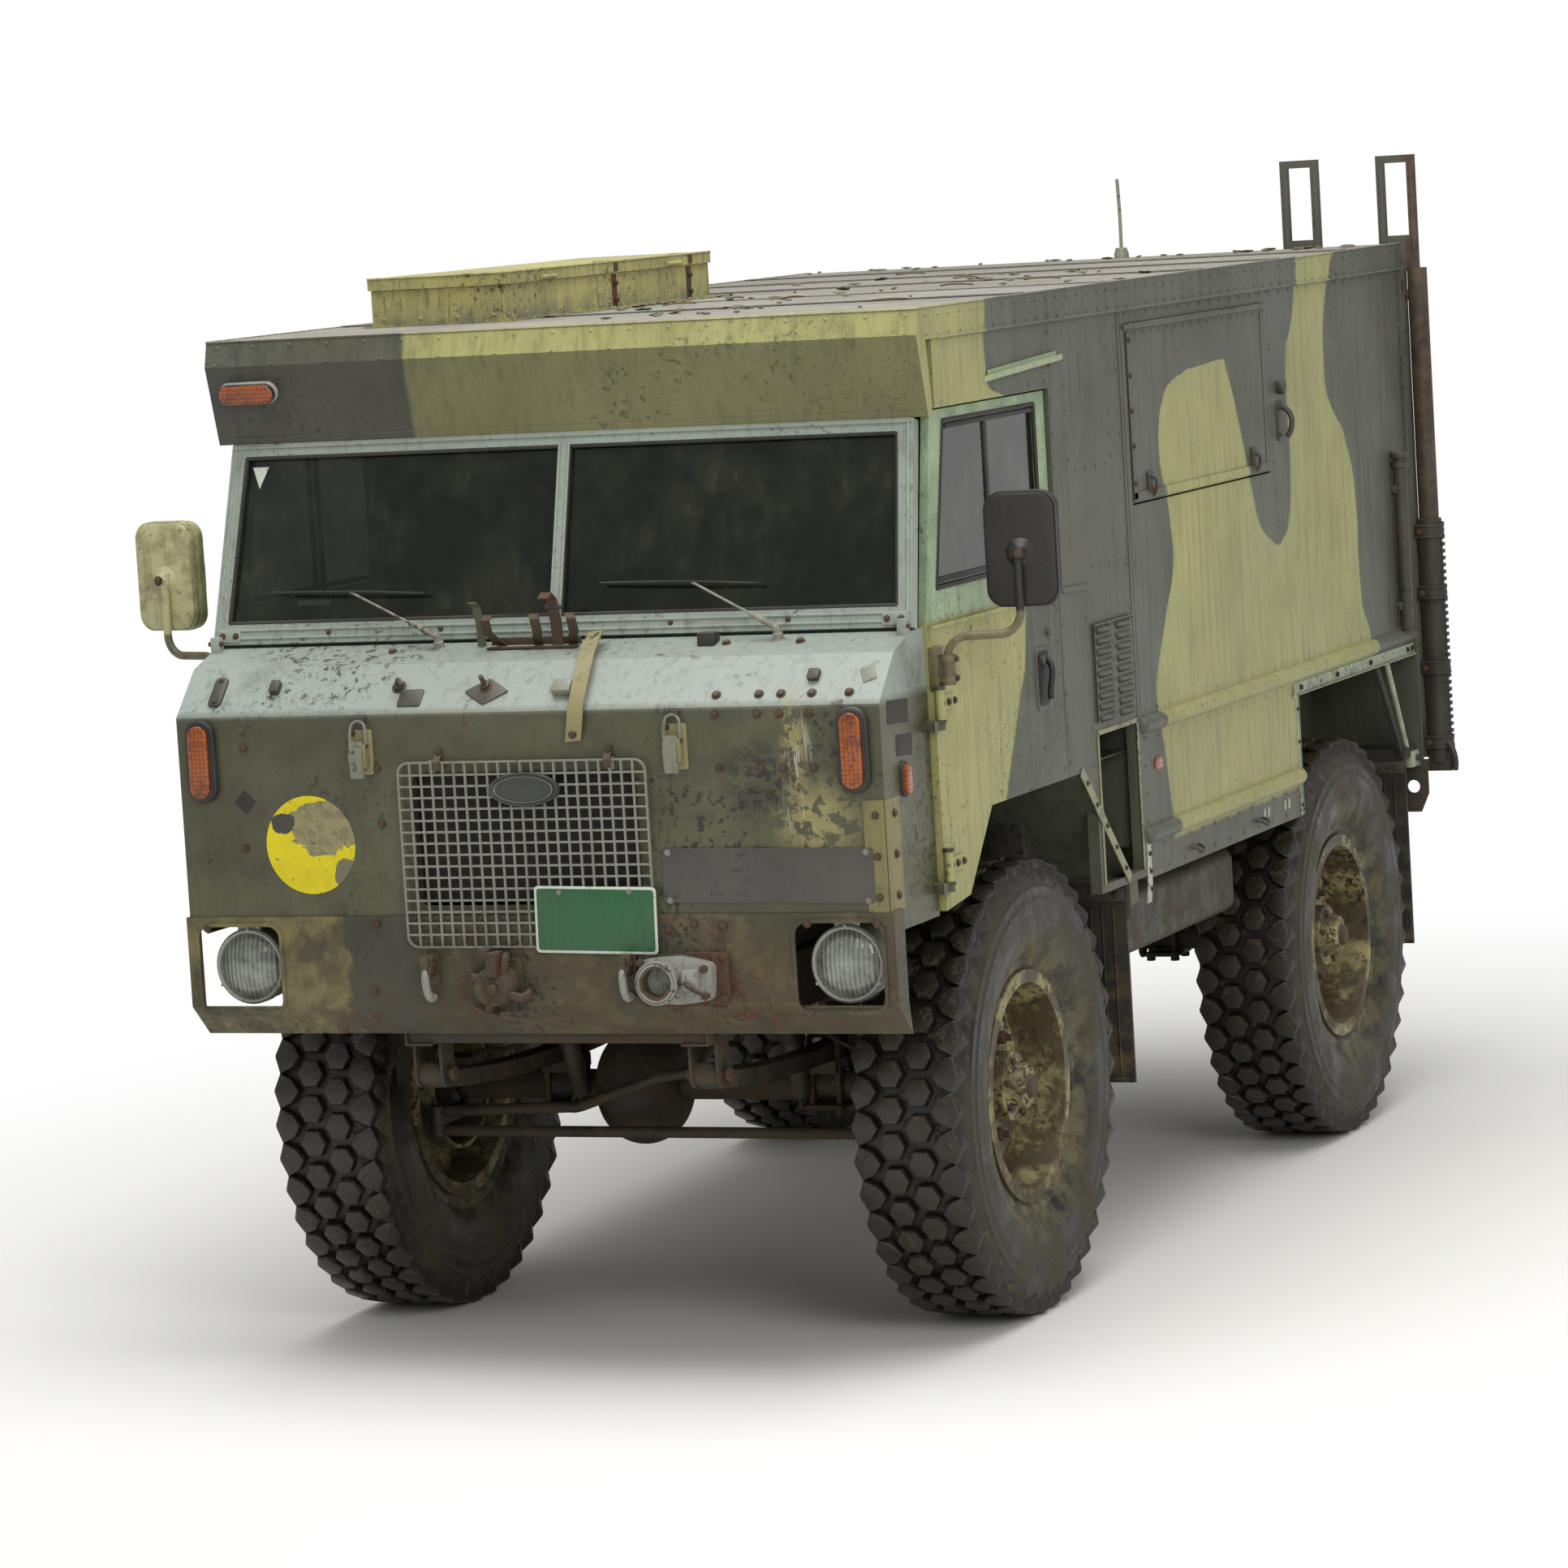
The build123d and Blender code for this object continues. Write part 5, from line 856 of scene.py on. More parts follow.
# the rusty angle plate round the left corner
panel(bm, 0.052, 0.26, 0.003, (0.88, nose_face - 0.0005, 1.245), front, rounding=0.004, index=6)
panel(bm, 0.085, 0.26, 0.003, (0.908, nose_face + 0.04, 1.245), (1, 0, 0), rounding=0.004, index=6)
for z in (1.15, 1.245, 1.34):
    bolt(bm, (0.911, nose_face + 0.045, z), (1, 0, 0), 0.008)
    bolt(bm, (0.884, nose_face - 0.0035, z), front, 0.007)
angle_paint = painted("rusty_tan_angle_plate", "7e7748", rust=1.3, chips=1.0, dents=0.05)
olive_part = painted("olive_paint_on_small_parts", "4a4d33", rust=0.7, chips=0.8, dents=0.02)
dark_part = painted("dark_paint_on_small_parts", "37352e", rust=0.9, chips=0.9, dents=0.02)
pale_part = painted("pale_worn_small_parts", "7d7e6d", rust=0.8, chips=1.0, gloss=0.45, dents=0.02)
tan_part = painted("tan_paint_on_small_parts", "8b845a", rust=0.9, chips=1.0, dents=0.02)
close(bm, "nose_fittings", [rust_steel, dark_part, pale_part, tan_part, olive_part, black_rubber,
                            angle_paint])

# the bridging disc is yellow enamel, blank, with its upper right peeled down to tan
disc_paint, tree, shader, place = begin("peeling_yellow_enamel", Roughness=0.45)
ragged = wear(tree, place, 0.07, 0.35, 0.65, shift=4.0, detail=10)


def torn(x, z, width, height, share, least):
    """A spot of the disc with a torn edge: share is how deep the tears go."""
    spot = near(tree, place, (x, -2.1, z), (width, 1.0, height))
    spot = add(tree, "Math", {0: spot, 1: every(tree, ragged, share)}, operation="ADD")
    return add(tree, "MapRange", {"Value": spot, "From Min": least, "From Max": least + 0.02})


peeled = torn(-0.535, 1.33, 0.115, 0.09, 0.5, 0.6)
dark = torn(-0.64, 1.34, 0.045, 0.035, 0.4, 0.62)
bite = torn(-0.478, 1.215, 0.045, 0.05, 0.4, 0.5)
colour = laid(tree, rgb("d9c804"), ("b7a80c", wear(tree, place, 0.08, 0.4, 0.7), 0.5), ("8d8660", peeled),
              ("77714f", peeled, wear(tree, place, 0.02, 0.45, 0.6)), ("3d3d36", dark), ("6d6a50", bite),
              ("3a3524", wear(tree, place, 0.012, 0.62, 0.66, detail=8), 0.8))
film = add(tree, "Math", {0: peeled, 1: -0.0005}, operation="MULTIPLY")
connect(shader, Base_Color=colour, Normal=add(tree, "Bump",
                                              {"Height": film, "Strength": 1.0, "Distance": 1.0}))
bm = bmesh.new()
disc(bm, (-0.569, nose_face, 1.288), front, 0.118, 0.0012, sides=56, edge=0.0004)
close(bm, "yellow_disc", disc_paint, smooth=False)


# The grille is welded wire, dipped in zinc and gone dull, held by two hooks. In front are a
# blank oval badge and a blank green plate, and beside it a blank grey plate.
zinc = painted("dull_zinc_on_wire", "7f8077", chips=0.3, gloss=0.45, dents=0.0, mud=(0.8, 1.3))
dress(zinc, "grille")
grille_face = -2.125
dark_enamel = painted("dark_badge_enamel", "2f3330", rust=0.2, chips=0.4, gloss=0.35, dents=0.0)
grey_enamel = painted("grey_plate_enamel", "45423f", rust=0.1, gloss=0.4, dents=0.03)
green_enamel = painted("green_plate_enamel", "245a34", rust=0.0, chips=0.1, gloss=0.3, dents=0.03, dust=0.1)
pale_enamel = painted("pale_border_enamel", "c9cfc4", rust=0.0, chips=0.3, gloss=0.35, dents=0.03, dust=0.2)
bm = bmesh.new()
oval = Vector((0.009, grille_face, 1.415))
turned(bm, [(0, 0.007), (0.08, 0.007), (0.084, 0.01), (0.089, 0.01), (0.092, 0.004), (0.092, 0.0), (0, 0.0)],
       oval, front, sides=48, flatten=(1, 0.44, 1))
ring(bm, oval + Vector((0, -0.009, 0)), front, 0.075, 0.0016, sides=48, index=3, flatten=(1, 0.4, 1))
panel(bm, 0.53, 0.128, 0.004, (0.608, nose_face - 0.001, 1.204), front, -0.01, rounding=0.006, index=1)
for x, z in ((0.36, 1.26), (0.856, 1.256), (0.36, 1.148), (0.856, 1.144)):
    bolt(bm, (x, nose_face - 0.005, z), front, 0.006, index=3)
green = Vector((0.172, grille_face - 0.001, 1.105))
panel(bm, 0.312, 0.158, 0.002, green, front, -0.02, rounding=0.01, index=4)
panel(bm, 0.3, 0.146, 0.0024, green, front, -0.02, rounding=0.008, index=2)
for x in (-0.09, 0.09):
    bolt(bm, green + Vector((x, -0.0024, 0.066)), front, 0.005, index=3)
for x in (-0.215, 0.225):
    strap(bm, [(x, grille_face - 0.001, 1.462), (x, grille_face - 0.006, 1.482),
               (x, grille_face + 0.004, 1.495), (x, nose_face - 0.003, 1.5), (x, nose_face - 0.003, 1.512)],
          (0.018, 0, 0), 0.003, index=5)
    bolt(bm, (x, nose_face - 0.005, 1.506), front, 0.006, index=5)
close(bm, "grille_plates", [dark_enamel, grey_enamel, green_enamel, zinc, pale_enamel, rust_steel])
# behind the wires are the radiator's upright fins, nearly black with dust
fins, tree, shader, place = begin("dusty_radiator_core", Roughness=0.7)
rows = add(tree, "TexWave", {"Vector": place, "Scale": 40.0}, bands_direction="X", wave_profile="SIN")
colour = laid(tree, rgb("0e0d0b"), ("2c2820", rows, 0.8), ("3d3424", wear(tree, place, 0.1, 0.5, 0.7), 0.5))
connect(shader, Base_Color=colour)
bm = bmesh.new()
block(bm, (-0.285, nose_face + 0.03, 1.145), (0.285, nose_face + 0.085, 1.45), edge=0.004)
for side in (-1, 1):
    block(bm, (side * 0.3 - 0.02, nose_face + 0.004, 1.13), (side * 0.3 + 0.02, nose_face + 0.09, 1.465),
          edge=0.004)
close(bm, "radiator_core", fins, smooth=False)


# The windscreen frame is drawn aluminium, grey-green where paint is left on it. Each pane
# sits in black rubber. Two wipers stand on the scuttle, their arms worn to bare metal.
aluminium = painted("weathered_aluminium", "929c92", rust=0.15, chips=0.6, gloss=0.42, dents=0.02, dust=0.5)
dress(aluminium, "windscreen_frame")
lean = Vector((0, 0.27315, 0.96197))
screen_out = Vector((0, -lean.z, lean.y))
screen_foot = Vector((0, -1.886, 1.7516))
pane_low, pane_top, pane_near, pane_half_low, pane_half_top = 0.052, 0.4616, 0.013, 0.872, 0.852


def on_screen(x, rise, out=0.0):
    """The point of the screen at that side place, that far up its slope and that far out of it."""
    return screen_foot + Vector((x, 0, 0)) + lean * rise + screen_out * out


def rivets(bm, start, end, out, pitch, radius=0.0058, height=0.0026, index=0):
    """A straight row of snap-head rivets."""
    start, end = Vector(start), Vector(end)
    count = max(2, round((end - start).length / pitch) + 1)
    for number in range(count):
        at = start.lerp(end, number / (count - 1))
        disc(bm, at, out, radius, height, sides=8, top=radius * 0.55, index=index)


def rivet_rows(bm, x, *rows, **look):
    """Rows of rivets on a side panel at x: a row is where it starts and ends, and its pitch."""
    for y, z, end_y, end_z, pitch in rows:
        rivets(bm, (x, y, z), (x, end_y, end_z), (x / abs(x), 0, 0), pitch, **look)


bm = bmesh.new()
for side in (-1, 1):
    pane = ((pane_near, pane_low), (pane_half_low, pane_low), (pane_half_top, pane_top),
            (pane_near, pane_top))
    rod_frame(bm, [on_screen(side * x, rise) - screen_out * 0.004 for x, rise in pane], 0.0055)
for rise in (0.014, 0.034):
    rod(bm, [on_screen(-0.905, rise), on_screen(0.905, rise)], 0.004, index=1)
for x in (-0.012, 0.012):
    rod(bm, [on_screen(x, pane_low - 0.005, 0.001), on_screen(x, pane_top + 0.01, 0.001)], 0.0035, index=1)
for side in (-1, 1):
    rod(bm, [on_screen(side * 0.9, 0.01), on_screen(side * 0.88, 0.485)], 0.004, index=1)
    rod(bm, [on_screen(side * 0.88, 0.02), on_screen(side * 0.862, 0.475)], 0.003, index=1)
    # corner fittings that hold the frame down: a plate with bolts and a pin
    panel(bm, 0.06, 0.03, 0.004, on_screen(side * 0.868, 0.02), screen_out, rounding=0.004, index=1)
    for x in (0.85, 0.886):
        bolt(bm, on_screen(side * x, 0.02, 0.004), screen_out, 0.006, index=2)
    block(bm, (side * 0.895 - 0.012, -1.912, 1.722), (side * 0.895 + 0.012, -1.886, 1.772), edge=0.003,
          index=1)
    disc(bm, (side * 0.895 - 0.018, -1.905, 1.756), (1, 0, 0), 0.006, 0.036, sides=10, index=2)
rod(bm, [on_screen(-0.888, 0.487, 0.002), on_screen(0.888, 0.487, 0.002)], 0.004, index=1)
for x in (-0.6, -0.3, 0.0, 0.3, 0.6):
    bolt(bm, on_screen(x, 0.026), screen_out, 0.005, index=2)
close(bm, "windscreen_trim", [black_rubber, aluminium, rust_steel])

bm = bmesh.new()
worn_arm = painted("wiper_arm_worn_bare", "8f8c7e", rust=0.8, chips=1.3, gloss=0.45, dents=0.0)
for pivot_x, tip_x, near_x, far_x in ((-0.289, -0.538, -0.344, -0.753), (0.589, 0.357, 0.526, 0.116)):
    foot = on_scuttle(pivot_x, -1.915)
    head = foot + scuttle_out * 0.03
    turned(bm, [(0, 0.034), (0.007, 0.034), (0.009, 0.03), (0.009, 0.02), (0.012, 0.018), (0.013, 0.004),
                (0.017, 0.0)], foot, scuttle_out, sides=20, index=1)
    tip = on_screen(tip_x, 0.118, 0.022)
    middle = head.lerp(tip, 0.3) + screen_out * 0.006
    rod(bm, [head, head.lerp(middle, 0.6), middle], 0.0065, index=1)
    rod(bm, [middle, middle.lerp(tip, 0.5), tip], 0.0032, index=1)
    for share in (0.15, 0.22, 0.29, 0.36, 0.43, 0.5):
        disc(bm, head.lerp(middle, share), tip - head, 0.0085, 0.003, sides=10, index=1)
    one, two = on_screen(far_x, 0.124, 0.006), on_screen(near_x, 0.112, 0.006)
    rod(bm, [one, two], 0.0032)
    rod(bm, [one + screen_out * 0.005, two + screen_out * 0.005], 0.0022)
    bow = [one.lerp(two, 0.08) + screen_out * 0.006, one.lerp(two, 0.28) + screen_out * 0.016,
           tip + screen_out * 0.002, one.lerp(two, 0.72) + screen_out * 0.016,
           one.lerp(two, 0.92) + screen_out * 0.006]
    rod(bm, bow, 0.0028)
close(bm, "wipers", [black_rubber, worn_arm])

# a white triangle sticker at the top of the right pane, and a blank green card low behind it
white_film = painted("white_sticker", "cfd3c8", rust=0.0, chips=0.2, gloss=0.4, dents=0.0, dust=0.1)
bm = bmesh.new()
plate(bm, [(-0.022, 0.026), (0.0, -0.028), (0.022, 0.026)], 0.0006,
      facing(on_screen(-0.818, 0.415, -0.013), screen_out))
panel(bm, 0.105, 0.05, 0.0008, on_screen(-0.655, 0.092, -0.024), screen_out, index=1)
panel(bm, 0.09, 0.012, 0.0008, on_screen(-0.655, 0.103, -0.023), screen_out)
close(bm, "screen_stickers", [white_film, green_enamel], smooth=False)


# The roof is aluminium sheet on frames, with folded rails down both sides held by two rows
# of rivets, and lapped seams across it. The paint on top has gone chalky under leaf litter.
def roof_coat(tree, place):
    """The rails' and peak's camouflage, gone pale grey-brown facing the sky, with painted shade facing down.
    """
    facing_up = add(tree, "SeparateXYZ", {0: add(tree, "NewGeometry").outputs["Normal"]}).outputs[2]
    flat = add(tree, "MapRange", {"Value": facing_up, "From Min": 0.6, "From Max": 0.9})
    # painted shade: faces that look down, such as the peak's undercut, are laid dark
    under = add(tree, "MapRange", {"Value": facing_up, "From Min": -0.02, "From Max": -0.12})
    spread = wear(tree, place, 0.5, 0.3, 0.65, shift=31.0, detail=8)
    lichen = wear(tree, place, 0.05, 0.6, 0.66, shift=33.0, detail=9)
    return laid(tree, camouflage(tree, place), ("93908a", flat, 0.8), ("6b6259", flat, spread, 0.7),
                ("a3a18e", flat, lichen, 0.8), ("1d1a10", under, 0.55))


roof_paint = painted("chalky_paint_on_roof_aluminium", roof_coat, rust=0.15, chips=0.55, dents=0.1,
                     dust=0.35)
dress(roof_paint, "roof")
roof_top, rail_half, peak_y, tail = 2.482, 0.9293, -1.782, 2.102
bm = bmesh.new()
for side in (-1, 1):
    out = (side, 0, 0)
    for z in (2.421, 2.464):
        rivets(bm, (side * rail_half, peak_y + 0.05, z), (side * rail_half, tail - 0.03, z), out, 0.075)
    rod(bm, [(side * (rail_half + 0.001), peak_y + 0.12, 2.4075),
             (side * (rail_half + 0.001), tail, 2.4075)], 0.0035)
    rod(bm, [(side * (rail_half - 0.002), peak_y, 2.481), (side * (rail_half - 0.002), tail, 2.481)], 0.004)
    rivets(bm, (side * (rail_half - 0.02), peak_y + 0.05, roof_top),
           (side * (rail_half - 0.02), tail - 0.03, roof_top), (0, 0, 1), 0.075)
for y in (-1.05, -0.372, 0.32, 0.98, 1.6):
    strap(bm, [(-0.915, y, roof_top + 0.0022), (0.915, y, roof_top + 0.0022)], (0, 0.06, 0), 0.002)
    for step in (-0.02, 0.02):
        rivets(bm, (-0.9, y + step, roof_top + 0.002), (0.9, y + step, roof_top + 0.002), (0, 0, 1), 0.09)
rod(bm, [(-rail_half, peak_y + 0.001, roof_top - 0.002), (rail_half, peak_y + 0.001, roof_top - 0.002)],
    0.004)
rivets(bm, (-0.9, peak_y - 0.004, 2.466), (0.9, peak_y - 0.004, 2.466), front, 0.1)
rivets(bm, (-0.9, peak_y - 0.0175, 2.424), (0.9, peak_y - 0.0175, 2.424), front, 0.15, radius=0.004)
strap(bm, [(-0.885, -1.752, 2.234), (0.885, -1.752, 2.234)], (0, 0.006, -0.022), 0.003)
close(bm, "roof_rivets_and_seams", roof_paint)
# rain gutters over the doors, the far one as well
gutter_paint = painted("pale_green_gutter", "98a884", rust=0.2, chips=0.6, dents=0.02)
bm = bmesh.new()
for side in (-1, 1):
    strap(bm, [(side * 0.926, -1.36, 2.292), (side * 0.938, -1.34, 2.296), (side * 0.946, -1.1, 2.308),
               (side * 0.946, -0.86, 2.318), (side * 0.93, -0.84, 2.316)], (0, 0, 0.014), 0.002)
    strap(bm, [(side * 0.927, -1.34, 2.3), (side * 0.927, -0.86, 2.32)], (0, 0, 0.026), 0.002)
close(bm, "door_gutters", gutter_paint)
# dead leaves, twigs and moss that lie on the roof and along the box's foot
random.seed(4)
litter = painted("dead_leaves", "5a4a30", rust=0.0, chips=0.0, gloss=0.7, dents=0.0)
moss = painted("moss_and_lichen", "5d6540", rust=0.0, chips=0.0, gloss=0.8, dents=0.0)
bm = bmesh.new()
spots = [(random.gauss(0.1, 0.35), random.uniform(-1.6, 0.9)) for _ in range(60)]
spots += [(random.uniform(-0.36, -0.3), random.uniform(-1.2, 0.05)) for _ in range(26)]
spots += [(random.uniform(-0.89, 0.89), random.uniform(1.9, 2.08)) for _ in range(30)]
for x, y in spots:
    x = max(-0.9, min(0.9, x))
    if -0.77 < x < -0.345 and -1.29 < y < 0.08:
        continue
    size = random.uniform(0.008, 0.028)
    lift = Matrix.Translation((x, y, roof_top + 0.004)) @ Matrix.Rotation(random.uniform(0, 6.28), 4, "Z")
    lift = lift @ Matrix.Rotation(random.uniform(-0.3, 0.3), 4, "X")
    lift = lift @ Matrix.Diagonal((size, size * random.uniform(0.4, 0.8), 0.003, 1))
    made = bmesh.ops.create_icosphere(bm, subdivisions=1, radius=1, matrix=lift)
    finish_faces(made["verts"], random.randrange(2))
for number in range(9):
    x, y = random.uniform(-0.2, 0.8), random.uniform(-1.5, 1.2)
    turn = random.uniform(0, 6.28)
    rod(bm, [(x, y, roof_top + 0.006), (x + 0.04 * cos(turn), y + 0.04 * sin(turn), roof_top + 0.012),
             (x + 0.1 * cos(turn + 0.2), y + 0.1 * sin(turn + 0.2), roof_top + 0.006)], 0.0022)
close(bm, "roof_litter", [litter, moss], smooth=False)
bm = bmesh.new()
turned(bm, [(0, 0.03), (0.016, 0.03), (0.022, 0.012), (0.022, 0.0)], (0.09, 2.06, roof_top), (0, 0, 1),
       sides=16)
rod(bm, [(0.09, 2.06, roof_top + 0.02), (0.092, 2.062, roof_top + 0.12), (0.088, 2.06, roof_top + 0.232)],
    0.0055)
close(bm, "aerial_stub", pale_part)


# The roof box is riveted aluminium in tan paint, streaked dark. Its lid is a shallow tray,
# and two rusty steel bands come down its side beside the middle seam.
def tan_coat(tree, place):
    """Tan paint with dark runs from its rivets and grey grime along the foot."""
    height = add(tree, "SeparateXYZ", {0: place}).outputs[2]
    foot = past(tree, 2.515, height, 0.025)
    return laid(tree, rgb("aaa465"), ("928d58", wear(tree, place, 0.15, 0.4, 0.65), 0.8),
                ("6b6b5c", foot, wear(tree, place, 0.05, 0.35, 0.6, shift=6.0), 0.85),
                ("4f4c3c", wear(tree, place, 0.012, 0.56, 0.66, stretch=(1, 1, 8)), 0.6))


tan_steel = painted("tan_paint_on_the_roof_box", tan_coat, chips=0.7, dents=0.08)
dress(tan_steel, "roof_box", "roof_box_lid")
box_x0, box_x1, box_y0, box_y1 = -0.735, -0.375, -1.25, 0.04
bm = bmesh.new()
for x, out in ((box_x0, -1), (box_x1, 1)):
    for z in (2.5, 2.562):
        rivets(bm, (x, box_y0 + 0.03, z), (x, box_y1 - 0.03, z), (out, 0, 0), 0.105)
    strap(bm, [(x + out * 0.002, -0.66, 2.483), (x + out * 0.002, -0.66, 2.572)], (0, 0.035, 0), 0.002)
    rivets(bm, (x + out * 0.002, -0.672, 2.495), (x + out * 0.002, -0.672, 2.56), (out, 0, 0), 0.03)
    rivets(bm, (x + out * 0.002, -0.648, 2.495), (x + out * 0.002, -0.648, 2.56), (out, 0, 0), 0.03)
    rivets(bm, (x + out * 0.012, box_y0 + 0.03, 2.4863), (x + out * 0.012, box_y1 - 0.03, 2.4863), (0, 0, 1),
           0.12)
for y, out in ((box_y0, -1), (box_y1, 1)):
    for z in (2.5, 2.562):
        rivets(bm, (box_x0 + 0.03, y, z), (box_x1 - 0.03, y, z), (0, out, 0), 0.1)
    for x in (box_x0, box_x1):
        rod(bm, [(x, y, 2.484), (x, y, 2.574)], 0.003)
close(bm, "roof_box_rivets", tan_steel)
bm = bmesh.new()
for y in (-0.575, -0.09):
    strap(bm, [(box_x1 + 0.003, y, 2.484), (box_x1 + 0.003, y, 2.57)], (0, 0.026, 0), 0.003)
    bolt(bm, (box_x1 + 0.006, y, 2.505), (1, 0, 0), 0.006)
    bolt(bm, (box_x1 + 0.006, y, 2.548), (1, 0, 0), 0.006)
close(bm, "roof_box_bands", rust_steel)
bm = bmesh.new()
for y in (-0.575, -0.09):
    strap(bm, [(box_x1 - 0.05, y, 2.606), (box_x1 + 0.0095, y, 2.606), (box_x1 + 0.0095, y, 2.578)],
          (0, 0.026, 0), 0.002, index=1)
rod(bm, [(box_x0 - 0.008, box_y0 - 0.008, 2.6035), (box_x1 + 0.008, box_y0 - 0.008, 2.6035)], 0.003)
rod(bm, [(box_x1 + 0.008, box_y0 - 0.008, 2.6035), (box_x1 + 0.008, box_y1 + 0.008, 2.6035)], 0.003)
close(bm, "roof_box_lid_bands", [tan_steel, rust_steel], "roof_box_lid")


# Doors are steel sheet on a frame. Their sliding glass runs in black channels, the handle
# sits in a recess drawn as a black plate of painted shade, and two forged hinges stand proud of the front
# edge.
def door_coat(tree, place):
    """Camouflage below and pale green round the window."""
    height = add(tree, "SeparateXYZ", {0: place}).outputs[2]
    frame_green = laid(tree, rgb("98ad88"), ("7e9272", wear(tree, place, 0.1, 0.45, 0.6), 0.7),
                       ("b4bba0", wear(tree, place, 0.02, 0.58, 0.64, shift=3.0), 0.5))
    return laid(tree, camouflage(tree, place), (frame_green, past(tree, height, 1.752)))


door_paint = painted("camouflage_paint_on_steel_doors", door_coat, rust=0.3, chips=0.6, dents=0.12)
dress(door_paint, "door_left", "door_right")
# painted shade: flat black for the shade in the handle's recess and under the louvres; the lever is black too
black_lever_and_recess_shade, tree, shader, place = begin("black_lever_and_painted_recess_shade", Roughness=0.6)
shader.inputs["Base Color"].default_value = rgb("161512")
skin_x = 0.925
window_corners = ((-1.72, 1.825), (-1.0, 1.825), (-1.0, 2.212), (-1.6238, 2.212))
for name, side in (("left", 1), ("right", -1)):
    out = Vector((side, 0, 0))
    bm = bmesh.new()
    rod_frame(bm, [(side * 0.9125, *corner) for corner in window_corners], 0.0055, index=1)
    # the middle channels in which the two halves of the glass slide
    for y, step in ((-1.33, 0.0), (-1.305, -0.008)):
        block(bm, (side * 0.906 + step * side - 0.004, y - 0.01, 1.83),
              (side * 0.906 + step * side + 0.004, y + 0.01, 2.208), index=1)
    for y, z in ((-1.31, 1.842), (-1.31, 2.198)):
        block(bm, (side * 0.909 - 0.004, -1.7 if z < 2 else -1.6, z - 0.006),
              (side * 0.909 + 0.004, -1.005, z + 0.006), index=1)
    # handle: bezel, a black plate as painted shade for its recess, and the lever
    grip = Vector((side * skin_x, -1.069, 1.546))
    panel(bm, 0.098, 0.156, 0.003, grip, out, rounding=0.02, edge=0.001)
    panel(bm, 0.078, 0.134, 0.0012, grip + out * 0.003, out, rounding=0.016, index=2)
    lever = ((0.006, 0.02, 0.045), (0.022, 0.012, 0.03), (0.026, -0.004, 0), (0.02, -0.01, -0.035),
             (0.024, -0.012, -0.05))
    rod(bm, [grip + Vector((side * x, y, z)) for x, y, z in lever], 0.0075, index=2)
    disc(bm, grip + Vector((side * 0.003, -0.018, 0.045)), out, 0.012, 0.01, index=3)
    # hinge straps' bolts, the waist rail's edge and the rivets of the door's frame
    for z in (1.18, 1.56):
        for y in (-1.775, -1.735, -1.695):
            bolt(bm, (side * (skin_x + 0.008), y, z), out, 0.007, index=3)
        disc(bm, (side * 0.937, -1.8, z + 0.035), (0, 0, 1), 0.014, 0.008, sides=12, index=3)
        disc(bm, (side * 0.937, -1.8, z - 0.043), (0, 0, 1), 0.014, 0.006, sides=12, index=3)
    rod(bm, [(side * (skin_x - 0.001), -1.797, 1.738), (side * (skin_x - 0.001), -0.928, 1.738)], 0.005)
    rivet_rows(bm, side * skin_x, (-1.785, 1.11, -1.785, 1.7, 0.098), (-0.943, 1.31, -0.943, 1.7, 0.078),
               (-1.77, 1.716, -0.96, 1.716, 0.115))
    rivet_rows(bm, side * 0.913, (-1.71, 1.775, -0.95, 1.775, 0.126), (-0.955, 1.82, -0.955, 2.2, 0.095))
    # lock and a small pull on the waist
    turned(bm, [(0, 0.007), (0.009, 0.007), (0.012, 0.003), (0.012, 0.0)], (side * skin_x, -1.02, 1.655),
           out, sides=16, index=3)
    close(bm, "door_fittings_" + name, [door_paint, black_rubber, black_lever_and_recess_shade, dark_part],
          "door_" + name)


# Behind each door the quarter panel carries a louvred plate over the open engine-air
# intake, and a sloped mudguard with a pale edge runs down behind the wheel.
bm = bmesh.new()
for side in (-1, 1):
    out = Vector((side, 0, 0))
    rivet_rows(bm, side * 0.9277, (-0.692, 1.398, -0.41, 1.398, 0.047), (-0.692, 1.634, -0.41, 1.634, 0.047),
               *((y, 1.4, y, 1.632, 0.048) for y in (-0.692, -0.551, -0.41)), radius=0.004)
    skin = side * 0.9247
    rivet_rows(bm, skin, (-0.412, 1.66, -0.412, 2.37, 0.054), (-0.487, 2.05, -0.487, 2.37, 0.058),
               (-0.802, 2.06, -0.802, 2.37, 0.058), (-0.753, 2.033, -0.529, 2.033, 0.075),
               (-0.662, 1.782, -0.409, 1.782, 0.06), (-0.905, 1.8, -0.905, 2.38, 0.078),
               (-0.905, 1.32, -0.905, 1.66, 0.085), (-0.735, 1.2, -0.735, 1.66, 0.085),
               (-1.65, 2.262, -0.94, 2.262, 0.11))
    # stiffening pressings: a shallow rib up the panel and the lap over the box's front edge
    strap(bm, [(skin + side * 0.002, -0.384, 1.0), (skin + side * 0.002, -0.384, 2.4)], (0, 0.018, 0), 0.002)
    strap(bm, [(skin + side * 0.002, -0.9, 1.745), (skin + side * 0.002, -0.7, 1.738)], (0, 0, 0.014), 0.003)
    # each louvre's rolled hood with a black strip of painted shade for the slot under it, and the plate's
    # folded top edge
    for y in (-0.6255, -0.4765):
        for row in range(9):
            z = 1.392 + 0.248 * (row + 0.5) / 9
            rod(bm, [(side * 0.9285, y - 0.05, z - 0.001), (side * 0.9345, y - 0.046, z - 0.003),
                     (side * 0.9345, y + 0.046, z - 0.003), (side * 0.9285, y + 0.05, z - 0.001)], 0.0052)
            panel(bm, 0.1, 0.0065, 0.0006, (side * 0.9279, y, z - 0.0115), out, index=1)
    strap(bm, [(side * 0.9275, -0.703, 1.64), (side * 0.9275, -0.399, 1.64)], (side * 0.016, 0, 0), 0.003)
    strap(bm, [(side * 0.929, -0.699, 1.395), (side * 0.929, -0.699, 1.637)], (0, 0.006, 0), 0.002, index=1)
close(bm, "quarter_rivets", [side_paint, black_lever_and_recess_shade])
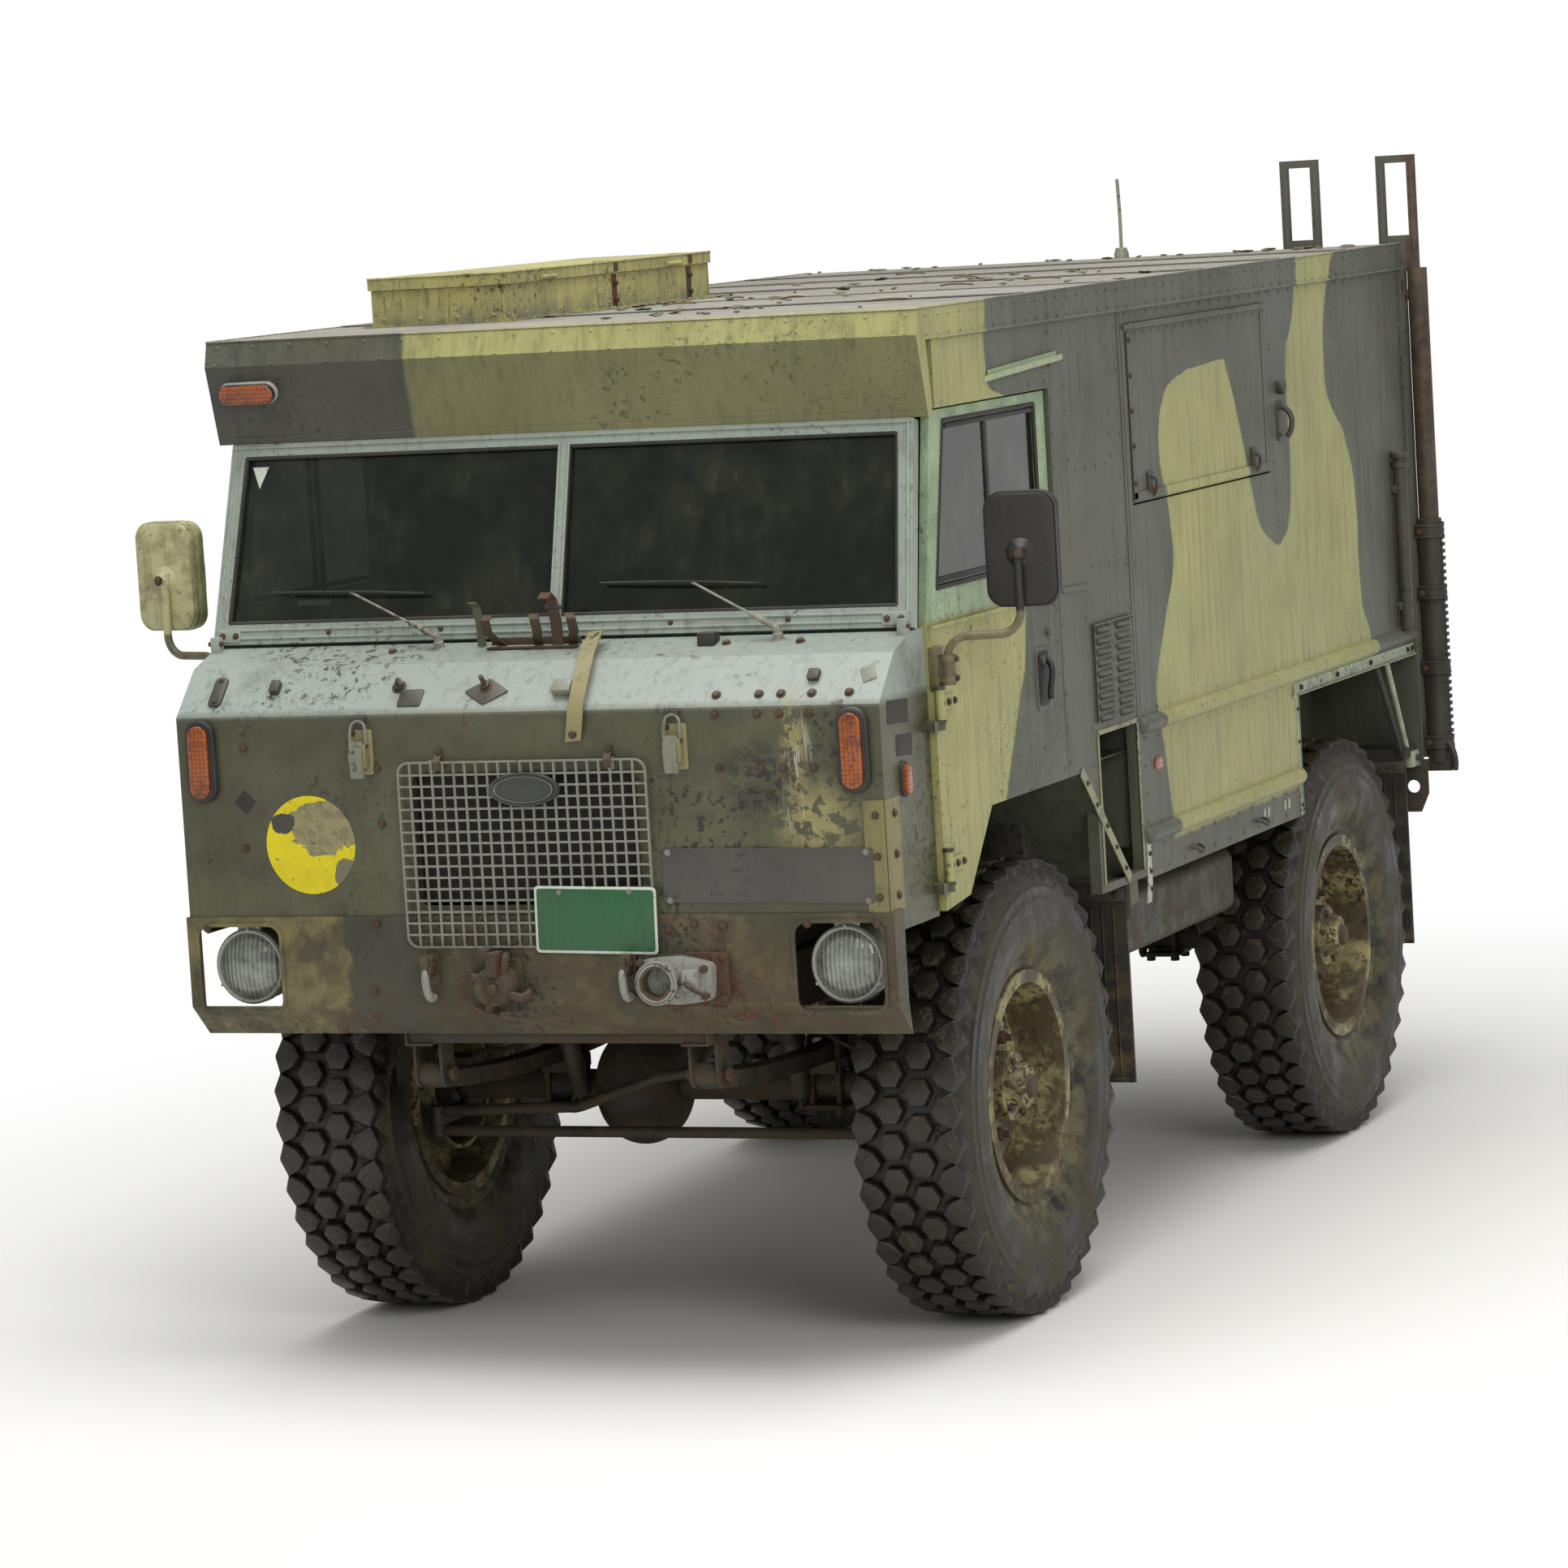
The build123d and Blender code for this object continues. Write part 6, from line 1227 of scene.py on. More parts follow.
pale_edge = painted("pale_worn_edge_paint", "8d8d68", rust=0.7, chips=1.1, dents=0.0)
chalk = painted("chalky_white_paint_patch", "c2c6ae", rust=0.2, chips=0.9, gloss=0.6, dents=0.0)
orange_scale = painted("orange_rusty_plate", "8a4f2c", rust=0.6, gloss=0.7, dents=0.05)
guard_top, guard_low = Vector((0, -0.835, 1.286)), Vector((0, -0.52, 0.978))
bm = bmesh.new()
for side in (-1, 1):
    out = Vector((side, 0, 0))
    slope_line = [Vector((side * 0.9262, 0, 0)) + guard_top, Vector((side * 0.9262, 0, 0)) + guard_low]
    strap(bm, slope_line, (0, 0.02, 0.02), 0.003)
    strap(bm, [p - Vector((side * 0.018, -0.004, -0.004)) for p in slope_line], (side * 0.036, 0, 0), 0.003)
    strap(bm, [slope_line[0].lerp(slope_line[1], 0.06) + out * 0.002,
               slope_line[0].lerp(slope_line[1], 0.34) + out * 0.002], (0, 0.02, 0.02), 0.001, index=1)
    for share in (0.1, 0.3, 0.5, 0.7, 0.9):
        bolt(bm, slope_line[0].lerp(slope_line[1], share) + out * 0.003, out, 0.005, index=3)
    # frame of the intake, its brace, and the rusty plate that shows inside
    for y in (-0.699, -0.401):
        strap(bm, [(side * 0.9255, y, 0.985), (side * 0.9255, y, 1.37)], (0, 0.01, 0), 0.002)
    strap(bm, [(side * 0.9255, -0.7, 1.368), (side * 0.9255, -0.4, 1.368)], (0, 0, 0.012), 0.002)
    rod(bm, [(side * 0.905, -0.66, 1.3), (side * 0.902, -0.655, 1.22), (side * 0.895, -0.62, 1.1)], 0.01,
        index=2)
    strap(bm, [(side * 0.86, -0.62, 1.15), (side * 0.87, -0.54, 1.165), (side * 0.86, -0.5, 1.05)],
          (side * 0.03, 0, -0.09), 0.003, index=4)
    block(bm, (side * 0.66 - 0.05, -0.69, 0.99), (side * 0.66 + 0.05, -0.41, 1.36), edge=0.01, index=2)
    # bracket and white marked end of the step beside the mud flap
    block(bm, (side * 0.86 - 0.055, -0.525, 0.905), (side * 0.86 + 0.055, -0.425, 0.968), edge=0.004,
          index=5)
    strap(bm, [(side * 0.9265, -0.36, 1.055), (side * 0.9265, -0.362, 0.94), (side * 0.926, -0.375, 0.895)],
          (0, 0.03, 0), 0.003, index=1)
    for z in (1.02, 0.975, 0.93):
        bolt(bm, (side * 0.9285, -0.362, z), out, 0.005, index=3)
close(bm, "mudguard_edges", [pale_edge, chalk, dark_part, rust_steel, orange_scale, olive_part])


# The box body is aluminium panels riveted over posts. Half-round rub rails with spun ends
# run along it, and pale angle strips edge the rear arches.
box_skin = 0.924
bm = bmesh.new()
for side in (-1, 1):
    skin = side * box_skin
    rivet_rows(bm, skin, *((y, 1.39, y, 2.4, 0.075) for y in (-0.345, 0.845, 1.455, 2.075)),
               *((y, 1.1, y, 1.315, 0.07) for y in (-0.345, 0.3, 0.905)), (0.25, 1.39, 0.25, 1.88, 0.08),
               (-0.33, 2.395, 2.07, 2.395, 0.085), (-0.33, 1.31, 2.05, 1.31, 0.1),
               (-0.33, 1.385, 2.05, 1.385, 0.1), (-0.33, 1.03, 0.9, 1.03, 0.1),
               (-0.33, 0.972, 0.92, 0.972, 0.12))
    # spun ends of the rub rails, and screws along their lips
    for y, z in ((-0.364, 1.349), (2.044, 1.349), (-0.364, 1.066), (0.922, 1.066)):
        bmesh.ops.create_uvsphere(bm, u_segments=16, v_segments=10, radius=0.0222,
                                  matrix=Matrix.Translation((skin, y, z)) @ Matrix.Diagonal((1, 0.6, 1, 1)))
    # corner angles up the box's front and tail
    strap(bm, [(skin + side * 0.002, -0.355, 1.38), (skin + side * 0.002, -0.355, 2.405)], (0, 0.028, 0),
          0.002)
    strap(bm, [(skin + side * 0.002, 2.086, 1.38), (skin + side * 0.002, 2.086, 2.405)], (0, 0.028, 0),
          0.002)
    rod(bm, [(skin, 2.1, 0.96), (skin, 2.1, 2.41)], 0.004)
close(bm, "box_rivets_and_rails", side_paint)
bm = bmesh.new()
for side in (-1, 1):
    out = Vector((side, 0, 0))
    # hooks for lashings under the rails, with their worn white squares on the sill
    for y in (0.62, 0.8):
        for step in (-0.018, 0.018):
            panel(bm, 0.012, 0.026, 0.001, (side * box_skin, y + step, 1.002), out, index=1)
    for y in (0.0, 0.55):
        rod(bm, [(side * 0.926, y - 0.03, 0.992), (side * 0.944, y - 0.026, 0.99), (side * 0.95, y, 0.972),
                 (side * 0.944, y + 0.026, 0.99), (side * 0.926, y + 0.03, 0.992)], 0.004)
    panel(bm, 0.06, 0.03, 0.004, (side * box_skin, -0.25, 1.24), out, rounding=0.012, index=2)
close(bm, "lashing_hooks", [dark_part, chalk, amber])

arch_paint = painted("pale_green_worn_angle", "a3ad92", rust=0.3, chips=1.1, mud=(0.4, 1.5), gloss=0.45,
                     dents=0.02)
bm = bmesh.new()
for side in (-1, 1):
    out = Vector((side, 0, 0))
    skin = side * (box_skin + 0.002)
    # angle along the arch's top, folded out at its foot, with its notched front end
    strap(bm, [(skin, 0.915, 1.305), (skin, 2.06, 1.305)], (0, 0, 0.034), 0.003)
    strap(bm, [(skin + side * 0.004, 0.93, 1.2885), (skin + side * 0.004, 2.055, 1.2885)],
          (side * 0.012, 0, 0), 0.002)
    strap(bm, [(skin, 0.905, 1.318), (skin + side * 0.008, 0.9, 1.3), (skin, 0.905, 1.28)], (0, 0.014, 0),
          0.002)
    for y in (0.965, 1.3, 1.62, 1.99, 2.035):
        bolt(bm, (skin + side * 0.002, y, 1.307), out, 0.006, index=1)
    # flange down the arch's front edge, and the strut at its tail with a cast foot
    strap(bm, [(skin, 0.9265, 1.29), (skin, 0.9265, 0.957)], (0, 0.012, 0), 0.003)
    strap(bm, [(skin - side * 0.014, 0.9425, 1.288), (skin - side * 0.014, 0.9425, 0.957)],
          (side * 0.03, 0, 0), 0.002)
    for z in (1.25, 1.16, 1.07, 0.985):
        bolt(bm, (skin + side * 0.001, 0.927, z), out, 0.004, index=1)
    rod(bm, [(side * 0.905, 1.845, 1.288), (side * 0.905, 1.905, 1.19), (side * 0.905, 2.017, 1.0)], 0.0085,
        order=2)
    block(bm, (side * 0.905 - 0.018, 2.01, 0.958), (side * 0.905 + 0.018, 2.075, 1.006), edge=0.006)
    disc(bm, (side * 0.923, 2.04, 0.985), out, 0.01, 0.008, sides=6, index=1)
    # drilled hanger plate over the rear mud flap
    work = bmesh.new()
    hanger = ((-0.055, 0.08), (0.045, 0.08), (0.045, -0.02), (0.02, -0.075), (-0.055, -0.075))
    outer = [work.verts.new((x, z, 0)) for x, z in hanger]
    rim = [work.edges.new(pair) for pair in zip(outer, outer[1:] + outer[:1])]
    hole = bmesh.ops.create_circle(work, segments=20, radius=0.019)
    rim += list({e for v in hole["verts"] for e in v.link_edges})
    bmesh.ops.triangle_fill(work, edges=rim, use_beauty=True)
    bmesh.ops.solidify(work, geom=work.faces[:], thickness=0.005)
    pour(bm, work, facing((side * 0.898, 2.088, 0.895), front), 2)
# the tube on the left side near the tail corner, with a flanged cap
post = Vector((0.948, 1.935, 0))
turned(bm, [(0.018, 1.376), (0.02, 1.38), (0.0205, 1.838), (0.024, 1.842), (0.0235, 1.856), (0.019, 1.86),
            (0.019, 1.868), (0.0265, 1.871), (0.0265, 1.882), (0.022, 1.886), (0, 1.886)], post, (0, 0, 1),
       index=2)
for z in (1.44, 1.78):
    ring(bm, post + Vector((0, 0, z)), (0, 0, 1), 0.021, 0.003, sides=20, index=2)
    block(bm, (0.922, 1.912, z - 0.012), (0.942, 1.958, z + 0.012), edge=0.003, index=2)
close(bm, "rear_arch_edges", [arch_paint, rust_steel, dark_part])

# the side shutter: its piano hinge, the channel down its front edge, latches and a stay eye
bm = bmesh.new()
face = box_skin
hinge_x, hinge_z, hinge_length, knuckles = 0.929, 2.364, 1.131, 28
for number in range(knuckles):
    start = -0.333 + number * hinge_length / knuckles
    disc(bm, (hinge_x, start + 0.001, hinge_z), (0, 1, 0), 0.0082, hinge_length / knuckles - 0.002, sides=12)
rivets(bm, (face, -0.32, 2.345), (face, 0.785, 2.345), (1, 0, 0), 0.065)
strap(bm, [(face + 0.002, -0.318, 1.925), (face + 0.002, -0.318, 2.35)], (0, 0.026, 0), 0.003)
strap(bm, [(face + 0.002, 0.786, 1.925), (face + 0.002, 0.786, 2.35)], (0, 0.022, 0), 0.003)
strap(bm, [(face + 0.002, -0.33, 1.93), (face + 0.002, 0.795, 1.93)], (0, 0, 0.022), 0.003)
for z in (1.965, 2.06, 2.15, 2.24, 2.33):
    bolt(bm, (face + 0.004, -0.318, z), (1, 0, 0), 0.006, index=1)
rivets(bm, (face + 0.003, -0.3, 1.93), (face + 0.003, 0.78, 1.93), (1, 0, 0), 0.09)
for y in (-0.2, 0.66):
    panel(bm, 0.04, 0.055, 0.005, (face + 0.002, y, 1.962), (1, 0, 0), rounding=0.006, index=2)
    rod(bm, [(face + 0.006, y, 1.975), (face + 0.02, y, 1.972), (face + 0.022, y, 1.945),
             (face + 0.01, y, 1.925)], 0.005, index=2)
close(bm, "shutter_hinge_and_latches", [side_paint, rust_steel, dark_part], "side_shutter")
# a cleat on the side behind the shutter, where its stay hooks in
bm = bmesh.new()
panel(bm, 0.05, 0.11, 0.005, (box_skin, 0.905, 2.045), (1, 0, 0), rounding=0.008)
rod(bm, [(box_skin + 0.005, 0.905, 2.085), (box_skin + 0.034, 0.905, 2.075), (box_skin + 0.038, 0.905, 2.02),
         (box_skin + 0.02, 0.905, 2.0)], 0.008)
for z in (2.008, 2.082):
    bolt(bm, (box_skin + 0.005, 0.888, z), (1, 0, 0), 0.006, index=1)
disc(bm, (box_skin, 0.905, 2.135), (1, 0, 0), 0.018, 0.022, sides=18, edge=0.003)
close(bm, "shutter_cleat", [dark_part, rust_steel])


# The tail: a framed door on forged hinge straps, lamp glasses, reflectors, a blank plate
# and mud flaps. The ladder carries a lifting jack with a toothed rack, brown with rust.
back = (0, 1, 0)
bm = bmesh.new()
for x in (-0.435, 0.435):
    strap(bm, [(x, tail + 0.002, 1.075), (x, tail + 0.002, 2.315)], (0.026, 0, 0), 0.003)
    rivets(bm, (x, tail + 0.004, 1.09), (x, tail + 0.004, 2.3), back, 0.1)
for z in (1.078, 2.312):
    strap(bm, [(-0.435, tail + 0.002, z), (0.435, tail + 0.002, z)], (0, 0, 0.026), 0.003)
    rivets(bm, (-0.4, tail + 0.004, z), (0.4, tail + 0.004, z), back, 0.1)
strap(bm, [(-0.42, tail + 0.002, 1.7), (0.42, tail + 0.002, 1.7)], (0, 0, 0.04), 0.004)
block(bm, (-0.25, tail, 1.86), (0.25, tail + 0.006, 2.2), index=1)
pane = ((-0.25, 1.86), (0.25, 1.86), (0.25, 2.2), (-0.25, 2.2))
rod_frame(bm, [(x, tail + 0.006, z) for x, z in pane], 0.007, index=2)
for z in (1.25, 1.7, 2.15):
    for x in (-0.425, -0.385, -0.345):
        bolt(bm, (x, tail + 0.008, z), back, 0.008, index=3)
rod(bm, [(0.3, tail + 0.004, 1.4), (0.3, tail + 0.05, 1.41), (0.3, tail + 0.05, 1.56),
         (0.3, tail + 0.004, 1.57)], 0.009, index=4)
for z in (1.4, 1.57):
    panel(bm, 0.036, 0.046, 0.004, (0.3, tail, z), back, rounding=0.006, index=4)
close(bm, "rear_door_fittings", [side_paint, window_glass, black_rubber, rust_steel, dark_part],
      "rear_door")

red_lens, tree, shader, place = begin("red_acrylic", Roughness=0.2, IOR=1.49, Coat_Weight=0.6,
                                      Coat_Roughness=0.1)
rings = add(tree, "TexVoronoi", {"Vector": place, "Scale": 140.0, "Randomness": 0.1},
            feature="DISTANCE_TO_EDGE")
walls = add(tree, "MapRange", {"Value": rings, "From Min": 0.02, "From Max": 0.1})
colour = laid(tree, rgb("5a0c08"), ("a01a12", walls), ("3c2a1e", wear(tree, place, 0.05, 0.5, 0.65), 0.6))
connect(shader, Base_Color=colour, Normal=add(tree, "Bump",
                                              {"Height": rings, "Strength": 0.4, "Distance": 0.002}))
bm = bmesh.new()
for side in (-1, 1):
    for z, index in ((1.01, 1), (1.1, 2)):
        at = Vector((side * 0.775, tail + 0.0303, z))
        turned(bm, [(0, 0.014), (0.015, 0.013), (0.028, 0.009), (0.034, 0.0)], at, back, sides=32,
               index=index)
        turned(bm, [(0.033, 0.0), (0.034, 0.005), (0.038, 0.005), (0.0395, 0.0), (0.0395, -0.025)], at, back,
               sides=32)
    turned(bm, [(0, 0.008), (0.03, 0.008), (0.034, 0.004), (0.034, 0.0)], (side * 0.86, tail, 0.995), back,
           sides=28, index=1)
    strap(bm, [(side * 0.905, tail + 0.002, 0.97), (side * 0.905, tail + 0.002, 2.4)], (0.03, 0, 0), 0.003,
          index=3)
    rivets(bm, (side * 0.905, tail + 0.004, 0.99), (side * 0.905, tail + 0.004, 2.39), back, 0.09, index=3)
    strap(bm, [(side * 0.48, tail + 0.002, 0.97), (side * 0.48, tail + 0.002, 2.4)], (0.026, 0, 0), 0.003,
          index=3)
    rivets(bm, (side * 0.48, tail + 0.004, 0.99), (side * 0.48, tail + 0.004, 2.39), back, 0.09, index=3)
rivets(bm, (-0.88, tail, 2.395), (0.88, tail, 2.395), back, 0.09, index=3)
rivets(bm, (-0.88, tail, 0.975), (0.88, tail, 0.975), back, 0.1, index=3)
strap(bm, [(-0.46, tail + 0.002, 2.345), (0.46, tail + 0.002, 2.345)], (0, 0.0, 0.014), 0.004, index=3)
panel(bm, 0.34, 0.11, 0.003, (-0.6, tail, 1.2), back, rounding=0.008, index=4)
for x in (-0.7, -0.5):
    bolt(bm, (x, tail + 0.003, 1.2), back, 0.006, index=5)
close(bm, "tail_lamps_and_strips", [black_rubber, red_lens, amber, side_paint, grey_enamel, rust_steel])


def jack_coat(tree, place):
    """Dark paint on the ladder, and the jack beside it rusty brown with a redder pole."""
    x, _, height = add(tree, "SeparateXYZ", {0: place}).outputs
    jack = past(tree, x, 0.937, 0.002)
    pole = past(tree, height, 1.676, 0.004)
    grime = wear(tree, place, 0.05, 0.4, 0.62, shift=9.0)
    return laid(tree, rgb("45443a"), ("2c261d", jack), ("4d3a26", jack, pole), ("1f1a14", jack, grime, 0.8))


ladder_paint = painted("ladder_and_jack_paint_and_rust", jack_coat, rust=0.45, chips=0.7, gloss=0.6,
                       dents=0.02)
dress(ladder_paint, "rear_ladder")
bm = bmesh.new()
jack_x, stile_y = 0.964, 2.15
for number in range(34):
    z = 0.985 + number * 0.0203
    block(bm, (jack_x + 0.026, stile_y - 0.012, z), (jack_x + 0.042, stile_y + 0.012, z + 0.011))
for z in (1.02, 1.24, 1.46, 1.64):
    for step in (-0.016, 0.016):
        ring(bm, (jack_x, stile_y, z + step), (0, 0, 1), 0.0415, 0.003)
    bolt(bm, (jack_x - 0.02, stile_y - 0.0415, z), (0, -1, 0), 0.007, index=1)
for z in (1.08, 1.64, 2.33):
    bolt(bm, (0.936, stile_y - 0.012, z), (0, -1, 0), 0.007, index=1)
block(bm, (jack_x - 0.045, stile_y - 0.03, 0.935), (jack_x + 0.045, stile_y + 0.03, 0.968), edge=0.006)
rod(bm, [(jack_x + 0.03, stile_y - 0.02, 1.02), (jack_x + 0.062, stile_y - 0.045, 0.985),
         (jack_x + 0.052, stile_y - 0.035, 0.94)], 0.01)
for x in (0.622, 0.914):
    for z in (2.445, 2.475):
        bolt(bm, (x, stile_y + 0.011, z - 0.03), back, 0.008, index=1)
    for leg in (-0.046, 0.046):
        rod(bm, [(x + leg, stile_y, 2.46), (x + leg, stile_y, 2.7)], 0.0135)
close(bm, "ladder_and_jack_fittings", [ladder_paint, rust_steel])


# Mirror heads are black moulded shells with a rolled rim, a clamp boss and silvered glass.
# Their bent arms are steel tube with worn olive paint. The right shell has faded to cream.
def mirror_coat(tree, place):
    """Olive-brown on the arms, black on the left head and cream on the right head."""
    x, _, height = add(tree, "SeparateXYZ", {0: place}).outputs
    head = past(tree, height, 1.768, 0.004)
    cream = laid(tree, rgb("b5b184"), ("8a875f", wear(tree, place, 0.05, 0.45, 0.6), 0.8))
    return laid(tree, rgb("5a543c"), ("746c4a", wear(tree, place, 0.06, 0.4, 0.6), 0.8), ("191713", head),
                (cream, head, past(tree, 0.0, x)))


mirror_paint = painted("mirror_shells_and_arms", mirror_coat, rust=0.4, gloss=0.45, dents=0.0, dust=0.1)
dress(mirror_paint, "mirror_left", "mirror_right")
silvered, tree, shader, place = begin("silvered_mirror_glass", Metallic=1.0, Roughness=0.04)
tone = laid(tree, rgb("c8ccca"), ("8c8c82", wear(tree, place, 0.05, 0.5, 0.7), 0.5))
connect(shader, Base_Color=tone)
for name, side, head_y, turn in (("left", 1, -1.68, 8.0), ("right", -1, -1.69, -8.0)):
    turn = radians(turn)
    centre = Vector((side * 1.1196, head_y, 1.91))
    ahead = Vector((sin(turn), -cos(turn), 0))
    bm = bmesh.new()
    for width, height, thick, step, edge_size, rounding in ((0.176, 0.272, 0.012, -0.006, 0.004, 0.044),
                                                            (0.166, 0.262, 0.01, 0.02, 0.007, 0.04)):
        panel(bm, width, height, thick, centre + ahead * step, ahead, rounding=rounding, edge=edge_size)
    turned(bm, [(0, 0.026), (0.012, 0.026), (0.015, 0.02), (0.02, 0.012), (0.03, 0.006), (0.036, 0.0)],
           centre + ahead * 0.029 + Vector((0, 0, -0.008)), ahead)
    bolt(bm, centre + ahead * 0.055 + Vector((0, 0, -0.008)), ahead, 0.009, index=2)
    panel(bm, 0.158, 0.254, 0.003, centre - ahead * 0.0235, -ahead, rounding=0.036, edge=0.001, index=1)
    bead = ((-0.08, -0.1), (-0.08, 0.1), (-0.05, 0.129), (0.05, 0.129), (0.08, 0.1), (0.08, -0.1),
            (0.05, -0.129), (-0.05, -0.129), (-0.08, -0.1))
    rod(bm, [centre - ahead * 0.024 + Vector((cos(turn) * x, sin(turn) * x, z)) for x, z in bead], 0.005,
        index=3)
    # clamps where the arm stands on the door's hinge bracket
    foot = Vector((side * 0.955, -1.78, 1.62))
    for z in (0.0, 0.045):
        turned(bm, [(0.017, -0.008), (0.021, -0.008), (0.021, 0.008), (0.017, 0.008)],
               foot + Vector((0, 0, z)), (0, 0, 1), sides=20)
        bolt(bm, foot + Vector((side * 0.021, 0, z)), (side, 0, 0), 0.006, index=2)
    block(bm, foot + Vector((-side * 0.03 - 0.012, -0.022, -0.03)),
          foot + Vector((-side * 0.03 + 0.012, 0.022, 0.075)), edge=0.003)
    close(bm, "mirror_fittings_" + name, [mirror_paint, silvered, rust_steel, black_rubber],
          "door_" + name)


# Mud flaps are ribbed rubber sheet under steel clamping bars. The rear ones hang from a
# holed bracket plate.
flap_rubber, tree, shader, place = begin("muddy_flap_rubber", Roughness=0.72)
low = past(tree, 0.75, add(tree, "SeparateXYZ", {0: place}).outputs[2], 0.2)
tone = laid(tree, rgb("24221f"), ("3a352b", wear(tree, place, 0.12, 0.4, 0.65), 0.8),
            ("55462f", low, wear(tree, place, 0.05, 0.45, 0.6)))
grain = add(tree, "TexNoise", {"Vector": place, "Scale": 120.0, "Detail": 4.0})
connect(shader, Base_Color=tone, Normal=add(tree, "Bump",
                                            {"Height": grain, "Strength": 0.4, "Distance": 0.001}))
dress(flap_rubber, "mud_flaps")
bm = bmesh.new()
for side in (-1, 1):
    for face_y, way, top in ((-0.5203, 1, 0.955), (-0.5303, -1, 0.955), (1.957, 1, 0.985),
                             (1.947, -1, 0.985)):
        out = Vector((0, way, 0))
        base = Vector((side * 0.79, face_y, 0))
        block(bm, base + Vector((-0.123, min(0, way * 0.004), top - 0.035)),
              base + Vector((0.123, max(0, way * 0.004), top)), edge=0.001, index=1)
        for x in (-0.1, -0.035, 0.035, 0.1):
            bolt(bm, base + Vector((x, way * 0.004, top - 0.018)), out, 0.007, index=2)
        for x in (-0.09, -0.06, -0.03, 0.0, 0.03, 0.06, 0.09):
            rod(bm, [base + Vector((x, way * 0.001, 0.48)), base + Vector((x, way * 0.001, top - 0.05))],
                0.003)
        rod(bm, [base + Vector((-0.118, way * 0.001, 0.465)), base + Vector((0.118, way * 0.001, 0.465))],
            0.004)
close(bm, "flap_ribs_and_bars", [flap_rubber, dark_part, rust_steel])


# The seats are vinyl over foam on painted pans: a cushion and a tall back, swollen by
# their filling, with piped edges and sewn channels. They face forward behind each dial panel.
vinyl, tree, shader, place = begin("dark_green_vinyl", Roughness=0.45)
tone = laid(tree, rgb("23261f"), ("33362b", wear(tree, place, 0.12, 0.4, 0.65)),
            ("565240", wear(tree, place, 0.03, 0.6, 0.66, shift=3.0), 0.6))
leather = add(tree, "TexVoronoi", {"Vector": place, "Scale": 380.0}, feature="DISTANCE_TO_EDGE")
connect(shader, Base_Color=tone, Normal=add(tree, "Bump",
                                            {"Height": leather, "Strength": 0.25, "Distance": 0.001}))
piping = painted("black_vinyl_piping", "171714", rust=0.0, chips=0.0, gloss=0.45, dents=0.0, dust=0.2)


def swollen(low, high, cap):
    """A closed pad between two corners, blown up by cloth pressure and held to a cap."""
    bm = bmesh.new()
    bmesh.ops.create_cube(bm, size=1, matrix=between(low, high))
    bmesh.ops.bevel(bm, geom=bm.edges[:], offset=0.022, segments=3, affect="EDGES", profile=0.5, material=-1)
    mesh = bpy.data.meshes.new("pad_block")
    bm.to_mesh(mesh)
    bm.free()
    block_object = bpy.data.objects.new("pad_block", mesh)
    bpy.context.collection.objects.link(block_object)
    remesh = block_object.modifiers.new("remesh", "REMESH")
    remesh.mode, remesh.voxel_size = "VOXEL", 0.006
    shape = bpy.data.meshes.new_from_object(block_object.evaluated_get(bpy.context.evaluated_depsgraph_get()))
    bpy.data.objects.remove(block_object)
    pad = bpy.data.objects.new("pad", shape)
    bpy.context.collection.objects.link(pad)
    start = [v.co.copy() for v in shape.vertices]
    cloth = pad.modifiers.new("cloth", "CLOTH")
    cloth.settings.use_pressure = True
    cloth.settings.uniform_pressure_force = 4.0
    cloth.settings.effector_weights.gravity = 0.0
    cloth.settings.quality = 4
    cloth.collision_settings.use_collision = False
    for frame_number in range(1, 21):
        bpy.context.scene.frame_set(frame_number)
    moved = pad.evaluated_get(bpy.context.evaluated_depsgraph_get()).to_mesh()
    swell = [v.co.copy() for v in moved.vertices]
    bpy.context.scene.frame_set(1)
    pad.modifiers.clear()
    for v, one, two in zip(shape.vertices, start, swell):
        step = two - one
        v.co = one + step * min(1.0, cap / max(step.length, 1e-6))
    bpy.data.objects.remove(pad)
    return shape


def channels(mesh, toward, across, lines, deep, seam_width=0.007):
    """Sinks sewn seams into the face of a pad that looks toward a direction."""
    for v in mesh.vertices:
        face = max(0.0, v.normal.dot(toward) - 0.4) / 0.6
        for line in lines:
            v.co -= toward * (deep * face * exp(-((v.co.dot(across) - line) / seam_width) ** 2))


seat_x, seat_w = 0.6, 0.44
seams = (-0.13, -0.045, 0.045, 0.13)
cushion = swollen((-seat_w / 2 + 0.01, -1.408, 1.358), (seat_w / 2 - 0.01, -0.975, 1.452), 0.012)
channels(cushion, Vector((0, 0, 1)), Vector((1, 0, 0)), seams, 0.007)
back_pad = swollen((-seat_w / 2 + 0.01, -1.056, 1.474), (seat_w / 2 - 0.01, -0.968, 2.01), 0.012)
channels(back_pad, Vector((0, -1, 0)), Vector((1, 0, 0)), seams, 0.007)
for name, middle in (("left", seat_x), ("right", -seat_x)):
    for part, mesh in (("cushion", cushion), ("back", back_pad)):
        bm = bmesh.new()
        bm.from_mesh(mesh)
        bm.transform(Matrix.Translation((middle, 0, 0)))
        pad = close(bm, "seat_%s_%s" % (part, name), vinyl, smooth=False,
                    replaces=["seat_pads"])
        pad.data.shade_smooth()
bpy.data.meshes.remove(cushion)
bpy.data.meshes.remove(back_pad)
bm = bmesh.new()
wide = seat_w / 2 - 0.014
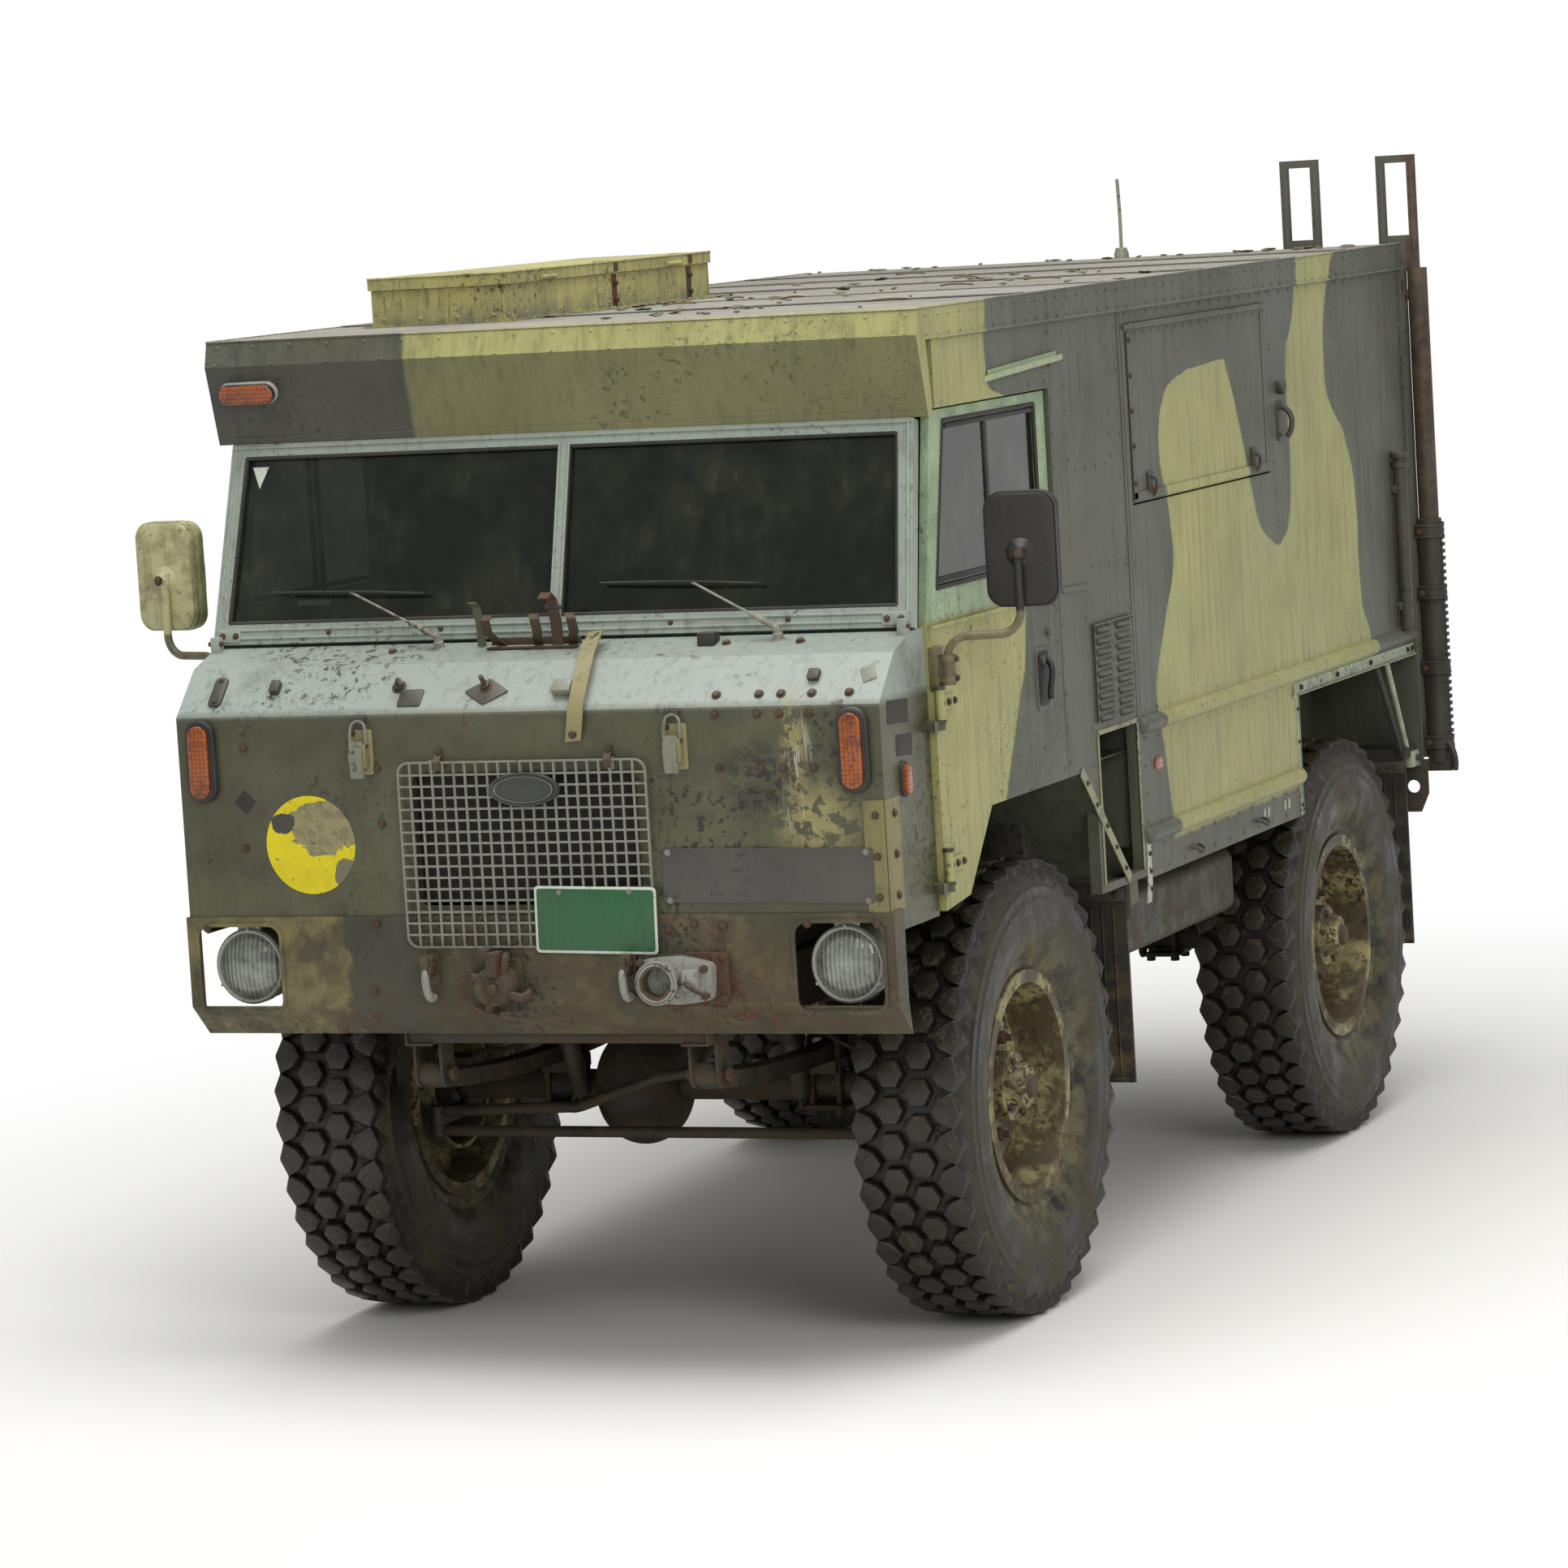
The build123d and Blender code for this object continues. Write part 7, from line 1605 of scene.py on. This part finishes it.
for middle in (seat_x, -seat_x):
    for z in (1.372, 1.441):
        rod(bm, [(middle + x, y, z) for x, y in ((-wide, -0.98), (-wide, -1.4), (-wide, -1.405), (0, -1.409),
                                                 (wide, -1.405), (wide, -1.4), (wide, -0.98))], 0.004)
    for y in (-1.049, -0.976):
        rod(bm, [(middle + x, y, z) for x, z in ((-wide, 1.48), (-wide, 1.99), (-wide, 2.005), (0, 2.009),
                                                 (wide, 2.005), (wide, 1.99), (wide, 1.48))], 0.004)
close(bm, "seat_piping", piping)
# dials with plain faces, switches and a grab bar on the dash
bm = bmesh.new()
for x, size in ((-0.62, 0.04), (-0.48, 0.048), (-0.34, 0.04), (-0.22, 0.026), (-0.15, 0.026)):
    turned(bm, [(0, 0.004), (size - 0.004, 0.004), (size - 0.003, 0.009), (size, 0.009),
                (size + 0.003, 0.0)], (x, -1.752, 1.63), (0, 1, 0), sides=28)
    disc(bm, (x, -1.747, 1.63), (0, 1, 0), size - 0.006, 0.0012, sides=28, index=1)
    block(bm, (x - 0.001, -1.7465, 1.63), (x + 0.001, -1.745, 1.63 + size * 0.7), edge=0.0004, index=2)
for x in (-0.08, -0.04, 0.0, 0.04, 0.08):
    disc(bm, (x, -1.752, 1.625), (0, 1, 0), 0.007, 0.008, sides=12)
    rod(bm, [(x, -1.744, 1.625), (x, -1.728, 1.633)], 0.003, index=2)
rod(bm, [(0.3, -1.752, 1.62), (0.3, -1.712, 1.625), (0.5, -1.706, 1.625), (0.7, -1.712, 1.625),
         (0.7, -1.752, 1.62)], 0.009)
close(bm, "dash_fittings", [black_rubber, dark_enamel, pale_enamel])


# Under the truck are the spring clamps, dampers, brake hoses, the exhaust with its
# silencer, and bolts on the frame's brackets.
bm = bmesh.new()
for side in (-1, 1):
    rail = side * 0.36
    for axle_y in (-1.2, 1.365):
        for step in (-0.045, 0.045):
            for across in (-0.036, 0.036):
                x = rail + across
                rod(bm, [(x, axle_y + step, 0.505), (x, axle_y + step, 0.69)], 0.008, index=1)
                disc(bm, (x, axle_y + step, 0.507), (0, 0, -1), 0.013, 0.012, sides=6, edge=0.001, index=1)
            rod(bm, [(rail - 0.036, axle_y + step, 0.684), (rail - 0.036, axle_y + step, 0.694),
                     (rail + 0.036, axle_y + step, 0.694), (rail + 0.036, axle_y + step, 0.684)], 0.008,
                index=1)
        block(bm, (rail - 0.05, axle_y - 0.065, 0.508), (rail + 0.05, axle_y + 0.065, 0.52), edge=0.003)
    for axle_y, lean_y in ((-1.2, -0.16), (1.365, -0.18)):
        foot = Vector((side * 0.3, axle_y - 0.05, 0.545))
        head = Vector((side * 0.31, axle_y + lean_y, 0.85))
        away = (head - foot).normalized()
        disc(bm, foot, away, 0.025, 0.17, sides=20, edge=0.003, index=2)
        disc(bm, foot + away * 0.17, away, 0.009, 0.1, sides=12, index=3)
        disc(bm, foot + away * 0.15, away, 0.031, 0.15, sides=20, edge=0.003)
        ring(bm, foot - away * 0.018, (1, 0, 0), 0.018, 0.007, sides=18)
        ring(bm, head, (1, 0, 0), 0.018, 0.007, sides=18)
    for y in (-1.95, -0.45, 0.615, 2.005):
        disc(bm, (rail - 0.048, y, 0.712), (1, 0, 0), 0.012, 0.096, index=1)
        disc(bm, (rail - 0.054, y, 0.712), (1, 0, 0), 0.019, 0.012, sides=6, edge=0.002, index=1)
        disc(bm, (rail + 0.044, y, 0.712), (1, 0, 0), 0.019, 0.012, sides=6, edge=0.002, index=1)
    for y in (-1.8, -1.3, -0.2, 0.3, 1.2, 1.7):
        for z in (0.82, 0.9):
            bolt(bm, (side * 0.3955, y, z), (side, 0, 0), 0.008, index=1)
    # brake hose from the frame down to each front drum's back, and along the rear axle
    rod(bm, [(side * 0.325, -1.3, 0.8), (side * 0.38, -1.32, 0.72), (side * 0.47, -1.3, 0.66),
             (side * 0.55, -1.26, 0.66), (side * 0.6, -1.24, 0.64)], 0.006, index=4)
    rod(bm, [(side * 0.06, 1.32, 0.6), (side * 0.3, 1.318, 0.598), (side * 0.5, 1.32, 0.6),
             (side * 0.63, 1.33, 0.64)], 0.004, index=1)
# silencer beside the right rail and the tailpipe out behind the rear wheel
turned(bm, [(0, 0), (0.04, 0.004), (0.068, 0.016), (0.072, 0.03), (0.072, 0.55), (0.068, 0.564),
            (0.04, 0.576), (0, 0.58)], (-0.2, 1.02, 0.735), (0, 1, 0), sides=32, index=3,
       flatten=(1.25, 1, 1))
rod(bm, [(-0.2, 1.03, 0.735), (-0.2, 0.8, 0.735), (-0.14, 0.4, 0.76), (-0.16, -0.1, 0.77),
         (-0.2, -0.55, 0.76), (-0.24, -0.8, 0.8)], 0.022, index=3, sides=3)
rod(bm, [(-0.2, 1.58, 0.735), (-0.2, 1.72, 0.735), (-0.25, 1.85, 0.74), (-0.4, 1.97, 0.735),
         (-0.46, 2.09, 0.725)], 0.021, index=3, sides=3)
close(bm, "running_gear_fittings", [chassis_steel, rust_steel, dark_part, rust_dark, black_rubber])


# The studio: a pale floor that turns to the white of its surround away from the truck, one
# large soft lamp overhead, and a second from the truck's front left.
floor_finish, tree, shader, place = begin("studio_floor", Roughness=0.9)
shader.inputs["Base Color"].default_value = rgb("e4e3df")
rays = add(tree, "LightPath").outputs
seen = add(tree, "Math", {0: rays["Is Camera Ray"], 1: rays["Is Transmission Ray"]}, operation="MAXIMUM")
seen = add(tree, "Math", {0: seen, 1: rays["Is Glossy Ray"]}, operation="MAXIMUM")
spot = add(tree, "VectorMath", {0: add(tree, "Mapping", {"Vector": place, "Scale": (0.62, 0.42, 1)})},
           operation="LENGTH")
away = add(tree, "MapRange", {"Value": spot.outputs["Value"], "From Min": 0.9, "From Max": 2.6},
           interpolation_type="SMOOTHSTEP")
white = add(tree, "Emission", {"Color": rgb("ffffff"), "Strength": 1.0})
blend = add(tree, "MixShader", {0: every(tree, away, seen), 1: shader, 2: white})
tree.links.new(blend.outputs[0], tree.nodes["Material Output"].inputs["Surface"])
bm = bmesh.new()
bmesh.ops.create_grid(bm, x_segments=1, y_segments=1, size=60)
mesh = bpy.data.meshes.new("studio_floor")
bm.to_mesh(mesh)
bm.free()
mesh.materials.append(floor_finish)
ground = bpy.data.objects.new("studio_floor", mesh)
bpy.context.collection.objects.link(ground)
world = bpy.data.worlds.new("studio")
world.use_nodes = True
tree = world.node_tree
tree.nodes.clear()
rays = add(tree, "LightPath").outputs
seen = add(tree, "Math", {0: rays["Is Camera Ray"], 1: rays["Is Transmission Ray"]}, operation="MAXIMUM")
strength = add(tree, "MapRange", {"Value": seen, "To Min": 0.48, "To Max": 1.0})
sky = add(tree, "Background", {"Color": rgb("ffffff"), "Strength": strength})
add(tree, "OutputWorld", {"Surface": sky})
bpy.context.scene.world = world
for name, place, size, power in (("overhead", (0.5, -1.5, 9.0), 7.0, 820.0),
                                 ("front_left", (8.0, -9.0, 6.0), 5.0, 400.0)):
    lamp = bpy.data.lights.new(name, "AREA")
    lamp.size = size
    lamp.energy = power
    light = bpy.data.objects.new(name, lamp)
    light.location = place
    light.rotation_euler = (Vector((0, 0, 1.2)) - Vector(place)).to_track_quat("-Z", "Y").to_euler()
    bpy.context.collection.objects.link(light)
bpy.context.scene.view_settings.view_transform = "Standard"
